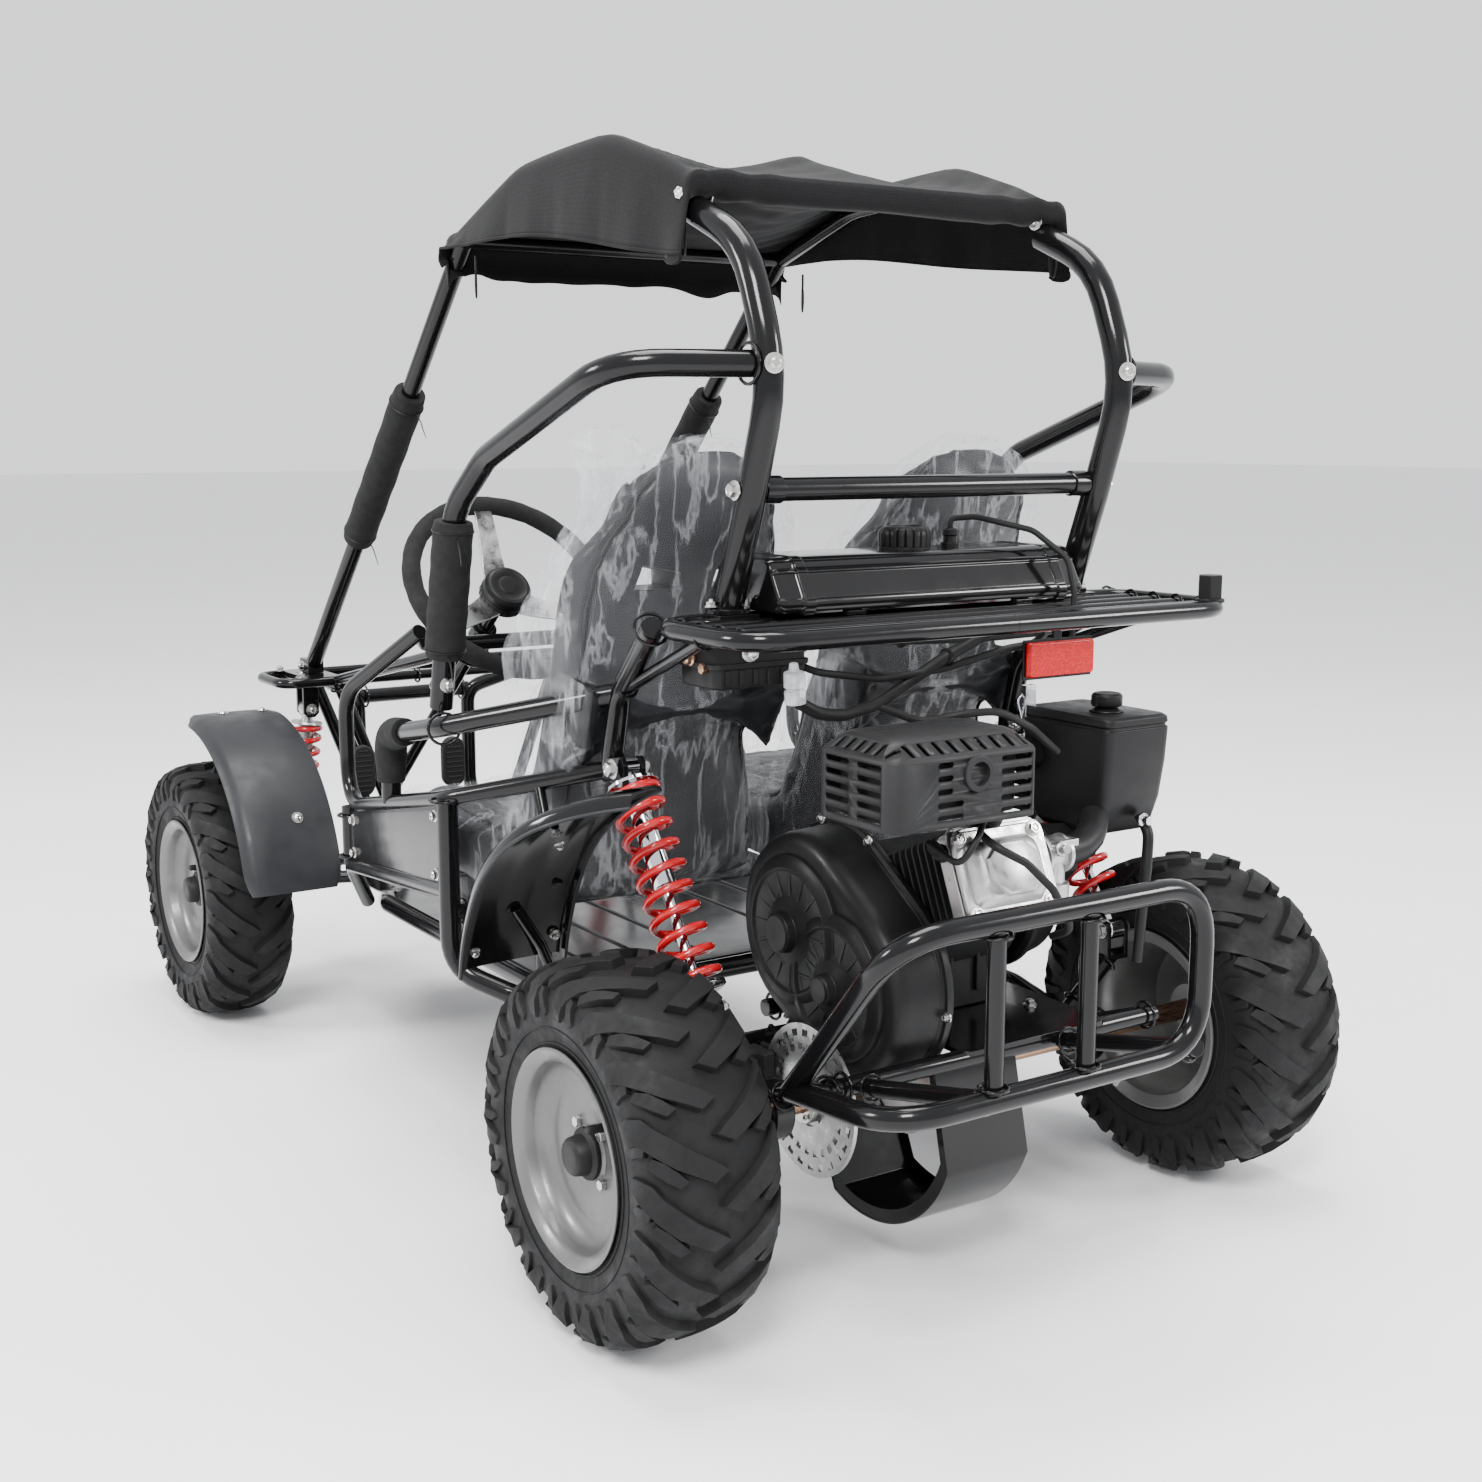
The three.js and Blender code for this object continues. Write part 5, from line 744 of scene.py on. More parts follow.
# the part's material slot that each finish shows, where its piece stands for a node
SLOTS = dict(frame="frame_paint", plastic="black_plastic", foam="black_plastic", satin="satin_black_metal",
             guard="satin_black_metal", gloss="gloss_plastic", fender="grey_plastic", tyre="tyre_rubber",
             rim="rim_silver", copper="axle_zinc", dark_cast="engine_metal", cast="cast_metal",
             spring="spring_red", seat="seat_cover", cloth="canopy_cloth")


# Settings in the sidebar
def colour(name, description, default):
    return bpy.props.FloatVectorProperty(name=name, description=description, subtype="COLOR", size=3, min=0,
                                         max=1, default=default)


def metres(name, description, default, least, most):
    return bpy.props.FloatProperty(name=name, description=description, unit="LENGTH", default=default,
                                   min=least, max=most)


class KartColours(bpy.types.PropertyGroup):
    """Colours of the kart's finishes."""
    frame_paint: colour("Frame paint", "Powder coat of the tubes and plates", (0.0035, 0.0035, 0.0038))
    plastic: colour("Black plastic", "Covers, boxes and caps", (0.006, 0.006, 0.0064))
    front_fender: colour("Front fenders", "Moulded front fenders", (0.017, 0.0178, 0.0195))
    canopy: colour("Canopy cloth", "Woven roof cloth", (0.006, 0.006, 0.0065))
    seat: colour("Seat cover", "Grained seat vinyl", (0.009, 0.0094, 0.011))
    spring: colour("Springs", "Gloss paint of the coil springs", (0.42, 0.004, 0.008))
    rim: colour("Rims", "Satin silver paint of the wheels", (0.125, 0.125, 0.123))
    tyre: colour("Tyres", "Black rubber of the tyres", (0.0055, 0.0055, 0.0058))


class KartSizes(bpy.types.PropertyGroup):
    """Sizes of the kart's dressed pieces."""
    foam_radius: metres("Foam sleeve", "Radius of the sleeves on the posts and arms", 0.024, 0.018, 0.03)
    spring_wire: metres("Spring wire", "Radius of the coil springs' wire", 0.0047, 0.002, 0.007)
    tread_depth: metres("Tread depth", "Height of the tyres' lugs", 0.010, 0.004, 0.014)
    tread_pitches: bpy.props.IntProperty(
        name="Tread pitches", description="V-shaped lugs round each tyre",
        default=18, min=12, max=26)
    film_gap: metres("Film gap", "How far the clear wrapping stands off the seats", 0.005, 0.001, 0.01)


class KART_OT_finishes(bpy.types.Operator):
    """Makes the kart's procedural finishes"""
    bl_idname = "kart.finishes"
    bl_label = "Finishes"

    def execute(self, context):
        colour = context.scene.kart_colours
        FINISH.update(
            frame=painted("frame_paint", colour.frame_paint, 0.15, 0.12),
            panel=painted("gloss_panel", tinted(colour.frame_paint, 1.1), 0.12, 0.1, grain=300, depth=0.02),
            guard=painted("guard_paint", (0.013, 0.013, 0.0135), 0.45, 0.0, grain=900, depth=0.03),
            satin=painted("satin_black", tinted(colour.frame_paint, 1.6), 0.4, 0.0),
            plastic=moulded("black_plastic", colour.plastic, 0.42),
            gloss=painted("gloss_plastic", tinted(colour.plastic, 0.7), 0.13, 0.3, grain=120, depth=0.06),
            fender=moulded("fender_plastic", colour.front_fender, 0.4, 1300, 0.04),
            cloth=woven("canopy_cloth", colour.canopy),
            webbing=woven("webbing", tinted(colour.canopy, 1.3), 1.2),
            seat=leathered("seat_cover", colour.seat),
            film=clear_film("clear_film"),
            clear=see_through("clear_plastic"),
            foam=foamed("foam_sleeve", (0.006, 0.006, 0.0063)),
            tyre=rubbered("tyre_rubber", colour.tyre),
            boot=rubbered("boot_rubber", (0.008, 0.008, 0.008), 0.55, 500),
            rim=painted("rim_silver", colour.rim, 0.36, 0.2, 0.65, 1600, 0.015, 0.06),
            spring=painted("spring_red", colour.spring, 0.2, 0.8, grain=500, spread=0.12),
            chrome=metal("damper_chrome", (0.62, 0.62, 0.64), 0.07, grain=200, depth=0.004, marks=0.15),
            zinc=metal("bright_zinc", (0.58, 0.57, 0.55), 0.24, grain=900, depth=0.02),
            cast=metal("cast_metal", (0.5, 0.5, 0.49), 0.33, grain=260, depth=0.14),
            dark_cast=painted("dark_cast", (0.02, 0.02, 0.021), 0.5, 0.0, 0.4, 320, 0.12),
            steel=metal("bare_steel", (0.32, 0.31, 0.3), 0.38, grain=500, depth=0.03, marks=1.0),
            copper=metal("copper_zinc", (0.56, 0.34, 0.22), 0.27, (1, 14, 14), 120, 0.02),
            disc=metal("ground_steel", (0.45, 0.45, 0.45), 0.3, (1, 1, 1), 700, 0.03),
            red=reflector_red("reflector_red", (0.4, 0.002, 0.004)),
        )
        return {"FINISHED"}


class KART_OT_stage(bpy.types.Operator):
    """Sets the camera, the studio lights and the pale floor"""
    bl_idname = "kart.stage"
    bl_label = "Stage"

    def execute(self, context):
        scene = context.scene
        lens = bpy.data.cameras.new("camera")
        lens.lens = 44.52
        lens.sensor_width = 36.0
        lens.clip_end = 100
        camera = bpy.data.objects.new("camera", lens)
        scene.collection.objects.link(camera)
        camera.location = lay((1307.6, 1581.3, 935.6))
        yaw, pitch = radians(-123.3), radians(-9.6)
        look = Vector((cos(yaw) * cos(pitch), sin(yaw) * cos(pitch), sin(pitch)))
        camera.rotation_mode = "QUATERNION"
        camera.rotation_quaternion = look.to_track_quat("-Z", "Y")
        scene.camera = camera

        world = bpy.data.worlds.new("studio")
        world.use_nodes = True
        sky = world.node_tree.nodes["Background"].inputs
        sky["Color"].default_value = (0.93, 0.94, 0.96, 1)
        sky["Strength"].default_value = 1.5
        scene.world = world
        for name, place, target, size, power in (
            ("key", (2.6, 3.2, 4.2), (0, 0, 0.5), 1.5, 380),
            ("left", (4.2, -1.6, 2.6), (0, -0.3, 0.5), 1.1, 170),
            ("rear_right", (-3.2, 3.4, 2.4), (0, 0.3, 0.5), 1.1, 150),
            ("top", (0, 0, 4.6), (0, 0, 0), 2.4, 260),
        ):
            light = bpy.data.lights.new(name, "AREA")
            light.size = size
            light.energy = power
            lamp = bpy.data.objects.new(name, light)
            scene.collection.objects.link(lamp)
            lamp.location = place
            lamp.rotation_mode = "QUATERNION"
            lamp.rotation_quaternion = (Vector(target) - Vector(place)).to_track_quat("-Z", "Y")

        ground = bpy.data.meshes.new("floor")
        reach = 40
        ground.from_pydata([(-reach, -reach, 0), (reach, -reach, 0), (reach, reach, 0), (-reach, reach, 0)],
                           [], [(0, 1, 2, 3)])
        floor = bpy.data.objects.new("floor", ground)
        scene.collection.objects.link(floor)
        pale = Paint("pale_floor")
        pale.coloured(pale.noise(3, 3), (0.83, 0.83, 0.84), (0.87, 0.87, 0.88))
        ground.materials.append(pale.fixed(Roughness=0.9))
        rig.stage(floor)
        return {"FINISHED"}


# Routes shared by the frame pieces
FLOOR_RAIL = [(300, -352, 248), (300, -900, 248), (230, -1080, 208), (106, -1190, 205), (106, -1440, 205),
              (106, -1488, 300), (106, -1488, 470), (232, -1372, 535)]
NOSE_RAIL = [(232, -1252, 535), (232, -790, 630), (232, -690, 652)]
TOWER_LOOP = [(106, -1252, 535), (324, -1252, 535), (324, -1372, 535), (106, -1372, 535)]
MID_RAIL = [(300, -222, 555), (425, -400, 504), (380, -836, 415), (380, -836, 576), (345, -652, 676)]
POST = [(425, -400, 504), (425, -400, 294.5), (372, -330, 268), (300, -306, 248)]
SILL = [(425, -400, 389), (380, -836, 331), (318, -935, 248)]
UPPER = [(401.5, -628, 457.5), (400, -628, 548), (420, -427, 586), (300, -200, 645)]
LEG = [(335, -68, 733), (300, -200, 645), (300, -222, 555)]
RACK_LOOP = [(0, -68, RACK_H), (335, -68, RACK_H), (335, 118, RACK_H), (0, 118, RACK_H)]
HOOP_ROUTE = [(245, -62, 744), (245, -18.6, 862.5), (245, 24, 992), (245, -28.4, 1126), (245, -122, 1166)]
BOW = [(250, -690, 1180), (250, -510, 1231.7), (250, -290, 1243), (250, -180.8, 1213.7), (250, -122, 1193)]
SIDE_ARM = [(245, 8, 1003), (398, -42, 1003), (398, -330, 905), (404, -404, 846), (408, -448, 606)]
POST_FOOT, POST_TOP = (250, -1326, 543.4), (250, -690, 1180)
SEAT_BARS = ((-620, 397), (-400, 419.7))
COLUMN_FOOT, COLUMN_TOP = (190, -1243, 281), (190, -722, 709)
CROSS_BAR = (-22, 875)  # y and height


def column_point(along, down=0.0, side=0.0):
    """A point in the steering column's own frame."""
    foot, axis = Vector(COLUMN_FOOT), (Vector(COLUMN_TOP) - Vector(COLUMN_FOOT)).normalized()
    drop = Vector((0, axis.z, -axis.y))
    return foot + axis * along + drop * down + Vector((side, 0, 0))


class KART_OT_floor_frame(bpy.types.Operator):
    """Builds the floor rails and pan, the nose and the shock tower"""
    bl_idname = "kart.floor_frame"
    bl_label = "Floor frame"

    def execute(self, context):
        skin = Skin()
        for s in (1, -1):
            skin.tube(sided(FLOOR_RAIL, s), RAIL, 40)
            skin.tube(sided(NOSE_RAIL, s), 9.5, 60)
            skin.tube(sided(TOWER_LOOP, s), 8, 30)
            for y in (-1252, -1372):
                joined(skin, [(s * 106, y, 205), (s * 232, y, TOWER_H)], LIGHT)
            for y, _ in SEAT_BARS:
                joined(skin, [(s * 300, y, FLOOR_H), (s * 300, y, 362)], LIGHT)
            # arm ears, swing arm ears and front shock ears
            for y in (-1401.5, -1225.5):
                for side in (-20.35, 20.35):
                    skin.prism([(s * x, y + side - 3, z) for x, z in (
                        (106, 194), (146, 194), (146, 216), (106, 216))], (0, 6, 0))
            for x in (166.65, 225.35):
                mount_ear(skin, s * x - 3, s * x + 3,
                          [(-352, 231), (-318, 231), (-304, 237), (-301, 248), (-304, 259), (-318, 265),
                           (-352, 265)])
            for side in (-14.35, 14.35):
                skin.prism([(s * x, FRONT_SHOCK_Y + side - 3, z) for x, z in (
                    (249, 543), (249, 478), (256, 471), (268, 471), (275, 478), (275, 543))], (0, 6, 0))
            skin.block((226, -1372, 534), (285, -1252, 543), s)
        for y, z, half, radius in ((-352, FLOOR_H, 300, RAIL), (-900, FLOOR_H, 300, LIGHT),
                                   (-1080, 208, 230, LIGHT), (-1440, 205, 106, LIGHT),
                                   (-1488, 470, 106, RAIL), (-1190, 205, 106, LIGHT),
                                   (-1252, TOWER_H, 106, 8), (-1372, TOWER_H, 106, 8)):
            across(skin, y, z, half, radius)
        for y, half in SEAT_BARS:
            across(skin, y, 362, half, LIGHT)
        dash_end = (341.7, -657, 672.9)
        skin.tube([(-dash_end[0], *dash_end[1:]), (-320, -690, 652), (320, -690, 652), dash_end], LIGHT, 30)
        skin.tube([(-232, -790, 630), (-206, -790, 614), (206, -790, 614), (232, -790, 630)], LIGHT, 28)
        along = (-790 - COLUMN_FOOT[1]) / (Vector(COLUMN_TOP) - Vector(COLUMN_FOOT)).normalized().y
        axis = (Vector(COLUMN_TOP) - Vector(COLUMN_FOOT)).normalized()
        skin.turned(column_point(along - 12), axis,
                    bored(24, 11, 18, 1), 28)
        skin.tube([(190, -790, 614), tuple(column_point(along, 12))], 7)
        # pan with pressed ribs, and its pedal ears
        rows = [(-356, 263, 300), (-900, 263, 300), (-1080, 223, 245), (-1205, 223, 245)]
        top = [[(x * half / 300, y, z) for x in (-300, -150, 0, 150, 300)] for y, z, half in rows]
        skin.loft([t + [(x, y, z - 3) for x, y, z in reversed(t)] for t in top])
        for x in (-225, -150, -75, 75, 150, 225):
            skin.tube([(x, -380, 262.2), (x, -880, 262.2)], 3.2, sides=10)
        for x in (224, 66):
            skin.block((x - 26, -1194, 222), (x + 26, -1174, 227))
            for side in (-23.5, 20.5):
                mount_ear(skin, x + side, x + side + 3, eye_outline(-1184, 246, 9, 226))
        skin.piece("floor_frame_tubes", "chassis", "frame", 0.6, 40, node="floor_frame")
        bolts = Skin()
        for s in (1, -1):
            for x, y, z in ((135, -1401.5, 205), (135, -1225.5, 205), (262, FRONT_SHOCK_Y, 484)):
                through_bolt(bolts, (s * x, y, z), Y, 23.5 if z == 205 else 17.5, 5)
            through_bolt(bolts, (s * 196, -318, 248), X, 32.5, 6)
            bolt(bolts, (s * 290, -1262, 543), Z, 4.5)
            bolt(bolts, (s * 290, -1362, 543), Z, 4.5)
        for x in (224, 66):
            through_bolt(bolts, (x, -1184, 246), X, 24, 4)
        bolts.piece("floor_frame_bolts", "chassis", "zinc")
        return {"FINISHED"}


class KART_OT_side_frames(bpy.types.Operator):
    """Builds both side frames with their elbow pads and gloss side panels"""
    bl_idname = "kart.side_frames"
    bl_label = "Side frames"

    def execute(self, context):
        for side, s in SIDES:
            skin = Skin()
            skin.tube(sided(MID_RAIL, s), LIGHT, 60)
            skin.tube(sided(POST, s), RAIL, 55)
            skin.tube(sided(SILL, s), LIGHT, 60)
            skin.tube(sided(UPPER, s), RAIL, 70)
            skin.tube(sided(LEG, s), RAIL, 60)
            joined(skin, sided([(380, -836, 415), (380, -836, 331)], s), LIGHT)
            weld(skin, (s * 425, -400, 502), Z, RAIL + 1)
            weld(skin, (s * 421, -412, 586), (0.3, 1, 0.2), RAIL)
            for x in (285.5, 308.5):
                mount_ear(skin, s * x - 3, s * x + 3,
                          [(-224, 541), (-178, 548), (-174, 556), (-174, 568), (-180, 575), (-224, 568)])
            skin.piece("side_frame_tubes_" + side, "chassis", "frame", 0.6, 40,
                       node="side_frame_" + side)
            pad = Skin()
            line = bent(sided([(401, -628, 486), (400, -628, 548), (406, -566, 559.7)], s), 30, 10)
            radii = [18.0] + [21.0] * (len(line) - 2) + [18.0]
            pad.sweep(line, radii, 28)
            pad.piece("elbow_pad_" + side, "chassis", "foam", 1.5, 30)
            panel = Skin()
            rows = []
            for i in range(15):
                t = i / 14
                x, y = mix(425, 380, t), mix(-400, -836, t)
                high, low = mix(504, 415, t), mix(389, 331, t)
                bow = 2.5 * sin(pi * t)
                rows.append([(s * (x - 1.5), y, high), (s * (x + 2 + bow), y, high - 9),
                             (s * (x + 3.5 + bow), y, high - 14), (s * (x + 3.5 + bow), y, low + 14),
                             (s * (x + 2 + bow), y, low + 9), (s * (x - 1.5), y, low),
                             (s * (x - 3.2), y, low + 2), (s * (x - 3.2), y, high - 2)])
            panel.loft(rows)
            panel.piece("side_panel_" + side, "chassis", "panel", 0.5, 40)
            bolts = Skin()
            for t in (0.08, 0.92):
                x, y = mix(425, 380, t), mix(-400, -836, t)
                for z in (mix(504, 415, t) - 20, mix(389, 331, t) + 20):
                    bolt(bolts, (s * (x + 4), y, z), (s, 0, 0), 4, 0)
            through_bolt(bolts, (s * 300, -188.2, 561.5), X, 17.5, 6)
            bolts.piece("side_frame_bolts_" + side, "chassis", "zinc")
        return {"FINISHED"}


class KART_OT_rack(bpy.types.Operator):
    """Builds the rear rack with its slats and braces"""
    bl_idname = "kart.rack"
    bl_label = "Rear rack"

    def execute(self, context):
        skin = Skin()
        for s in (1, -1):
            skin.tube(sided(RACK_LOOP, s), LIGHT, 55)
            end = (s * 335, 43.6, RACK_H)
            joined(skin, [between((s * 300, -200, 645), end, 0.05), end], SLAT)
            skin.block((s * 245 - 25, -78, 727), (s * 245 + 25, -38, 743.2))
            weld(skin, (s * 333, -75, 730), (0.2 * s, 0.8, 0.5), RAIL)
        for i in range(1, 5):
            across(skin, -68 + 186 * i / 5, RACK_H, 335, SLAT)
        # bracket of the red reflector
        skin.block((-88, 96, 684), (-76, 99, 733))
        skin.block((-132, 97.5, 668), (-32, 100, 712))
        skin.piece("rear_rack_tubes", "chassis", "frame", 0.6, 40, node="rear_rack")
        lens = Skin()
        outline = rounded(-130, -35, 671, 709, 3)
        lens.loft([[(x, 100.2, z) for x, z in outline], [(x, 105, z) for x, z in outline],
                   [((x + 82.5) * 0.97 - 82.5, 107.5, (z - 690) * 0.93 + 690) for x, z in outline]])
        lens.piece("rear_reflector", "chassis", "red", 0.5, 40)
        cap = Skin()
        hexagon(cap, (-318, 100, 743), Z, 15, 28)
        cap.turned((-318, 100, 739), Z, [(0, 12), (0, 17), (4, 17), (5, 15), (5, 0)], 24)
        cap.piece("rack_cap_nut", "chassis", "plastic", 1.2, 30)
        return {"FINISHED"}


def foam_sleeve(name, s, low, high, steps, beat, radius):
    """A slightly uneven sleeve between two points, drawn in at its ends."""
    sleeve = Skin()
    line = [between(low, high, i / steps) for i in range(steps + 1)]
    radii = [radius * (0.93 if i in (0, steps) else 1.0 + 0.02 * sin(i * beat)) for i in range(steps + 1)]
    sleeve.sweep(sided(line, s), radii, 32)
    sleeve.piece(name, "chassis", "foam", 1.5, 30)


class KART_OT_cage(bpy.types.Operator):
    """Builds the roll hoops, cross bar, roof bows, front posts, side arms and foam sleeves"""
    bl_idname = "kart.cage"
    bl_label = "Roll cage"

    def execute(self, context):
        rng = random.Random(7)
        foam = context.scene.kart_sizes.foam_radius * 1000
        ties = Skin()
        for side, s in SIDES:
            skin = Skin()
            skin.tube(sided(HOOP_ROUTE, s), HOOP, 150, 28)
            skin.turned((s * 245, -62, 743.6), Z, [(0, 0), (0, 24), (5, 24), (7, 17), (7, 0)], 28)
            skin.piece("roll_hoop_tube_" + side, "chassis", "frame", 0.5, 40,
                       node="roll_hoop_" + side)
            post = Skin()
            post.tube(sided([POST_FOOT, POST_TOP], s), 13)
            post.block((s * 250 - 13, -1339, 543.4), (s * 250 + 13, -1300, 566))
            post.piece("front_post_tube_" + side, "chassis", "frame", 0.6, 40,
                       node="front_post_" + side)
            low, high = between(POST_FOOT, POST_TOP, 0.36), between(POST_FOOT, POST_TOP, 0.7)
            foam_sleeve("post_sleeve_" + side, s, low, high, 24, 1.3, foam)
            run = Vector(high) - Vector(low)
            for share in (0.05, 0.93):
                point = between(low, high, share)
                cable_tie(ties, (s * point[0], *point[1:]), (s * run.x, run.y, run.z), foam,
                          (-0.2 * s, 0.7, -0.5), rng)
            arm = Skin()
            arm.tube(sided(SIDE_ARM, s), 14, 80, 24)
            weld(arm, (s * 262, 3, 1003), X, 14)
            arm.piece("side_arm_tube_" + side, "chassis", "frame", 0.6, 40,
                      node="side_arm_" + side)
            low, high = between(SIDE_ARM[3], SIDE_ARM[4], 0.06), between(SIDE_ARM[3], SIDE_ARM[4], 0.74)
            foam_sleeve("arm_sleeve_" + side, s, low, high, 18, 1.7, foam)
            for share in (0.07, 0.94):
                point = between(low, high, share)
                cable_tie(ties, (s * point[0], *point[1:]), (0, 0.15, 1), foam, (0.2 * s, 0.8, -0.3), rng)
        ties.piece("cable_ties", "chassis", "plastic")
        bar = Skin()
        y, z = CROSS_BAR
        bar.tube([(-231, y, z), (231, y, z)], RAIL, sides=24)
        for s in (1, -1):
            bar.turned((s * 229, y, z), (-s, 0, 0), [(0, 13), (0, 15), (22, 15), (23, 13), (23, 0)], 24)
        bar.piece("cross_bar_tube", "chassis", "frame", 0.5, 40, node="hoop_cross_bar")
        roof = Skin()
        for s in (1, -1):
            roof.tube(sided(BOW, s), 11, 150)
        roof.tube([(-250, -690, 1180), (250, -690, 1180)], 9.5)
        roof.tube([(-250, -122, 1193), (250, -122, 1193)], 9.5)
        roof.piece("roof_tubes", "chassis", "frame", 0.5, 40, node="roof_frame")
        bolts = Skin()
        for s in (1, -1):
            through_bolt(bolts, (s * 245, y, z), X, 17, 5.5)
            through_bolt(bolts, (s * 245, 17, 1003), (0.35, 1, 0), 17, 5.5)
            through_bolt(bolts, (s * 247, -122, 1182), (1, 0.2, 0), 17, 5)
            bolt(bolts, (s * 266, -62, 751), Z, 4)
            bolt(bolts, (s * 224, -62, 751), Z, 4)
            through_bolt(bolts, (s * 408, -443, 634), (0, 1, 0.1), 15, 5)
            bolt(bolts, (s * 250, -1316, 566), Z, 4.5, 4)
            bolt(bolts, (s * 263.5, -1325, 554), (s, 0, 0), 4.5, 4)
        bolts.piece("cage_bolts", "chassis", "zinc")
        return {"FINISHED"}


# Wheels
def carcass(half, width, radius, depth):
    """Half sections of a tyre from its crown to its bead, as (x, radius) pairs."""
    crown = radius - depth
    return [(0, crown), (width * 0.3, crown - 0.6), (width * 0.58, crown - 2.6), (width * 0.8, crown - 7.5),
            (width * 0.92, crown - 15), (width * 0.985, crown - 27), (width, crown - 42),
            (width * 0.985, crown - 55), (half - 0.4, crown - 66), (half - 1.5, 117), (half - 1.2, 113.5)]


def make_tyre(name, body, centre, half, width, radius, sizes, replaced):
    """A tyre with V-shaped lugs, hooked shoulders and scalloped sidewalls."""
    depth = sizes.tread_depth * 1000
    pitches = sizes.tread_pitches
    profile = carcass(half, width, radius, depth)
    cx, cy, cz = centre

    def at(turn, u, lift):
        """A point at a turn round the wheel, u along the half section and lift above it."""
        sign = -1 if u < 0 else 1
        spot = min(abs(u), 0.999) * (len(profile) - 1)
        i = int(spot)
        (x0, r0), (x1, r1) = profile[i], profile[i + 1]
        x, r = mix(x0, x1, spot - i), mix(r0, r1, spot - i)
        slope = Vector((-(r1 - r0), x1 - x0)).normalized()
        x, r = x + slope.x * lift, r + slope.y * lift
        return (cx + sign * x, cy + r * sin(turn), cz - r * cos(turn))

    skin = Skin()
    outline = [(-x, r) for x, r in reversed(profile[1:])] + list(profile)
    inner = [(half - 7, 103.5), (-(half - 7), 103.5)]
    skin.wheel(centre, outline + inner, 96)
    pitch = 2 * pi / pitches

    def lug(path, breadths, lift, sides_in=1.6):
        """A block along a path of (turn, u) points, its flanks drawn in towards the top."""
        rings = []
        last = len(path) - 1
        for i, (turn, u) in enumerate(path):
            (t0, u0), (t1, u1) = path[max(i - 1, 0)], path[min(i + 1, last)]
            along = Vector(((t1 - t0) * radius, (u1 - u0) * 130)).normalized()
            out = Vector((-along.y, along.x))
            ends = 1 if i in (0, last) else 0
            tip = along * (sides_in if i == 0 else -sides_in if i == last else 0)
            ring = []
            for offset, high in ((-1, 0), (-1, 1), (1, 1), (1, 0)):
                reach = offset * (breadths[i] / 2 - high * sides_in)
                shift = tip * high * ends
                ring.append(at(turn + (out.x * reach + shift.x) / radius, u + (out.y * reach + shift.y) / 130,
                               lift[i] if high else -1.2))
            rings.append(ring)
        skin.loft(rings)

    for k in range(pitches):
        for side in (-1, 1):
            base = k * pitch + (0.5 * pitch if side < 0 else 0)
            main = [(0.00, 0.015), (0.10, 0.09), (0.22, 0.19), (0.37, 0.29), (0.50, 0.38), (0.60, 0.455),
                    (0.66, 0.54), (0.70, 0.62)]
            skin_path = [(base + t * pitch * 1.5, side * u) for t, u in main]
            lug(skin_path, [17, 19, 21, 23, 25, 27, 25, 17],
                [depth * share for share in (0.96, 1, 1, 0.95, 0.85, 0.68, 0.5, 0.28)])
            branch = [(0.66, 0.20), (0.76, 0.265), (0.86, 0.335), (0.94, 0.40)]
            lug([(base + t * pitch * 1.5, side * u) for t, u in branch], [11, 15, 16, 12],
                [depth * share for share in (0.9, 0.9, 0.82, 0.7)])
            hook = [(1.02, 0.40), (1.05, 0.47), (1.04, 0.54), (0.99, 0.61)]
            lug([(base + t * pitch * 1.5, side * u) for t, u in hook], [12, 16, 16, 10],
                [depth * share for share in (0.66, 0.6, 0.42, 0.24)])
    # raised bead line and wear ring on both sidewalls
    for side in (-1, 1):
        for u, lift, thick in ((0.88, 0.6, 1.6), (0.72, 0.4, 1.1)):
            skin.sweep([at(a, side * u, lift) for a in turns(72)], thick, 6, closed=True)
    return skin.piece(name, body, "tyre", 0.5, 40, node=replaced)


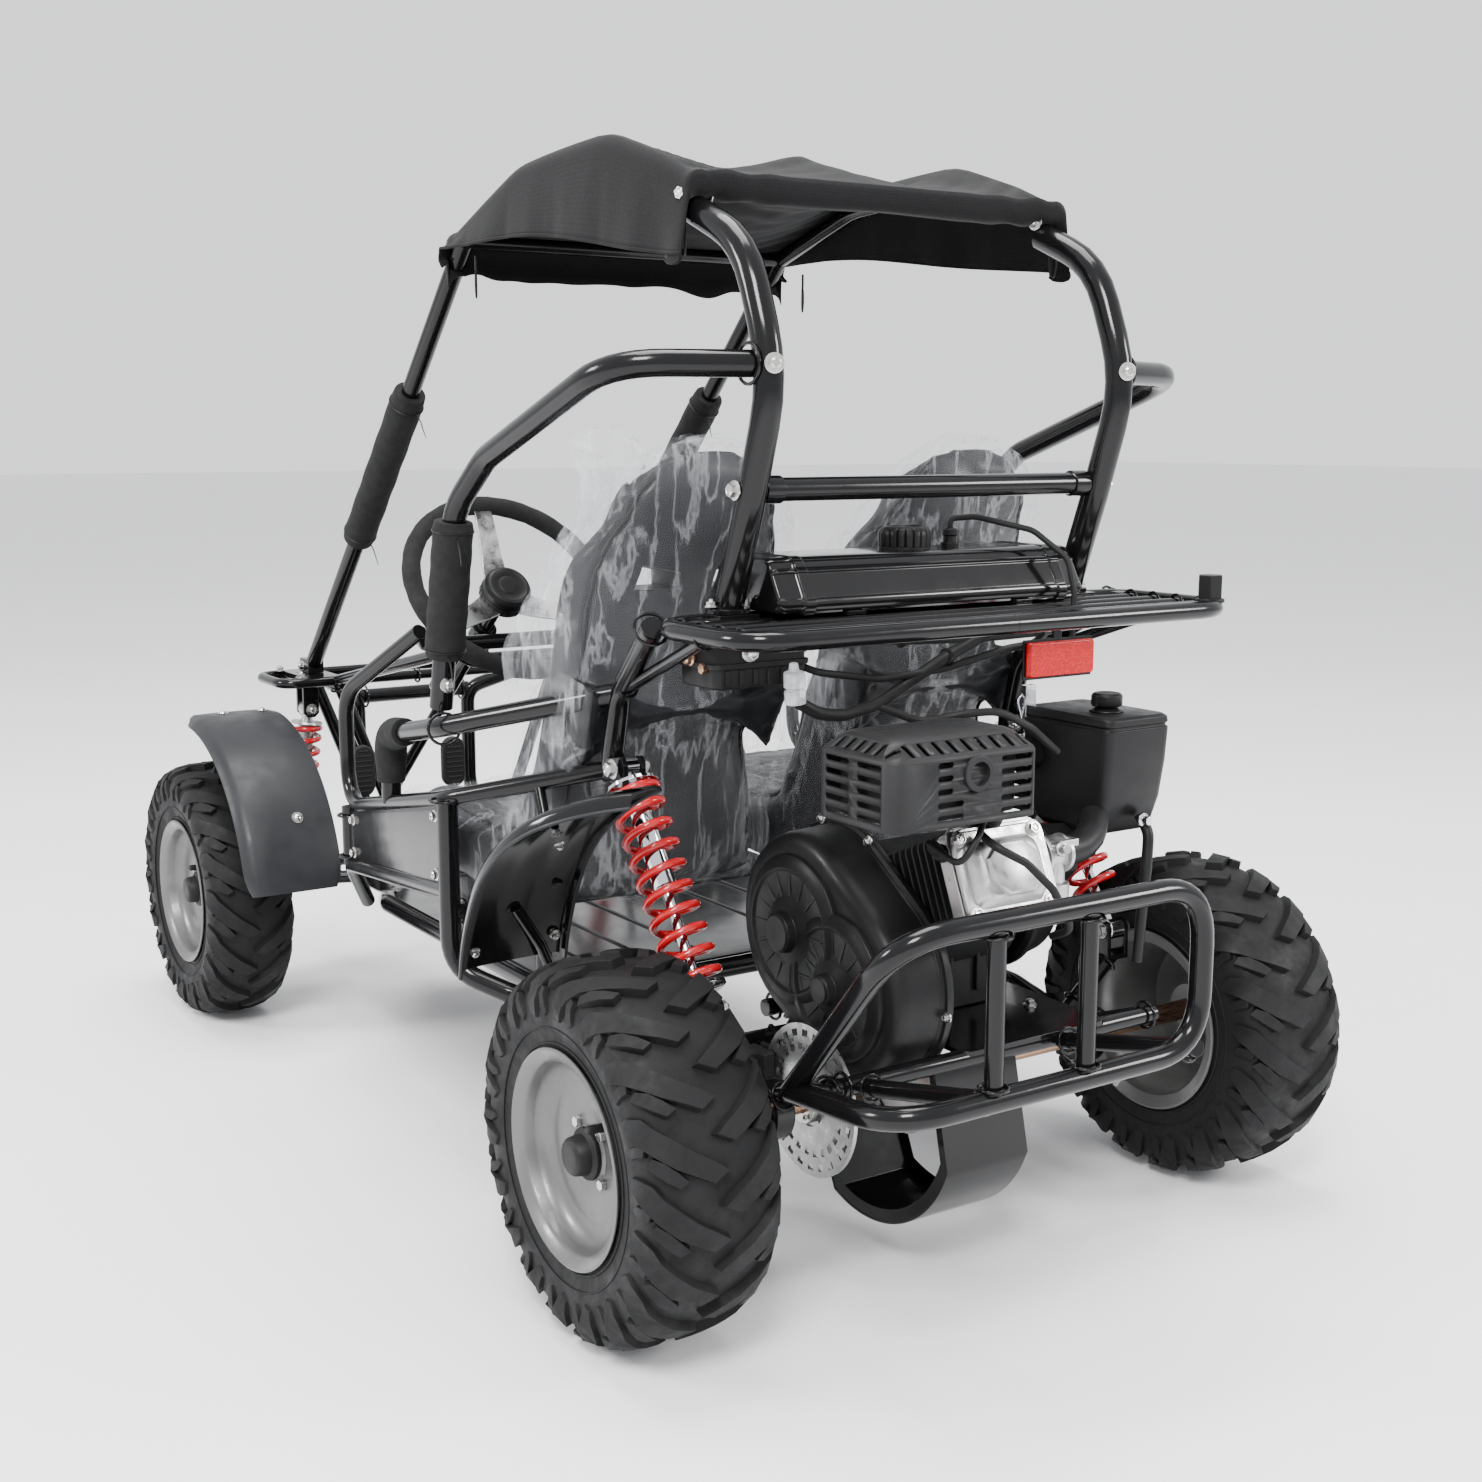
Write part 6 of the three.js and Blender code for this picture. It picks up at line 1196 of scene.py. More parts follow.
def make_rim(name, body, centre, side, half, replaced):
    """A pressed steel rim with its dish, hub cap and valve stem."""
    lip, disc = half + 4.9, half - 29  # distances of the bead's lip and of the dish from the middle
    profile = [(-lip, 112), (-lip + 1, 114.6), (-half - 2.5, 114.8), (-half - 0.6, 112), (-half, 104.5),
               (-half + 3, 101.6), (-half + 13, 101), (-half + 20, 97), (-half + 28, 88.5),
               (-half + 33, 87.6), (half - 34, 87.6), (half - 28, 88.5), (half - 20, 97), (half - 13, 101),
               (half - 3, 101.6), (half, 104.5), (half + 0.6, 112), (half + 2.5, 114.8), (lip - 1, 114.6),
               (lip, 112), (lip - 1.6, 109), (half - 1, 101.5), (half - 5, 98.6), (half - 14, 97.8),
               (half - 22, 93.5), (disc + 2.5, 84), (disc + 1, 79), (disc, 74), (disc, 48), (disc - 2, 43),
               (disc - 2, 30), (disc + 1.5, 26), (disc + 1.5, 11), (disc - 34, 10.8), (disc - 34, 31),
               (disc - 7, 31), (disc - 7, 46), (disc - 5, 50), (disc - 5, 76), (disc - 7, 83),
               (-half + 33, 84.4), (-half + 22, 93.5), (-half + 14, 97.8), (-half + 2, 98.4),
               (-lip + 1.6, 109)]
    cx, cy, cz = centre
    skin = Skin()
    skin.wheel(centre, [(side * x, r) for x, r in profile], 72)
    rim = skin.piece(name, body, "rim", 0, 40, node=replaced)
    cap = Skin()
    out = (side, 0, 0)
    cap.turned((cx + side * (disc + 1), cy, cz), out,
               [(0, 27), (2, 28), (5, 27.5), (8, 22), (20, 20), (23, 17.5), (24, 13), (24, 0)], 40)
    turn = 2.3 if side > 0 else 0.8
    spot = (cx + side * (disc + 0.5), cy + 70 * sin(turn), cz - 70 * cos(turn))
    cap.turned(spot, (side, 0.12 * sin(turn), -0.12 * cos(turn)),
               [(0, 8), (3, 8), (5, 5.5), (22, 4.4), (23, 4.8), (31, 4.6), (33, 3.4), (33, 0)], 20)
    cap.piece(name + "_cap", body, "boot", 0.4, 40)
    nuts = Skin()
    for k in range(4):
        a = pi / 4 + k * pi / 2
        hexagon(nuts, (cx + side * (disc - 2), cy + 36.5 * sin(a), cz - 36.5 * cos(a)), out, 6, 6)
    nuts.piece(name + "_nuts", body, "zinc", 0.5, 30)
    return rim


class KART_OT_wheels(bpy.types.Operator):
    """Builds the four tyres and rims"""
    bl_idname = "kart.wheels"
    bl_label = "Wheels"

    def execute(self, context):
        sizes = context.scene.kart_sizes
        for side, s in SIDES:
            rear, front = (s * 414, *REAR_AXLE), (s * 427, *FRONT_AXLE)
            make_tyre("rear_tread_" + side, "rear_axle", rear, 70, 74, 202.6, sizes, "rear_tyre_" + side)
            make_tyre("front_tread_" + side, "front_wheel_" + side, front, 55, 62, 204.6, sizes,
                      "front_tyre_" + side)
            make_rim("rear_wheel_" + side, "rear_axle", rear, s, 70, "rear_rim_" + side)
            make_rim("front_wheel_" + side, "front_wheel_" + side, front, s, 55, "front_rim_" + side)
        return {"FINISHED"}


# Suspension
def helix(foot, axis, length, radius, turns, start=0.0, steps=26):
    """The centre line of a coil spring with closed end turns."""
    axis = Vector(axis).normalized()
    side = axis.orthogonal().normalized()
    up = axis.cross(side)
    line = []
    total = int(turns * steps)
    for i in range(total + 1):
        t = i / total
        rise = t
        flat = 0.75 / turns
        if t < flat:
            rise = flat * 0.45 * (t / flat) ** 2
        elif t > 1 - flat:
            rise = 1 - flat * 0.45 * ((1 - t) / flat) ** 2
        else:
            rise = mix(flat * 0.45, 1 - flat * 0.45, (t - flat) / (1 - 2 * flat))
        a = start + 2 * pi * turns * t
        line.append(Vector(foot) + axis * (length * rise) + (side * cos(a) + up * sin(a)) * radius)
    return line


def make_shock(end, side, top, foot, eye_axis, radius, turns, wire, long_top):
    """A damper with its eyes, collars and coil spring."""
    top, foot = Vector(top), Vector(foot)
    down = (foot - top).normalized()
    length = (foot - top).length
    body, rod = f"{end}_shock_body_{side}", f"{end}_shock_rod_{side}"
    eye_axis = Vector(eye_axis)
    upper = Skin()
    upper.turned(top - eye_axis * 11, eye_axis, bored(22, 7, 13, 1), 32)
    upper.turned(top, down, [(9, 8.5), (long_top, 9.5), (long_top + 1, radius + 3),
                             (long_top + 5, radius + 4), (long_top + 6, radius - 4), (long_top + 7, 13.2),
                             (length * 0.5, 13.2), (length * 0.5 + 2, 12), (length * 0.5 + 2, 0)], 32)
    upper.piece(f"{end}_damper_{side}", body, "chrome" if end == "rear" else "cast", 0.4, 40,
                node=body, slot="damper_chrome")
    lower = Skin()
    lower.turned(foot - eye_axis * 11, eye_axis, bored(22, 7, 13, 1), 32)
    lower.turned(foot, -down, [(9, 8.5), (20, 9.5), (21, radius + 2), (22, radius + 4), (26, radius + 4),
                               (27, radius - 4), (30, 12), (44, 11), (46, 6.2), (length * 0.5 - 6, 6.2),
                               (length * 0.5 - 6, 0)], 32)
    lower.piece(f"{end}_damper_rod_{side}", rod, "chrome", 0.4, 40, node=rod, slot="damper_chrome")
    for point, name in ((top, body), (foot, rod)):
        bushes = Skin()
        bushes.turned(point - eye_axis * 11.2, eye_axis,
                      bored(22.4, 5, 7.4), 24)
        bushes.piece(name + "_bush", name, "boot")
    start, stop = top + down * (long_top + 6 + wire), foot - down * (26.5 + wire)
    coil = Skin()
    coil.sweep(helix(start, down, (stop - start).length, radius, turns), wire, 14)
    spring = coil.piece(f"{end}_coil_{side}", body, "spring", 0, 60, node=f"{end}_spring_{side}")
    blended(spring, body, rod, start, stop)


class KART_OT_shocks(bpy.types.Operator):
    """Builds the four coil-over dampers"""
    bl_idname = "kart.shocks"
    bl_label = "Shocks"

    def execute(self, context):
        wire = context.scene.kart_sizes.spring_wire * 1000
        for side, s in SIDES:
            make_shock("rear", side, (s * 300, -188.2, 561.5), (s * 300, -22, 322), X, 27, 10, wire, 20)
            make_shock("front", side, (s * 262, FRONT_SHOCK_Y, 484), (s * 292, FRONT_SHOCK_Y, 252), Y, 22,
                       8.5, wire * 0.95, 20)
        return {"FINISHED"}


class KART_OT_front_end(bpy.types.Operator):
    """Builds the front arms, knuckles, tie rods and fenders"""
    bl_idname = "kart.front_end"
    bl_label = "Front end"

    def execute(self, context):
        y0, z0 = FRONT_AXLE
        rod = column_point(-9.85, 35)
        for side, s in SIDES:
            arm = Skin()
            for y in (y0 - 88, y0 + 88):
                arm.turned((s * 135, y - 17, z0), Y, bored(34, 6, 11), 24)
                joined(arm, [(s * 140, y, z0), (s * 336, mix(y, y0, 0.88), z0)], LIGHT)
            joined(arm, [(s * 238, mix(y0 - 88, y0, 0.44), z0), (s * 238, mix(y0 + 88, y0, 0.44), z0)], SLAT)
            for low, high in ((251.4, 257.4), (152.6, 158.6)):
                arm.prism([(s * x, y0 + y, low) for x, y in (
                    (336, -17), (352, -17), (361, -9), (363, 0), (361, 9), (352, 17), (336, 17))],
                    (0, 0, high - low))
            arm.block((331, y0 - 10, 152.6), (337, y0 + 10, 257.4), s)
            for gap in (-14.4, 14.4):
                arm.prism([(s * x, FRONT_SHOCK_Y + gap - 3, z) for x, z in (
                    (279, z0), (279, 256), (284, 262), (300, 262), (331, 246), (331, z0))], (0, 6, 0))
            arm.piece("front_arm_tubes_" + side, "front_arm_" + side, "frame", 0.6, 40,
                      node="front_arm_" + side)
            pins = Skin()
            through_bolt(pins, (s * 292, FRONT_SHOCK_Y, 252), Y, 17.6, 5)
            through_bolt(pins, (s * 350, y0, z0), Z, 52.5, 5.5)
            pins.piece("front_arm_bolts_" + side, "front_arm_" + side, "zinc")

            knuckle = Skin()
            knuckle.turned((s * 350, y0, z0 - 46), Z,
                           bored(92, 9, 13, 1), 28)
            knuckle.turned((s * 350, y0, z0), (s, 0, 0), [(0, 14), (14, 14), (24, 13), (68, 13), (68.5, 10),
                                                          (104, 10), (106, 8), (106, 0)], 28)
            knuckle.prism([(s * x, y, rod.z - 3.5) for x, y in (
                (341, y0 + 4), (359, y0 + 4), (357, rod.y), (354, rod.y + 7), (350, rod.y + 9),
                (346, rod.y + 7), (343, rod.y))], (0, 0, 7))
            knuckle.tube(sided([(350, y0, 226), (341, y0 - 41, 226), (341, y0 - 41, 297), (341, y0, 435),
                                (341, y0, 478)],
                               s), 7, 30)
            knuckle.block((328, y0 - 9, 473), (420, y0 + 9, 477), s)
            knuckle.piece("knuckle_forging_" + side, "knuckle_" + side, "satin", 0.6, 40,
                          node="steering_knuckle_" + side)

            fender = Skin()
            rows = []
            steps = 30
            for i in range(steps + 1):
                t = i / steps
                a = radians(mix(9, 93, t))
                pinch = 10 * max(0, 1 - t / 0.10) ** 2 + 10 * max(0, 1 - (1 - t) / 0.10) ** 2
                swell = 3 * sin(pi * t)
                section = [(315 + pinch, 277), (318 + pinch, 280.6), (330, 282.4), (365, 283 + swell * 0.2),
                           (410, 283 + swell * 0.2), (447, 282), (459 - pinch * 0.6, 277), (465 - pinch, 268),
                           (462.5 - pinch, 266.5), (457 - pinch * 0.6, 274.5), (446, 279.2), (410, 280),
                           (365, 280), (330, 279.4), (320 + pinch, 277.6)]
                rows.append([(s * x, y0 + r * cos(a), z0 + r * sin(a)) for x, r in section])
            fender.loft(rows)
            fender.piece("front_fender_shell_" + side, "knuckle_" + side, "fender", 0, 40,
                         node="front_fender_" + side)
            screws = Skin()
            for x, degrees_up in ((341, 89), (405, 89), (372, 32)):
                a = radians(degrees_up)
                spot = (s * x, y0 + 283.2 * cos(a), z0 + 283.2 * sin(a))
                screws.turned(spot, (0, cos(a), sin(a)),
                              [(0, 0), (0, 9), (0.9, 9), (1.0, 5.5), (3.6, 4.4), (4.4, 2.6), (4.4, 0)], 20)
            screws.piece("front_fender_screws_" + side, "knuckle_" + side, "zinc")

            tie = Skin()
            eye_x = 190 + s * 14
            tie.turned((eye_x, *(column_point(-16.3, 35))[1:]), Vector(COLUMN_TOP) - Vector(COLUMN_FOOT),
                       bored(13, 4, 9), 24)
            reach = abs(s * 337.4 - eye_x)
            tie.turned((eye_x, rod.y, rod.z), (s, 0, 0),
                       [(0, 6.5), (12, 7.5), (26, 7.5), (27, 5.2), (reach - 40, 5.2), (reach - 39, 7.5),
                        (reach - 22, 7.5), (reach - 20, 9), (reach - 1, 9), (reach, 8), (reach, 0)], 24)
            tie.piece("tie_rod_bar_" + side, "tie_rod_" + side, "satin", 0.4, 40,
                      node="tie_rod_" + side)
            nuts = Skin()
            for along in (32, reach - 47):
                hexagon(nuts, (eye_x + s * along, rod.y, rod.z), (s, 0, 0), 8, 6)
            nuts.piece("tie_rod_nuts_" + side, "tie_rod_" + side, "zinc", 0.4, 30)
        return {"FINISHED"}


# Drive train
class KART_OT_swing_arm(bpy.types.Operator):
    """Builds the swing arm, engine cradle, chain guard and rear bumper"""
    bl_idname = "kart.swing_arm"
    bl_label = "Swing arm"

    def execute(self, context):
        skin = Skin()
        zc = 261.5  # height of the cradle's tubes
        for s in (1, -1):
            skin.turned((s * 196 - 26, -318, 248), X, bored(52, 8, 17, 1), 28)
            skin.tube(sided([(196, -318, 248), (232, -127, 234.5), (232, -30, 213)], s), 15, 60)
            skin.turned((s * 232 - 13, 0, 203), X, bored(26, 13.4, 34, 2), 40)
            skin.turned((s * 232 - 15, 0, 203), X, bored(30, 13.4, 25), 36)
            joined(skin, [(s * 232, 17, 223.4), (s * 232, 117.5, zc)], LIGHT)
            joined(skin, [(s * 98, -127, 234.5), (s * 98, -149.5, zc)], LIGHT)
            joined(skin, [(s * 232, -22, 230), (s * 300, -22, 288)], LIGHT)
            skin.block((s * 300 - 17.4, -35, 284.8), (s * 300 + 17.4, -9, 290.8))
            for x in (282.6, 311.4):
                mount_ear(skin, s * x, s * (x + 6), eye_outline(-22, 322, 12, 288, 13))
        across(skin, -127, 234.5, 232, LIGHT)
        across(skin, 117.5, zc, 232, LIGHT)
        across(skin, -149.5, zc, 137, LIGHT)
        plate = [(x, y, 266) for x, y in rounded(-150, 62, -160, 128, 12)]
        skin.prism(plate, (0, 0, 6))
        # wide strip round the sprocket, with its inner face drawn in towards the axle
        axle, strip = REAR_AXLE[1], 156
        arc = [round_x((0, 0, axle), strip, radians(mix(-112, -20, i / 24)))[1:] for i in range(25)]
        outer = [(-152.5, zc)] + arc + [(120.5, zc)]
        inner = [(y * 0.981 + 0.3, axle + (z - axle) * 0.981) for y, z in outer]
        skin.loft([[(x, y, z) for y, z in outer + inner[::-1]] for x in (-15, -14, 99, 100)])
        # sloping cheeks of the guard
        for x in (-13.6, 98.4):
            cheek = [(x, y * 0.985, axle + (z - axle) * 0.985) for y, z in outer]
            back = [(x, mix(y, 10, 0.10), mix(z, 215, 0.10)) for y, z in outer]
            skin.loft([[(px - 0.8, py, pz) for px, py, pz in cheek + back[::-1]],
                       [(px + 0.8, py, pz) for px, py, pz in cheek + back[::-1]]])
        # caliper bracket beside the disc
        skin.prism([(163, -48, 250), (163, -96, 262), (163, -110, 232), (163, -96, 200), (163, -70, 205)],
                   (5, 0, 0))
        skin.piece("swing_arm_tubes", "swing_arm", "frame", 0.6, 40, node="swing_arm")
        caliper = Skin()
        caliper.block((169, -104, 196), (174, -62, 240))
        caliper.block((182, -104, 196), (196, -62, 240))
        caliper.block((169, -108, 204), (196, -99, 232))
        caliper.turned((196, -84, 218), X, [(0, 15), (6, 15), (8, 13), (8, 0)], 28)
        caliper.piece("brake_caliper", "swing_arm", "dark_cast", 2.0, 30)
        bolts = Skin()
        for s in (1, -1):
            for a in range(4):
                turn = pi / 4 + a * pi / 2
                bolt(bolts, (s * 245.5, 27 * sin(turn), 203 + 27 * cos(turn)), (s, 0, 0), 3, 0, False)
            through_bolt(bolts, (s * 300, -22, 322), X, 17.5, 5.5)
        for x, y in ((-110, -110), (20, -110), (-110, 40), (20, 40)):
            bolt(bolts, (x, y, 272), Z, 4.5, 3)
        bolts.piece("swing_arm_bolts", "swing_arm", "zinc")

        bumper = Skin()
        corner = (300, 140, 282)
        bumper.tube([corner, (318, 330, 484), (-76, 330, 484), (-76, 330, 310), (318, 330, 310), corner], 12,
                    62, 24)
        for x in (199.8, 81.6):
            joined(bumper, [(x, 330, 310), (x, 330, 484)], 9.5)
        for x in (199.8, -76):
            joined(bumper, [(x, 330, 310), (x, 129, zc)], 9.5)
        joined(bumper, [corner, (236, 129, zc)], 9.5)
        bumper.piece("rear_bumper_tubes", "swing_arm", "frame", 0.6, 40, node="rear_bumper")
        return {"FINISHED"}


class KART_OT_rear_axle(bpy.types.Operator):
    """Builds the axle with its hubs, toothed sprocket and drilled disc"""
    bl_idname = "kart.rear_axle"
    bl_label = "Rear axle"

    def execute(self, context):
        skin = Skin()
        y, z = REAR_AXLE
        skin.turned((-455, y, z), X, [(0, 0), (0, 9), (2, 10), (34, 10), (34.6, 12.5), (875.4, 12.5),
                                      (876, 10),
                                             (908, 10), (910, 9), (910, 0)], 32)
        skin.piece("axle_shaft", "rear_axle", "copper", 0, 40, node="rear_axle")
        hubs = Skin()
        for x in (46, 178):
            hubs.turned((x - 12.5, y, z), X, bored(25, 13, 25, 1), 36)
            for k in range(4):
                bolt(hubs, round_x((x + 12.5, y, z), 19, pi / 4 + k * pi / 2), X, 2.6, 0, False)
        hubs.piece("axle_hubs", "rear_axle", "zinc", 0.4, 30)

        # drilled disc: rings of slots between two circles
        disc = Skin()
        spokes, rows = 24, [(86.5, 0), (80, 0.10), (72, 0.22), (64, 0.34), (56, 0.46), (30, 0.6)]
        step = 2 * pi / spokes

        def spot(radius, turn, x):
            return (x, y + radius * sin(turn), z - radius * cos(turn))

        for face in (1, -1):
            x = 178 + face * 2.4
            grid = [[disc.mesh.verts.new(lay(spot(r, (k + share) * step / 2, x))) for k in range(spokes * 2)]
                    for r, share in rows]
            for j in range(len(rows) - 1):
                for k in range(spokes * 2):
                    if j in (1, 3) and k % 2 == (j == 3):
                        continue
                    disc.face((grid[j][k], grid[j][(k + 1) % (spokes * 2)],
                               grid[j + 1][(k + 1) % (spokes * 2)], grid[j + 1][k]))
            if face == 1:
                front = grid
        for j in range(len(rows)):
            for k in range(spokes * 2):
                n = (k + 1) % (spokes * 2)
                outer = j == 0 or j == len(rows) - 1
                hole = (j in (1, 2) and k % 2 == 0) or (j in (3, 4) and k % 2 == 1)
                if outer or hole:
                    disc.face((front[j][k], front[j][n], grid[j][n], grid[j][k]))
        for j in (1, 3):
            for k in range(spokes * 2):
                if k % 2 == (j == 3) or (k - 1) % 2 == (j == 3):
                    disc.face((front[j][k], front[j + 1][k], grid[j + 1][k], grid[j][k]))
        disc.piece("brake_disc", "rear_axle", "disc", 0, 30)

        sprocket = Skin()
        teeth = 36
        outline = []
        for k in range(teeth):
            for share, radius in ((0.0, 56.5), (0.22, 57.5), (0.4, 62), (0.6, 62), (0.78, 57.5)):
                a = 2 * pi * (k + share) / teeth
                outline.append((43.6, y + radius * cos(a), z + radius * sin(a)))
        sprocket.prism(outline, (4.8, 0, 0))
        sprocket.piece("sprocket", "rear_axle", "steel", 0.4, 30)
        return {"FINISHED"}


class KART_OT_chain(bpy.types.Operator):
    """Builds the roller chain from the belt drive to the axle"""
    bl_idname = "kart.chain"
    bl_label = "Chain"

    def execute(self, context):
        big, small = Vector((0, 203)), Vector((14, 332))
        r_big, r_small = 59.5, 22.0
        gap = (small - big).length
        lean = asin((r_big - r_small) / gap)
        heading = atan2(small.y - big.y, small.x - big.x)
        path = []
        for i in range(40):
            a = heading + pi / 2 - lean + (2 * pi - (pi - 2 * lean)) * i / 39
            path.append(big + Vector((cos(a), sin(a))) * r_big)
        for i in range(16):
            a = heading - pi / 2 + lean + (pi - 2 * lean) * i / 15
            path.append(small + Vector((cos(a), sin(a))) * r_small)
        path.append(path[0])
        lengths = [0.0]
        for a, b in zip(path, path[1:]):
            lengths.append(lengths[-1] + (b - a).length)
        links = int(lengths[-1] / 12.7 / 2) * 2
        skin = Skin()
        centres = []
        for k in range(links):
            target, i = lengths[-1] * k / links, 0
            while lengths[i + 1] < target:
                i += 1
            t = (target - lengths[i]) / (lengths[i + 1] - lengths[i])
            centres.append(path[i] * (1 - t) + path[i + 1] * t)
        for k, here in enumerate(centres):
            there = centres[(k + 1) % links]
            skin.turned((46 - 5, here.x, here.y), X, [(0, 0), (0, 3.6), (10, 3.6), (10, 0)], 10)
            along = there - here
            turn = atan2(along.y, along.x)
            wide = 4.4 if k % 2 else 6.0
            for x in (46 - wide - 0.6, 46 + wide - 0.6):
                outline = []
                for centre, start in ((here, turn + pi / 2), (there, turn - pi / 2)):
                    for i in range(5):
                        a = start + pi * i / 4
                        outline.append((x, centre.x + 4.6 * cos(a), centre.y + 4.6 * sin(a)))
                skin.prism(outline, (1.2, 0, 0))
        skin.piece("drive_chain", "swing_arm", "steel", 0, 40)
        return {"FINISHED"}


# Engine: the crank's y and z, and the cylinder's lean
CRANK = (-58, 385)
SLANT = radians(23)


def slanted(x, along, up):
    """A point in the engine cylinder's own frame."""
    c, s = cos(SLANT), sin(SLANT)
    return (x, CRANK[0] + along * c - up * s, CRANK[1] + along * s + up * c)


class KART_OT_engine(bpy.types.Operator):
    """Builds the crankcase, finned cylinder, fan housing and valve cover"""
    bl_idname = "kart.engine"
    bl_label = "Engine"

    def execute(self, context):
        def slab(skin, x0, x1, a0, a1, u0, u1, corner=6):
            outline = rounded(x0, x1, u0, u1, corner, 3)
            skin.loft([[slanted(x, a0, u) for x, u in outline], [slanted(x, a1, u) for x, u in outline]])

        case = Skin()
        case.turned((60, *CRANK), (-1, 0, 0), [(0, 0), (0, 50), (3, 66), (8, 76), (14, 82), (165, 82),
                                               (172, 76), (178, 60),
                                                  (178, 0)], 48)
        case.block((-104, -118, 272.5), (46, 2, 385))
        for x in (-60, -20, 20):
            case.block((x, -124, 290), (x + 5, 8, 372))
        case.turned((20, -20, 330), Y, [(0, 0), (0, 30), (26, 30), (30, 26), (30, 0)], 32)
        slab(case, -29, 69, 50, 202, -47, 47, 10)
        case.piece("engine_case", "swing_arm", "dark_cast", 2.2, 30, node="engine_block")
        fins = Skin()
        for i in range(11):
            a = 76 + i * 11.4
            slab(fins, -37, 77, a, a + 3.2, -56, 56, 9)
        fins.piece("cylinder_fins", "swing_arm", "dark_cast", 0.7, 30)
        head = Skin()
        slab(head, -24, 96, 203, 220, -52, 52, 12)
        slab(head, -28, 100, 222, 227, -56, 56, 14)
        slab(head, -26, 98, 229, 235.6, -52, 52, 14)
        head.piece("cylinder_head", "swing_arm", "cast", 1.2, 30)

        lid = Skin()
        mid = 46

        def lid_ring(along, inset, corner):
            return [slanted(x, along, u) for x, u in rounded(mid - 59 + inset, mid + 59 - inset, inset - 48,
                                                             48 - inset, corner, 7)]

        lid.loft([lid_ring(236, 1, 14), lid_ring(236.8, 0, 15), lid_ring(241, 0, 15),
                  lid_ring(242.4, 1.5, 15), lid_ring(243, 8, 12), lid_ring(242.8, 12, 11),
                  lid_ring(245.5, 13, 12), lid_ring(252, 15, 14), lid_ring(257, 18, 16),
                  lid_ring(259.5, 22, 17)])
        shield = []
        for along, grow in ((258, 0), (264, -1.5), (265.6, -5)):
            shield.append([slanted(mid + x * (1 + grow / 40), along, u * (1 + grow / 40))
                           for x, u in ((-33, -10), (-18, -28), (18, -28), (35, -10), (35, 14), (16, 30),
                                        (-16, 30), (-33, 14))])
        lid.loft(shield)
        lid.piece("valve_cover_lid", "swing_arm", "cast", 1.0, 30, node="valve_cover")
        bolts = Skin()
        axis = Vector(slanted(0, 1, 0)) - Vector(slanted(0, 0, 0))
        for x in (-51, 51):
            for u in (-40, 40):
                bolt(bolts, slanted(mid + x, 242.4, u), axis, 4.6, 0)
        for a, u in ((0.3, 62), (1.6, 62), (2.9, 62), (4.3, 62), (5.5, 62)):
            bolt(bolts, round_x((61, *CRANK), u, a), X, 3.4, 0)
        bolts.piece("engine_bolts", "swing_arm", "zinc")

        fan = Skin()
        fan.turned((-118, *CRANK), (-1, 0, 0), [(0, 60), (1, 84), (6, 90), (14, 90), (22, 84), (52, 78),
                                                (58, 70), (60, 52),
                                                   (57, 50), (57, 0)], 56)
        outline = [(-58, 470), (0, 478), (40, 486), (60, 470), (52, 430), (20, 400), (-30, 400)]
        fan.loft([[(-118, y, z) for y, z in outline], [(-170, y * 0.95, z - 2) for y, z in outline]])
        fan.piece("fan_housing", "swing_arm", "satin", 2.5, 30)
        grille = Skin()
        for a in turns(14):
            grille.tube([round_x((x, *CRANK), r, a) for x, r in ((-176, 16), (-178, 34), (-176, 49))], 1.8,
                        20, 8)
        for r in (16, 28, 40, 49):
            grille.sweep([round_x((-177, *CRANK), r, a) for a in turns(40)], 1.6, 8, closed=True)
        grille.turned((-175, *CRANK), (-1, 0, 0), [(0, 0), (0, 17), (8, 17), (12, 13), (12, 0)], 32)
        grille.piece("starter_grille", "swing_arm", "plastic")

        small = Skin()
        plug = slanted(98, 214, 30)
        small.turned(plug, (0.8, 0.3, 0.5), [(0, 9), (10, 9), (12, 7), (26, 7), (28, 5.5), (36, 4.2),
                                             (36, 0)], 20)
        lead = [tuple(Vector(plug) + Vector((0.8, 0.3, 0.5)).normalized() * 34), (128, 190, 500),
                (110, 196, 528), (60, 150, 540), (10, 100, 532), (-60, 20, 480)]
        small.tube(lead, 3.6, 40, 12)
        small.tube([slanted(70, 250, 40), (96, 205, 520), (60, 214, 500), (30, 222, 470), (-6, 216, 420),
                    (-20, 170, 400)],
                   4.4, 40, 12)
        small.piece("plug_cap_and_leads", "swing_arm", "boot")
        carb = Skin()
        carb.turned((-30, 122, 476), (-1, 0, 0), [(0, 17), (8, 17), (9, 24), (14, 24), (15, 16), (40, 16),
                                                  (41, 22), (46, 22),
                                                   (46, 0)], 28)
        carb.turned((-62, 122, 470), (0, 0, -1), [(0, 14), (24, 14), (26, 19), (42, 19), (46, 15), (46, 0)],
                    28)
        carb.turned((-50, 138, 486), (0.2, 1, 0.2), [(0, 8), (16, 8), (17, 5), (26, 5), (26, 0)], 20)
        carb.block((-84, 108, 486), (-56, 140, 494))
        carb.piece("carburettor", "swing_arm", "cast", 1.0, 30)
        return {"FINISHED"}


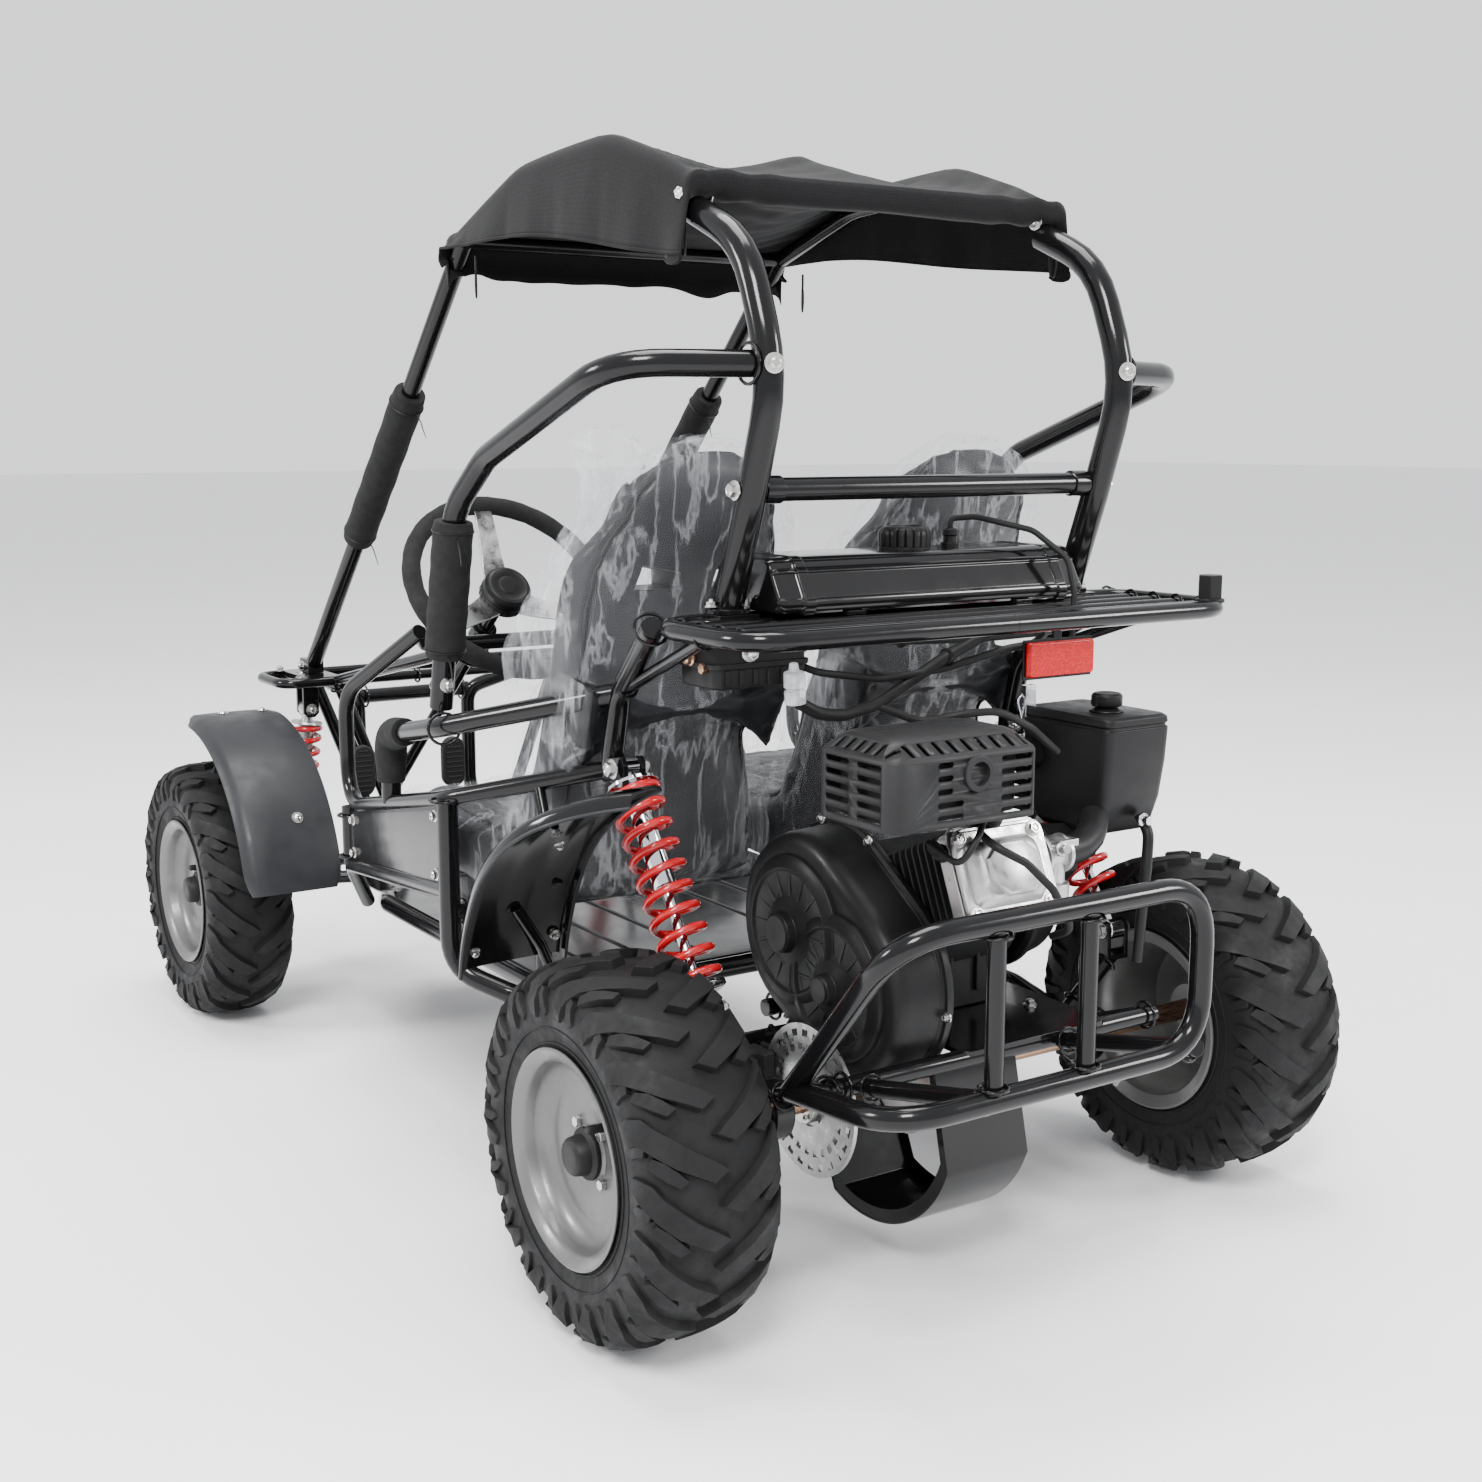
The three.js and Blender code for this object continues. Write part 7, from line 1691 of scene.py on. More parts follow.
class KART_OT_engine_boxes(bpy.types.Operator):
    """Builds the muffler guard, the air cleaner and the belt cover"""
    bl_idname = "kart.engine_boxes"
    bl_label = "Engine boxes"

    def execute(self, context):
        guard = Skin()
        # a hollow shell, open below, with its slots cut afterwards
        x0, x1, y0, y1, z0, z1 = 34, 228, 76, 204, 546, 636

        def shell(inset, low, high):
            rings = []
            for z, draw in ((low, 0), (high - 21, 0), (high - 18, 1.5), (high - 3, 16.5), (high - 0.6, 21),
                            (high, 27)):
                d = draw + inset
                rings.append([(x, y, z - (inset if z > low else 0)) for x,
                              y in rounded(x0 + d, x1 - d, y0 + d, y1 - d, 16, 4)])
            return rings

        outer = [guard.ring(r) for r in shell(0, z0, z1)]
        for low, high in zip(outer, outer[1:]):
            guard.band(low, high)
        guard.face(outer[-1])
        inner = [guard.ring(r) for r in shell(2.5, z0, z1)]
        for low, high in zip(inner, inner[1:]):
            guard.band(high, low)
        guard.face(list(reversed(inner[-1])))
        guard.band(outer[0], inner[0])
        made = guard.piece("muffler_guard", "swing_arm", "guard", 0, 40, node="muffler")
        slots = Skin()

        def slot_cut(centre, width, height, run, rise, lean=0.0):
            """Cuts one round-ended slot whose width and height follow the two directions."""
            run, rise, centre = Vector(run), Vector(rise), Vector(centre)
            through = run.cross(rise).normalized() * 9
            outline = rounded(-width / 2, width / 2, -height / 2, height / 2, min(width, height) / 2 - 0.1, 3)
            slots.prism([centre + run * (u + lean * v) + rise * v - through for u, v in outline], through * 2)

        up, bevel = Vector((0, 0, 1)), 0.5 ** 0.5
        for i in range(5):
            z = 556 + i * 13.4
            wide = 20 if i > 1 else 34
            slot_cut((170 - wide / 2, 204, z), wide, 6, X, up)
            slot_cut((66, 204, z), 43, 6, X, up)
            for y in (114, 167):
                slot_cut((228, y, z), 40, 6, Y, up)
                slot_cut((34, y, z), 40, 6, Y, up)
        for i in range(9):
            slot_cut((53 + i * 18.4, 194.5, 626.5), 6.4, 17, X, (0, -bevel, bevel), 0.35)
        for i in range(7):
            slot_cut((218.5, 90 + i * 16.4, 626.5), 6.0, 16, Y, (-bevel, 0, bevel), 0.3)
        cut_away(made, slots)

        can = Skin()
        can.loft(box_rings(44, 218, 86, 194, ((552, 0), (606, 0)), 30, 5))
        can.turned((120, 194, 598), Y, [(0, 16), (10, 16), (11, 18.5), (14.5, 18.5), (15.5, 17), (15.5, 12.5),
                                        (3, 12.5),
                                                (3, 0)], 40)
        start = slanted(40, 219, 56.5)
        can.tube([start, (44, 142, 536), (64, 136, 556)], 15, 40)
        can.piece("muffler_can", "swing_arm", "dark_cast", 2.0, 30)
        flange = Skin()
        flange.loft([[slanted(x, a, up) for x, a in rounded(15, 65, 200, 238, 10, 3)] for up in (56.4, 63)])
        for x in (22, 58):
            bolt(flange, slanted(x, 219, 63), Vector(slanted(0, 0, 1)) - Vector(slanted(0, 0, 0)), 4, 5)
        flange.piece("exhaust_flange", "swing_arm", "steel", 0.8, 30)

        box = Skin()
        x0, x1, y0, y1, z0, z1 = -252, -150, -34, 112, 478, 616
        rings = []
        for z, dx, dy, cut_off in ((z0, 12, 26, 10), (z0 + 8, 6, 18, 12), (z0 + 40, 3, 8, 12),
                                   (z0 + 84, 1, 2, 12), (z1 - 18, 0, 0, 12), (z1 - 15, 0, 0, 12),
                                   (z1 - 14, 2, 2, 12), (z1 - 11, 2, 2, 12), (z1 - 10, 0, 0, 12),
                                   (z1 - 3, 1, 1, 12), (z1, 5, 5, 12)):
            rings.append([(x, y, z) for x, y in rounded(x0 + dx, x1 - dx, y0 + dy, y1 - dy, cut_off, 4)])
        box.loft(rings)
        box.piece("air_box", "swing_arm", "plastic", 1.2, 30, node="air_cleaner")
        knob = Skin()
        knob.turned((-196, 62, 616), Z, [(0, 20), (2, 20), (4, 14), (6, 12), (7, 17), (9, 18), (19, 18),
                                         (22, 15),
                                                  (22, 0)], 36)
        knob.block((-216, 58, 623), (-176, 66, 636))
        knob.turned((-160, -10, 560), (1, 0, 0.15), [(0, 15), (0.1, 18), (22, 17), (40, 15), (40, 0)], 28)
        knob.tube([(-156, 88, 500), (-128, 112, 486), (-104, 120, 478), (-76, 122, 476)], 17, 40)
        knob.tube([(-212, 104, 500), (-214, 118, 480), (-206, 124, 440), (-200, 120, 330)], 6.5, 30, 14)
        knob.piece("air_box_knob", "swing_arm", "plastic", 1.5, 30)
        latch = Skin()
        latch.block((-162, -30, 604), (-146, -20, 640))
        latch.tube([(-147, -28, 630), (-140, -28, 622), (-147, -28, 600)], 1.6, 8, 8)
        latch.turned((-208, 112.5, 496), Y, [(0, 0), (0, 8), (3, 8), (4, 5), (12, 5), (12, 0)], 20)
        latch.piece("air_box_latch", "swing_arm", "chrome", 0.5, 30)

        cover = Skin()
        front, rear = (-68, 378, 118), (14, 332, 112)
        lean = atan2(rear[1] - front[1], rear[0] - front[0])

        def lobes(x, grow, share=1.0, steps=22):
            points = []
            for (cy, cz, radius), start in ((front, pi / 2), (rear, -pi / 2)):
                r = radius * share + grow
                for i in range(steps + 1):
                    a = lean + start + pi * i / steps
                    points.append((x, cy + r * cos(a), cz + r * sin(a)))
            return points

        cover.loft([lobes(78, -3), lobes(78, 0), lobes(82, 1.5), lobes(88, 1.5), lobes(89, -3),
                    lobes(92, -3.5), lobes(93, -4.5), lobes(132, -6), lobes(142, -8), lobes(148, -12),
                    lobes(151, -18), lobes(152, -26)])
        cover.turned((60.5, *CRANK), X, [(0, 48), (20, 48), (20, 0)], 40)
        cover.piece("belt_cover_shell", "swing_arm", "plastic", 0.8, 30, node="belt_cover")
        trims = Skin()
        for cy, cz, radius, hub in ((-68, 378, 88, 24), (14, 332, 84, 18)):
            trims.turned((150, cy, cz), X, [(0, radius), (6, radius - 1), (10, radius - 6), (12, radius - 16),
                                            (9, radius - 20),
                                                     (8, hub + 22), (10, hub + 14), (14, hub + 6), (16, hub),
                                                     (26, hub - 1), (28, hub - 4), (28, 0)], 56)
            for a in turns(16):
                side = Vector((0, -sin(a), cos(a))) * 2
                low, high = (Vector(round_x((154.5, cy, cz), r, a)) for r in (hub + 10, radius - 12))
                trims.prism([low - side, low + side, high + side, high - side], (5, 0, 0))
        trims.piece("belt_cover_lobes", "swing_arm", "plastic", 0.8, 30)
        screws = Skin()
        for k, (x, y, z) in enumerate(lobes(93, -10, steps=8)):
            if k % 2 == 0:
                bolt(screws, (88, mix(y, -20, -0.09), mix(z, 355, -0.09)), X, 3.4, 0)
        screws.piece("belt_cover_screws", "swing_arm", "zinc")
        return {"FINISHED"}


# Rear fenders: angle from the rear, radius and outer edge at each row
FENDER_ROWS = [(153, 296.0, 484.0), (140, 314.9, 484.0), (126, 337.1, 479.9), (112, 351.9, 467.4),
               (102, 361.9, 434.3), (95, 368.2, 387.4)]


def fender_point(s, angle, radius, x, drop=0.0):
    a = radians(angle)
    r = radius - drop
    return (s * x, r * cos(a), REAR_AXLE[1] + r * sin(a))


class KART_OT_rear_fenders(bpy.types.Operator):
    """Builds the two rear fenders with their rolled edges, a lighter bead along the edges for their painted highlight,
    stays and bolts
    """
    bl_idname = "kart.rear_fenders"
    bl_label = "Rear fenders"

    def execute(self, context):
        inner_x = 346.0
        for side, s in SIDES:
            skin = Skin()
            rings, edge, back = [], [], []
            steps = 36
            for i in range(steps + 1):
                angle, radius, outer = curved(FENDER_ROWS, i / steps * (len(FENDER_ROWS) - 1))
                width = outer - inner_x
                lip = 13.0 * min(1.0, width / 138)
                press = 1.6 * sin(pi * i / steps)
                top = [(0, lip), (0.4, 3.0), (3.0, -1.2), (10.0, -3.0)]
                top += [(width * t, -3.0 + 3.6 * t * t + press * cos(6 * pi * t))
                        for t in (0.2, 0.3, 0.4, 0.5, 0.6, 0.7)]
                top += [(width - 20.0, 0.6), (width - 10.0, 2.2), (width - 4.0, 5.0), (width - 1.0, 10.0),
                        (width, 18.2)]
                under = [(width - 2.7, 18.2), (width - 3.6, 11.2), (width - 6.6, 7.6), (width - 12.0, 5.2),
                         (width - 21.0, 3.5)]
                under += [(width * t, 0.0 + 3.6 * t * t + press * cos(6 * pi * t))
                          for t in (0.7, 0.6, 0.5, 0.4, 0.3, 0.2)]
                under += [(11.0, 0.0), (5.0, 1.6), (3.2, 4.4), (2.8, lip)]
                rings.append([fender_point(s, angle, radius, inner_x + x, drop) for x, drop in top + under])
                # lines for the lighter edge beads below, which carry a painted highlight
                edge.append(fender_point(s, angle, radius, outer - 1.4, 18.2))
                back.append(fender_point(s, angle, radius, inner_x + 1.4, lip))
            skin.loft(rings)
            skin.piece("rear_fender_shell_" + side, "chassis", "gloss", 0.3, 40,
                       node="rear_fender_" + side)
            # lighter grey beads along the outer and inner edges: partly the moulded lip, partly a painted highlight of
            # the light along the rolled edges
            trim = Skin()
            trim.sweep(edge, 2.2, 10)
            trim.sweep(back, 1.8, 10)
            trim.piece("rear_fender_edge_" + side, "chassis", "fender")
            stays = Skin()
            stays.tube([(s * 354.8, -300, 532.6), (s * 367.8, -230, 426)], 6.5)
            stays.tube([(s * 306, -306, 250), (s * 352, -266, 300), (s * 380, -250, 352),
                        (s * 416, -241, 404)], 7, 30)
            stays.turned((s * 416, -243, 401), (s * 0.2, -0.75, 0.6), [(0, 11), (2.5, 11), (2.5, 0)], 20)
            stays.piece("rear_fender_stays_" + side, "chassis", "frame", 0.4, 40)
            bolts = Skin()
            for angle, x in ((118, 404), (149.5, 460), (148, 360)):
                radius = curved(FENDER_ROWS, 2 if angle == 118 else 0.3)[1]
                out = Vector(fender_point(s, angle, 1, 0)) - Vector((0, 0, REAR_AXLE[1]))
                bolt(bolts, fender_point(s, angle, radius - (8.5 if angle == 118 else 0.4), x), -out, 3.6, 5)
                bolt(bolts, fender_point(s, angle, radius + 1.5, x), out, 3.6, 0)
            bolts.piece("rear_fender_bolts_" + side, "chassis", "zinc")
        return {"FINISHED"}


# Tank section: shares of half depth and of height, front half from the bottom up, then whole
TANK_HALF = [(0.92, 0.0), (0.975, 0.05), (1.0, 0.14), (1.0, 0.22), (0.985, 0.26), (0.955, 0.28),
             (0.945, 0.31), (0.77, 0.7), (0.775, 0.74), (0.73, 0.8), (0.705, 0.81), (0.67, 0.89),
             (0.6, 0.965), (0.54, 0.99), (0.45, 1.0)]
TANK_BACK = [(-u, w) for u, w in reversed(TANK_HALF)]
TANK_SECTION = TANK_BACK[-4:] + TANK_HALF + TANK_BACK[:-4]
TANK_MIDDLE, TANK_BASE, TANK_DEEP, TANK_TALL = -75.0, 742.4, 77.0, 62.0


class KART_OT_tank(bpy.types.Operator):
    """Builds the fuel tank, its cap and valve, and the battery box"""
    bl_idname = "kart.tank"
    bl_label = "Fuel tank"

    def execute(self, context):
        skin = Skin()

        def section(x, share):
            return [(x, TANK_MIDDLE + u * TANK_DEEP * share,
                     TANK_BASE + TANK_TALL * ((w - 0.5) * share + 0.5))
                    for u, w in TANK_SECTION]

        ends = [(-216, 0.86), (-214.5, 0.9), (-211, 0.93), (-206, 0.945), (-190, 0.945), (-187.5, 0.965),
                (-186, 1.0), (-174, 1.0), (-172, 0.965)]
        rows = ends + [(x, 0.965) for x in (-120, -60, 0, 60, 120)] + [(-x, share) for x,
                                                                       share in reversed(ends)]
        skin.loft([section(x, share) for x, share in rows])
        for s in (1, -1):
            skin.block((s * 120 - 12, -152, 740.6), (s * 120 + 12, 2, 745))
        skin.piece("tank_shell", "chassis", "gloss", 0.8, 30, node="fuel_tank")
        discs = Skin()
        for s in (1, -1):
            discs.turned((s * 214, TANK_MIDDLE, TANK_BASE + 27), (s, 0, 0),
                         [(0, 21), (1.2, 21), (2.0, 19.5), (1.4, 17), (1.4, 0)], 36)
        discs.turned((-4, TANK_MIDDLE, 803), Z, [(0, 30), (2.4, 30), (3.0, 28), (3.0, 0)], 40)
        discs.turned((-66, TANK_MIDDLE + 6, 803), Z, [(0, 11), (5, 11), (6, 8), (13, 7.5), (14, 9), (20, 9),
                                                      (22, 6), (22, 0)], 28)
        discs.piece("tank_fittings", "chassis", "plastic", 0.5, 30)
        hose = Skin()
        hose.tube([(-66, TANK_MIDDLE + 6, 822), (-66, TANK_MIDDLE + 6, 836), (-92, TANK_MIDDLE + 20, 838),
                   (-150, -20, 822), (-176, 12, 790), (-178, 22, 752), (-172, 26, 700)], 3.6, 26, 12)
        hose.piece("tank_vent_hose", "chassis", "boot")

        cap = Skin()
        rings = []
        count = 120
        for z, r, knurl in ((804.8, 28.4, 0.4), (806, 30.0, 1.0), (818, 30.6, 1.0), (822.5, 30.2, 1.0),
                            (826, 28.0, 0.5), (828.2, 25.0, 0.1), (828.8, 22.0, 0.0), (827.2, 20.0, 0.0),
                            (827.2, 2.0, 0.0)):
            ring = []
            for a in turns(count):
                groove = max(0.0, cos(20 * a)) ** 3 * 2.6 * knurl
                ring.append((-4 + (r - groove) * cos(a), TANK_MIDDLE + (r - groove) * sin(a), z))
            rings.append(ring)
        cap.loft(rings)
        cap.piece("tank_cap", "fuel_cap", "plastic", 0, 30, node="fuel_cap")

        box = Skin()
        x0, x1, y0, y1, z0, z1 = 173, 291, -89, -15, 667.6, 723.6
        rows = [(z0, 4), (z0 + 2, 1), (z0 + 20, 0), (z1 - 34.7, 0), (z1 - 34.2, -2.6), (z1 - 28.4, -3.2),
                (z1 - 28, 0), (z1 - 6, 0.6), (z1 - 1.5, 1.6), (z1, 5)]
        box.loft(box_rings(x0, x1, y0, y1, rows, 9))
        for i in range(6):
            x = 188 + i * 17.6
            box.block((x - 3, y1 - 0.5, z0 + 4), (x + 3, y1 + 1.6, z1 - 36))
        box.piece("battery_case", "chassis", "plastic", 0.8, 30, node="battery_box")
        posts = Skin()
        posts.turned((291.4, -60, 698), X, [(0, 8), (3, 8), (4, 6), (9, 6), (11, 4), (11, 0)], 24)
        hexagon(posts, (291.4, -34, 690), X, 6, 6)
        posts.piece("battery_terminals", "chassis", "copper", 0.6, 30)
        bolts = Skin()
        bolt(bolts, (248, -15, 706), Y, 5.5, 5)
        bolt(bolts, (200, -15, 712), Y, 4, 3)
        bolts.piece("battery_bolts", "chassis", "zinc")
        return {"FINISHED"}


# Seats: depth, rise, back depth, back rise, half width and bolster of each row as shares
SEAT_ROWS = [
    (0, 0.085, 0.026, 0.023, 0.84, 0), (0.026, 0.142, 0.075, 0, 0.955, 0.05),
    (0.12, 0.165, 0.12, 0, 0.99, 0.19), (0.3, 0.155, 0.31, 0, 1, 0.33), (0.602, 0.135, 0.665, 0, 0.98, 0.52),
    (0.673, 0.206, 0.79, 0.059, 0.93, 0.71), (0.707, 0.34, 0.83, 0.318, 0.83, 0.95),
    (0.726, 0.418, 0.853, 0.408, 0.8, 1), (0.741, 0.433, 0.859, 0.43, 0.79, 1),
    (0.737, 0.447, 0.865, 0.451, 0.79, 1), (0.786, 0.627, 0.906, 0.634, 0.82, 0.86),
    (0.823, 0.763, 0.947, 0.767, 0.78, 0.62), (0.861, 0.86, 0.977, 0.864, 0.65, 0.29),
    (0.891, 0.95, 1, 0.953, 0.58, 0.19), (0.932, 0.997, 0.981, 1, 0.48, 0),
]
SEAT_FRONT, SEAT_DEEP, SEAT_BASE, SEAT_RISE = -704.0, 532.0, 371.6, 556.4
SEAT_HALF, SEAT_BOLSTER, SEAT_X = 189.0, 42.0, 192.0


def seat_point(t, u, front, grow=0.0):
    """A point of the seat's skin at row t and u across, in millimetres from its middle."""
    def row(at):
        deep, high, back_deep, back_high, wide, bolster = curved(SEAT_ROWS,
                                                                 max(0.0, min(at, len(SEAT_ROWS) - 1.0)))
        return (SEAT_FRONT + SEAT_DEEP * deep, SEAT_BASE + SEAT_RISE * high,
                SEAT_FRONT + SEAT_DEEP * back_deep, SEAT_BASE + SEAT_RISE * back_high, SEAT_HALF * wide,
                SEAT_BOLSTER * bolster)

    now, low, high = row(t), row(t - 0.5), row(t + 0.5)
    rise = atan2(high[1] - low[1], high[0] - low[0])
    reach = abs(u)
    side = 0.0
    if reach > 0.45:
        side = 0.5 - 0.5 * cos(pi * min(1.0, (reach - 0.45) / 0.35))
    if reach > 0.84:
        side = mix(1.0, 0.45, ((reach - 0.84) / 0.16) ** 2)
    lift = now[5] * side - 6 * u * u if front else now[5] * 1.35 * u * u
    y, z = (now[0], now[1]) if front else (now[2], now[3])
    if not front and t < 4.2:
        lift *= 0.1
    x = u * now[4] * (1 if front else 1 - 0.06 * reach ** 6)
    crown = max(0.0, t - len(SEAT_ROWS) + 4.5) / 3.5
    z -= 30.0 * crown * u * u + 14.0 * crown * reach ** 5
    normal = Vector((0, -sin(rise), cos(rise))) * (1 if front else -1)
    out = Vector((copysign(reach ** 5, u), 0, 0)) + normal * (1 - 0.5 * reach ** 5)
    return Vector((x, y - sin(rise) * lift, z + cos(rise) * lift)) + out.normalized() * grow


def seat_skin(skin, s, rows, columns, grow=0.0, waver=None):
    """A closed seat-shaped skin, grown by a distance, at one side of the kart."""
    rings = []
    for i in range(rows + 1):
        share = i / rows
        t = share * (len(SEAT_ROWS) - 1)
        ring = [seat_point(t, mix(-1, 1, k / columns), True, grow) for k in range(columns + 1)]
        ring += [seat_point(t, mix(1, -1, k / columns), False, grow) for k in range(columns + 1)]
        ring = [p + Vector((s * SEAT_X, 0, 0)) for p in ring]
        if waver:
            middle = sum(ring, Vector()) / len(ring)
            ring = [p + (p - middle).normalized() * waver(p) for p in ring]
        rings.append(ring)
    skin.loft(rings)


def inflated(made, cap, voxel, frames=20):
    """Swells a closed piece like stuffing under its cover, by at most cap millimetres."""
    shell = made.modifiers.new("Voxels", "REMESH")
    shell.mode = "VOXEL"
    shell.voxel_size = voxel / 1000
    shell.use_smooth_shade = True
    apply_modifiers(made)
    rest = [v.co.copy() for v in made.data.vertices]
    cloth = made.modifiers.new("Stuffing", "CLOTH")
    cloth.settings.quality = 4
    cloth.settings.mass = 0.3
    cloth.settings.tension_stiffness = 20
    cloth.settings.compression_stiffness = 20
    cloth.settings.shear_stiffness = 10
    cloth.settings.bending_stiffness = 1.2
    cloth.settings.use_pressure = True
    cloth.settings.uniform_pressure_force = 4
    cloth.settings.effector_weights.gravity = 0
    cloth.collision_settings.use_collision = False
    cloth.point_cache.frame_end = frames
    scene = bpy.context.scene
    for number in range(1, frames + 1):
        scene.frame_set(number)
    graph = bpy.context.evaluated_depsgraph_get()
    swollen = [v.co.copy() for v in made.evaluated_get(graph).data.vertices]
    made.modifiers.clear()
    scene.frame_set(1)
    for vertex, before, after in zip(made.data.vertices, rest, swollen):
        step = after - before
        if step.length > cap / 1000:
            step = step.normalized() * cap / 1000
        vertex.co = before + step


def stitched(made, lines, depth, width):
    """Presses seam grooves into a piece along lines of layout points, and lays each line on the piece."""
    mesh = bmesh.new()
    mesh.from_mesh(made.data)
    mesh.normal_update()
    tree = BVHTree.FromBMesh(mesh)
    laid = []
    for line in lines:
        laid.append([tree.find_nearest(lay(p))[0] for p in line])
    points = [p for line in laid for p in line]
    seams = KDTree(len(points))
    for i, p in enumerate(points):
        seams.insert(p, i)
    seams.balance()
    for vertex in mesh.verts:
        _, _, gap = seams.find(vertex.co)
        if gap < width * 3 / 1000:
            vertex.co -= vertex.normal * (depth / 1000) * exp(-((gap * 1000 / width) ** 2))
    mesh.to_mesh(made.data)
    mesh.free()
    return laid


def blended(made, body, other, start, end):
    """Lets a piece stretch between two bodies, from start to end."""
    made.parent = None
    del made["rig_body"]
    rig.blend(made, body, other, start=lay(start), end=lay(end))


def piped(name, body, laid, radius, finish, smooth=2):
    """Piping along lines already laid on a piece."""
    skin = Skin()
    for line in laid:
        points = [(p.x * 1000, p.y * 1000 - SHIFT, p.z * 1000) for p in line]
        for _ in range(smooth):
            middle = [tuple(sum(c) / 3 for c in zip(*points[i - 1:i + 2])) for i in range(1, len(points) - 1)]
            points = [points[0]] + middle + [points[-1]]
        skin.sweep(points, radius, 8)
    return skin.piece(name, body, finish)


def seat_lines():
    """Seams of one seat round its middle: the panel edges, the cross seams and the sewn channels."""
    last = len(SEAT_ROWS) - 1
    lines = []
    for u in (-0.86, 0.86):
        lines.append([seat_point(mix(0.6, last - 0.9, i / 150), u * (1 - 0.06 * (i / 150)), True)
                      for i in range(151)])
    for u in (-0.45, 0.45):
        lines.append([seat_point(mix(0.7, last - 3.4, i / 130), u, True) for i in range(131)])
    for t in (4.4, 10.9):
        reach = 0.84 if t < 8 else 0.82
        lines.append([seat_point(t, mix(-reach, reach, i / 50), True) for i in range(51)])
    for t in (1.4, 2.1, 2.8, 3.5, 6.6, 9.6):
        lines.append([seat_point(t, mix(-0.44, 0.44, i / 36), True) for i in range(37)])
    lines.append([seat_point(mix(5.2, last - 0.7, i / 130), -0.8, False) for i in range(131)])
    lines.append([seat_point(mix(5.2, last - 0.7, i / 130), 0.8, False) for i in range(131)])
    return lines


class KART_OT_seats(bpy.types.Operator):
    """Builds the two padded seats with their seams, belt slots and clear wrapping"""
    bl_idname = "kart.seats"
    bl_label = "Seats"

    def execute(self, context):
        gap = context.scene.kart_sizes.film_gap * 1000
        for side, s in SIDES:
            skin = Skin()
            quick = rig.quick()
            seat_skin(skin, s, 80, 34, 0.0 if quick else -5.0)
            seat = skin.piece("seat_padding_" + side, "chassis", "seat", 0, 70, node="seat_" + side)
            if not quick:
                inflated(seat, 9, 8)
            for vertex in seat.data.vertices:
                if s * vertex.co.x < 0.0015:
                    vertex.co.x = s * 0.0015
            soft = seat.modifiers.new("Smooth", "SUBSURF")
            soft.levels = soft.render_levels = 1
            apply_modifiers(seat)
            shift = Vector((s * SEAT_X, 0, 0))
            lines = [[p + shift for p in line] for line in seat_lines()]
            laid = stitched(seat, lines, 3.2, 4.2)
            cutter = Skin()
            for u in (-1, 1):
                x = s * SEAT_X + u * 48
                cutter.prism([(x - 29, -420, 758), (x + 29, -420, 758), (x + 25, -420, 778),
                              (x + u * 24, -420, 786), (x - 26, -420, 776)], (0, 400, 0))
            cut_away(seat, cutter)
            for polygon in seat.data.polygons:
                polygon.use_smooth = True
            seat.data.set_sharp_from_angle(angle=radians(60))
            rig.padded(seat, fill=0.85)
            piped("seat_piping_" + side, "chassis", laid[:2] + laid[-2:], 2.4, "boot")
            self.wrap(side, s, gap)
        return {"FINISHED"}

    def wrap(self, side, s, gap):
        """The clear bag over one seat."""
        def waver(p):
            folds = ripple(p.x * 1.6, p.y * 0.6, p.z * 0.35, 26, 3.0 * s) * 5.0
            broad = ripple(p.x, p.y, p.z, 95, 8.0 * s) * 7.0
            return gap + 3.0 + broad + abs(folds)

        skin = Skin()
        seat_skin(skin, s, 120, 60, 2.0, waver)
        for vertex in skin.mesh.verts:
            if s * vertex.co.x < 0.0006:
                vertex.co.x = s * 0.0006
        skin.piece("seat_film_" + side, "chassis", "film", 0, 180)
        if s < 0:
            return
        rows = [(322, -318, 640, 56, 46), (318, -312, 690, 62, 44), (296, -306, 740, 60, 38),
                (272, -302, 800, 48, 30), (258, -300, 850, 38, 21), (254, -300, 880, 40, 20),
                (256, -300, 905, 48, 22), (258, -300, 922, 44, 18), (262, -300, 938, 26, 10)]
        bunch = Skin()
        rings = []
        around, along = 84, 70
        for i in range(along + 1):
            x, y, z, wide, deep = curved(rows, i / along * (len(rows) - 1))
            ring = []
            for a in turns(around):
                pleat = 1 + 0.1 * sin(9 * a + 0.02 * z) + 0.06 * sin(17 * a - 0.03 * z)
                crumple = ripple(cos(a) * 40, sin(a) * 40, z * (1.0 if z > 880 else 0.3), 14, 5.0)
                size = pleat + crumple * (0.3 if z > 880 else 0.16)
                ring.append((x + wide * cos(a) * size, y + deep * sin(a) * size,
                             z + 5 * ripple(a * 20, z, 0, 12, 2.0)))
            rings.append(ring)
        bunch.loft(rings)
        bunch.piece("seat_film_bunch", "chassis", "film", 0, 180)


# Canopy
CANOPY_FRONT, CANOPY_REAR = -712.0, -104.0


def bow_height(y):
    """The top of the roof bows at a place along the kart."""
    line = bent(BOW, 150, 10)
    for a, b in zip(line, line[1:]):
        if a.y <= y <= b.y:
            return mix(a.z, b.z, (y - a.y) / (b.y - a.y)) + 12.4
    return (line[0].z if y < line[0].y else line[-1].z) + 12.4


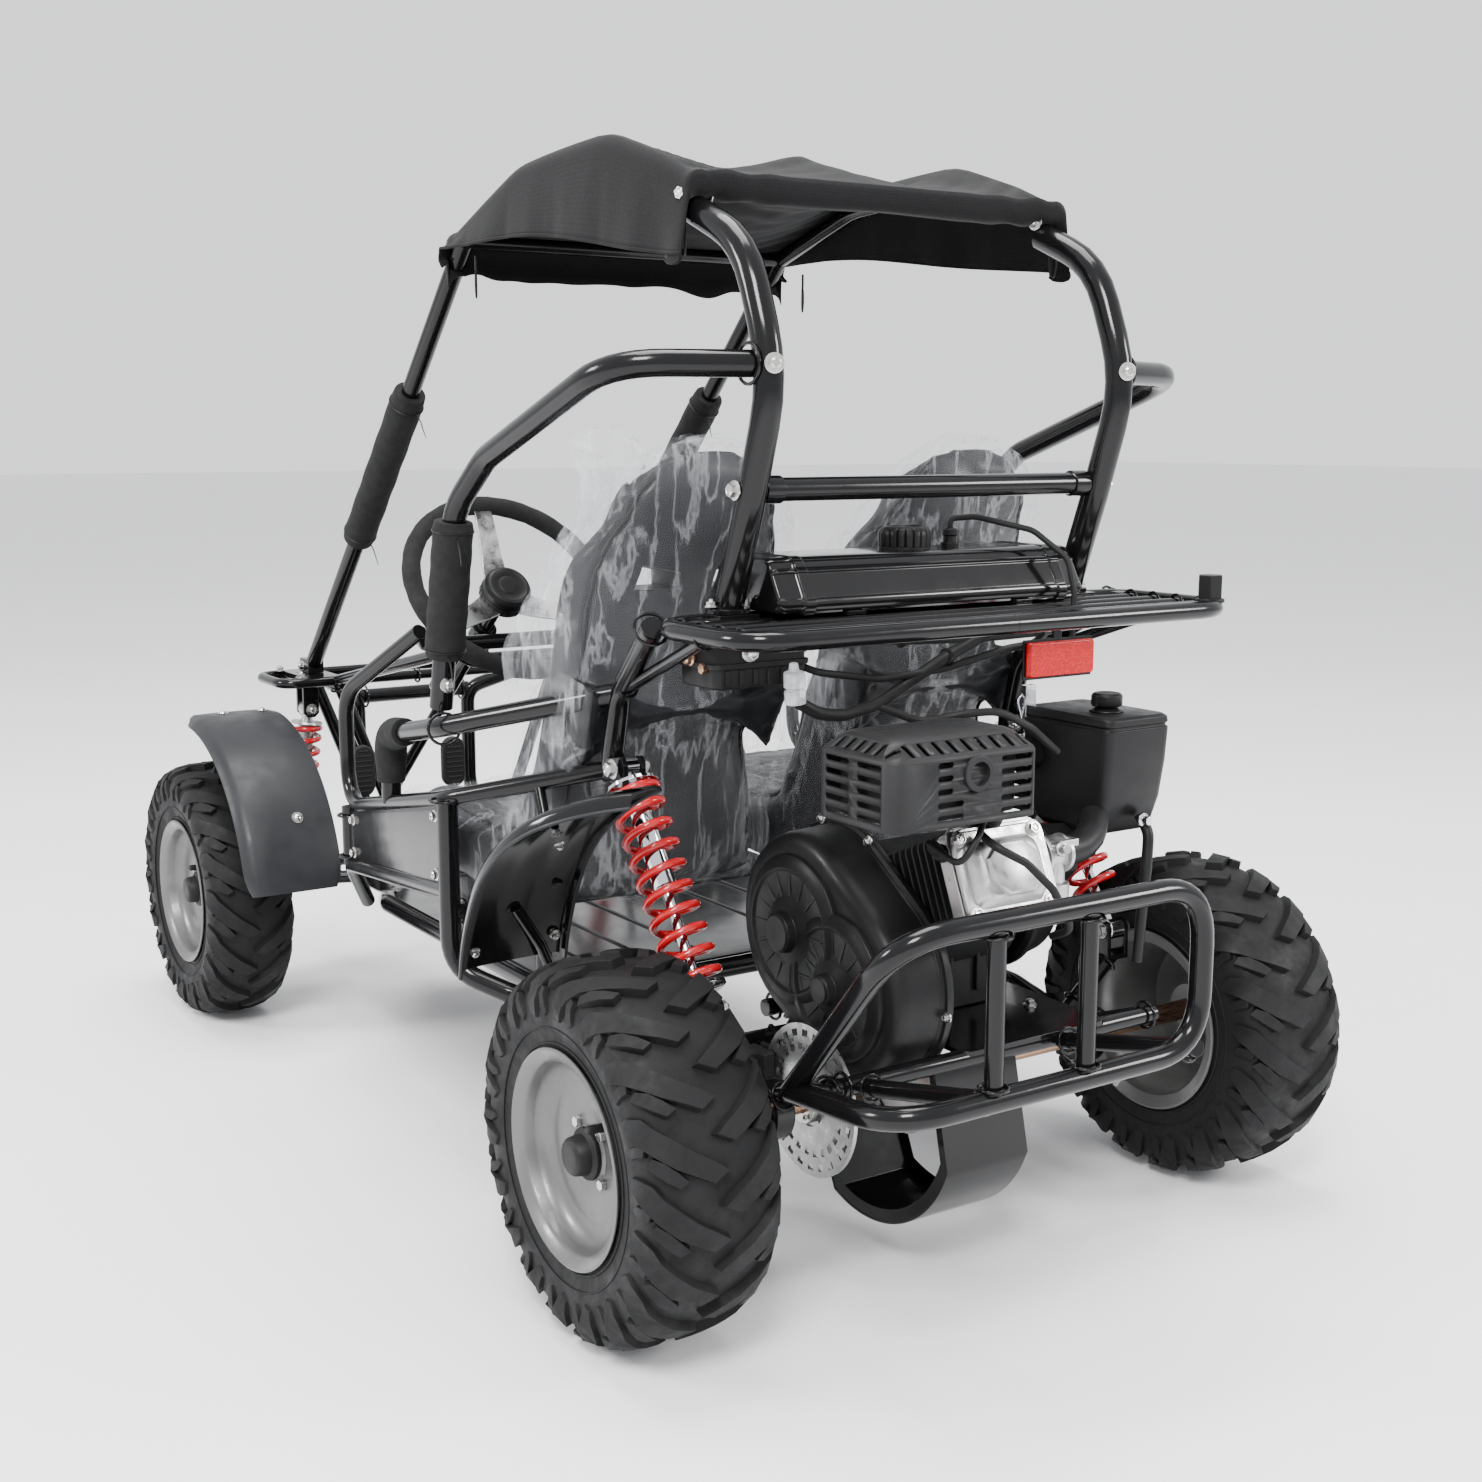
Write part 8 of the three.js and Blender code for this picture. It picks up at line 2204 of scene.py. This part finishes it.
class KART_OT_canopy(bpy.types.Operator):
    """Builds the roof cloth with its skirts, hem and cord loops"""
    bl_idname = "kart.canopy"
    bl_label = "Canopy"

    def execute(self, context):
        half = 250.0
        across_steps, along_steps = 64, 84
        # each column: distance along the cloth from the middle, x, drop and how far it hangs freely
        columns = []
        for k in range(across_steps // 2 + 1):
            columns.append((half * k / (across_steps // 2), half * k / (across_steps // 2), 0.0, 0.0))
        for turn in (0.25, 0.5, 0.75, 1.0):
            a = turn * pi / 2
            columns.append((half + 17 * a, half + 15.5 * sin(a), 15.5 * (1 - cos(a)), 0.0))
        for step in range(1, 13):
            columns.append((half + 26.7 + step * 4.9, half + 15.5 + 7.0 * step / 12, 15.5 + 4.9 * step,
                            step / 12))
        columns = [(-d, -x, drop, free) for d, x, drop, free in reversed(columns[1:])] + columns
        rows = [(CANOPY_FRONT + y, turned) for y, turned in (
            (6, 58), (1, 48), (-3, 38), (-3, 28), (-2, 20), (-0.6, 13), (-0.4, 6))]
        rows += [(mix(CANOPY_FRONT, CANOPY_REAR, i / along_steps), 0) for i in range(along_steps + 1)]
        rows += [(CANOPY_REAR + y, turned) for y, turned in (
            (0.4, 6), (0.6, 13), (-2, 20), (-8, 25), (-18, 26.6), (-28, 25), (-35, 18))]
        skin = Skin()
        grid, flats = [], []
        length = 0.0
        before = None
        for y, turned in rows:
            share = max(0.0, min(1.0, (y - CANOPY_FRONT) / (CANOPY_REAR - CANOPY_FRONT)))
            span = sin(pi * share)
            hem_height = mix(1175.0, 1119.0, share)
            crown = bow_height(max(-700.0, min(-116.0, y)))
            here = Vector((0, y, crown - turned))
            length += (here - before).length if before else 0.0
            before = here
            line = []
            for d, x, drop, free in columns:
                c = min(1.0, abs(x) / half)
                valley = sin(pi * min(1.0, c)) ** 1.3
                sag = (22.0 * valley - 7.0 * (1 - c) ** 2 + 2.0) * span if abs(x) < half else 0.0
                lobe = 13.0 * span * exp(-((abs(x) - 256) / 44) ** 2)
                wrinkle = (4.2 * ripple(x * 0.35, y * 1.3, 0, 48,
                                        2.0) + 2.4 * ripple(x * 0.9, y, 0, 27, 5.0)) * span * (1 - c ** 6)
                corner = exp(-((1 - c) * 3.0) ** 2 - ((1 - abs(2 * share - 1)) * 2.2) ** 2)
                pull = 2.6 * corner * sin(0.11 * (abs(x) + 1.4 * abs(y + 408))) if abs(x) < half else 0.0
                wave = free * (3.2 * sin(y * 0.026 + (1 if x > 0 else 3)) + 3.0 * ripple(y, x, 0, 46, 7.0))
                deeper = free * (4.0 * sin(y * 0.0125 + (0.9 if x > 0 else 2.4)) + hem_height - crown + 74.3)
                z = crown + lobe - sag - drop - turned * (1 if not free else 0.4) + wrinkle + pull + deeper
                if y < -500:
                    z -= max(0.0, turned - 20) * 0.36 * ripple(x, 0, 0, 90, 4.0)
                line.append((x + copysign(wave, x), y, z))
            grid.append(skin.ring(line))
            flats.append(length)
        chart = skin.mesh.loops.layers.uv.new("Weave")
        for i in range(len(grid) - 1):
            for k in range(len(columns) - 1):
                made = skin.face((grid[i][k], grid[i][k + 1], grid[i + 1][k + 1], grid[i + 1][k]))
                for loop, (a, b) in zip(made.loops, ((i, k), (i, k + 1), (i + 1, k + 1), (i + 1, k))):
                    loop[chart].uv = (columns[b][0] / 1000, flats[a] / 1000)
        area = sum(f.calc_area() for f in skin.mesh.faces)
        width = (columns[-1][0] - columns[0][0]) / 1000
        edges = [[tuple(v.co) for v in (row[k] for row in grid)] for k in (0, len(columns) - 1)]
        canopy = skin.piece("canopy_cloth", "chassis", "cloth", 0, 180, node="canopy")
        thick = canopy.modifiers.new("Thickness", "SOLIDIFY")
        thick.thickness = 0.0016
        thick.offset = 0
        flat = (max(width, area / (length / 1000)) * 1.01, length / 1000 * 1.01)

        hems = Skin()
        for edge in edges:
            hems.sweep([(x * 1000, y * 1000 - SHIFT, z * 1000 + 1.5) for x, y, z in edge], 1.9, 8)
        hem = hems.piece("canopy_hem", "chassis", "webbing")
        loops = Skin()
        for x, y, z, drop in ((258, -640, 1140, 34), (262, -118, 1150, 30), (-262, -118, 1150, 30),
                              (-258, -640, 1140, 34)):
            line = [(x + 5 * sin(a), y + 9 * sin(a), z - drop * (1 - cos(a)) / 2 - 2 * sin(2 * a))
                    for a in turns(24)]
            loops.sweep(line, 1.1, 8, closed=True)
            loops.sweep([(x, y, z + 18), (x, y, z + 8), (x, y, z)], 1.6, 8)
        ties = loops.piece("canopy_loops", "chassis", "boot")
        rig.sheet(canopy, flat=flat, held="stretched", rests_on=["roof_frame"],
                 area=min(area, flat[0] * flat[1]), with_pieces=[hem, ties])
        return {"FINISHED"}


class KART_OT_steering(bpy.types.Operator):
    """Builds the steering wheel, its column and the pitman plate"""
    bl_idname = "kart.steering"
    bl_label = "Steering"

    def execute(self, context):
        foot, head = Vector(COLUMN_FOOT), Vector(COLUMN_TOP)
        axis = (head - foot).normalized()
        length = (head - foot).length

        def at(x, y, z):
            return column_point(z, -y, x)

        rim = Skin()
        count = 72
        plane = length + 26
        rim.sweep([at(138 * cos(a), 138 * sin(a), plane) for a in turns(count)],
                  [13.0 - (0.7 if k % 4 == 0 else 0.0) for k in range(count)], 24, closed=True)
        rim.piece("steering_rim", "steering", "foam", 0, 40, node="steering_wheel")
        plates = Skin()
        for angle in (90, 210, 330):
            a = radians(angle)
            rings = []
            for r, wide, up in ((18, 20, 0), (30, 19, 0), (44, 17, 1.5), (60, 15.5, 6), (90, 14, 16),
                                (112, 13.5, 23), (124, 13, 26), (134, 12, 26)):
                c, e = cos(a), sin(a)
                ring = []
                for offset, high in ((-wide, 0), (wide, 0), (wide, 3.6), (-wide, 3.6)):
                    ring.append(at(r * c - offset * e, r * e + offset * c, length + up + high))
                rings.append(ring)
            plates.loft(rings)
        plates.piece("steering_spokes", "steering", "disc", 0.8, 30)
        hub = Skin()
        hub.turned(at(0, 0, length - 3), axis, [(0, 20), (0, 33), (2, 34), (12, 34), (14, 31.5), (16, 31.5),
                                                (18, 34), (26, 33.5), (31, 30), (32.5, 26), (31, 23),
                                                (30.6, 15), (32, 13.5), (32.6, 9), (32, 0)], 48)
        for a in turns(24):
            hub.tube([at(33.6 * cos(a), 33.6 * sin(a), length + rise) for rise in (-1, 8.5)], 1.3, sides=6)
        hub.piece("steering_hub", "steering", "plastic", 0.5, 30)
        column = Skin()
        column.turned(foot - axis * 2, axis, [(0, 7), (1, 9), (length + 4, 9), (length + 4, 0)], 24)
        along = (-790 - foot.y) / axis.y
        for place in (along - 18, along + 13):
            column.turned(foot + axis * place, axis, bored(5, 9, 12.5), 24)
        outline = [(-14.4, 14.4), (-23, -35), (-20, -41), (-14, -44), (14, -44), (20, -41), (23, -35),
                   (14.4, 14.4)]
        column.loft([[at(x, y, z) for x, y in outline] for z in (-3, 3)])
        column.piece("steering_column", "steering", "frame", 0.7, 30)
        nuts = Skin()
        for x in (-14, 14):
            bolt(nuts, at(x, -35, 3), axis, 4.6, 6)
        bolt(nuts, at(0, 0, -3.2), -axis, 5, 4)
        nuts.piece("steering_nuts", "steering", "zinc")
        return {"FINISHED"}


class KART_OT_pedals(bpy.types.Operator):
    """Builds the brake and throttle pedals"""
    bl_idname = "kart.pedals"
    bl_label = "Pedals"

    def execute(self, context):
        for name, x in (("brake_pedal", 224), ("throttle_pedal", 66)):
            arm = Skin()
            arm.turned((x - 20, -1184, 246), X, bored(40, 6, 9), 24)
            arm.tube([(x, -1184, 248), (x, -1184, 300), (x, -1185, 420)], 6.8, 30, 16)
            arm.prism([(x - 2, -1190, 252), (x - 2, -1178, 252), (x - 2, -1178, 300), (x - 2, -1190, 276)],
                      (4, 0, 0))
            arm.piece(name + "_arm", name, "satin", 0.7, 30, node=name)
            pad = Skin()
            def outline(y, inset):
                return [(x + u, y, 396 + v) for u, v in rounded(-20 + inset, 20 - inset, -42 + inset,
                                                                42 - inset, 19.5 - inset, 8)]
            pad.loft([outline(-1183.6, 2), outline(-1182.5, 0), outline(-1174, 0), outline(-1171.4, 2.2)])
            for k in range(9):
                z = 396 + (k - 4) * 8.2
                reach = 14 if 1 < k < 7 else 12 if k in (1, 7) else 8
                pad.tube([(x - reach, -1171.6, z), (x + reach, -1171.6, z)], 1.7, sides=8)
            pad.piece(name + "_pad", name, "boot", 0.6, 30)
            coil = Skin()
            coil.sweep(helix((x + 12, -1184, 246), X, 9, 10.6, 4), 0.9, 8)
            coil.piece(name + "_return_spring", name, "steel")
        return {"FINISHED"}


class KART_OT_cables(bpy.types.Operator):
    """Builds the cables and hoses that run under the rack to the engine"""
    bl_idname = "kart.cables"
    bl_label = "Cables"

    def execute(self, context):
        fixed = Skin()
        fixed.tube([(176, -52, 690), (150, -30, 676), (90, 4, 668), (20, 32, 678), (-40, 66, 700),
                    (-78, 92, 708)], 4.2, 60, 14)
        fixed.tube([(176, -60, 700), (120, -40, 708), (40, -20, 706), (-60, -6, 704), (-150, -2, 706),
                    (-230, 0, 716)], 6.0, 60, 16)
        fixed.tube([(196, 2, 650), (170, 2, 636), (140, 4, 632), (96, 6, 640), (60, 10, 660), (20, 34, 692),
                    (-30, 56, 722)], 7.0, 50, 16)
        fixed.piece("rack_cables", "chassis", "boot")
        clips = Skin()
        for x, y, z in ((40, -20, 706), (-150, -2, 706), (20, 34, 692)):
            clips.turned((x, y, z), (1, 0.2, 0), [(-4, 0), (-4, 9), (4, 9), (4, 0)], 20)
        clips.piece("cable_clips", "chassis", "plastic", 0.5, 30)
        glass = Skin()
        glass.turned((200, 1, 648), (0.1, 0.05, 1), [(0, 0), (0, 6), (2, 11.5), (16, 12), (17, 9), (19, 9),
                                                     (20, 12), (36, 11.5), (38, 6), (46, 4.5), (46, 0)], 28)
        glass.piece("in_line_filter", "chassis", "clear", 0.6, 30)
        inner = Skin()
        inner.turned((200.6, 1.3, 654), (0.1, 0.05, 1), [(0, 0), (0, 5), (26, 5), (26, 0)], 20)
        inner.piece("in_line_filter_core", "chassis", "steel")
        loose = Skin()
        route = [(96, 6, 640), (60, 40, 622), (20, 66, 632), (-16, 80, 634), (-60, 84, 612), (-104, 80, 580)]
        loose.tube(route, 4.4, 50, 14)
        hose = loose.piece("throttle_cable", "chassis", "boot")
        blended(hose, "chassis", "swing_arm", route[0], route[-1])
        return {"FINISHED"}


class KART_PT_panel(bpy.types.Panel):
    """Lists the kart's settings and pieces"""
    bl_idname = "KART_PT_panel"
    bl_label = "Off road go kart"
    bl_space_type = "VIEW_3D"
    bl_region_type = "UI"
    bl_category = "Kart"

    def draw(self, context):
        for group in (context.scene.kart_colours, context.scene.kart_sizes):
            box = self.layout.box()
            for name in group.__annotations__:
                box.prop(group, name)
        for name in ORDER:
            self.layout.operator("kart." + name)


ORDER = ("finishes", "stage", "floor_frame", "side_frames", "rack", "cage", "wheels", "shocks", "front_end",
         "swing_arm", "rear_axle", "chain", "engine", "engine_boxes", "rear_fenders", "tank", "seats",
         "canopy", "steering", "pedals", "cables")
GROUPS = (KartColours, KartSizes)
CLASSES = GROUPS + tuple(globals()["KART_OT_" + name] for name in ORDER) + (KART_PT_panel,)


def register():
    for made in CLASSES:
        bpy.utils.register_class(made)
    bpy.types.Scene.kart_colours = bpy.props.PointerProperty(type=KartColours)
    bpy.types.Scene.kart_sizes = bpy.props.PointerProperty(type=KartSizes)


def unregister():
    del bpy.types.Scene.kart_sizes
    del bpy.types.Scene.kart_colours
    for made in reversed(CLASSES):
        bpy.utils.unregister_class(made)


def main():
    register()
    for name in ORDER:
        getattr(bpy.ops.kart, name)()
    with open("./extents.json", "w") as sizes:
        json.dump([CAD_BOX, [list(corner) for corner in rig.bounds()]], sizes)


if __name__ == "__main__":
    main()
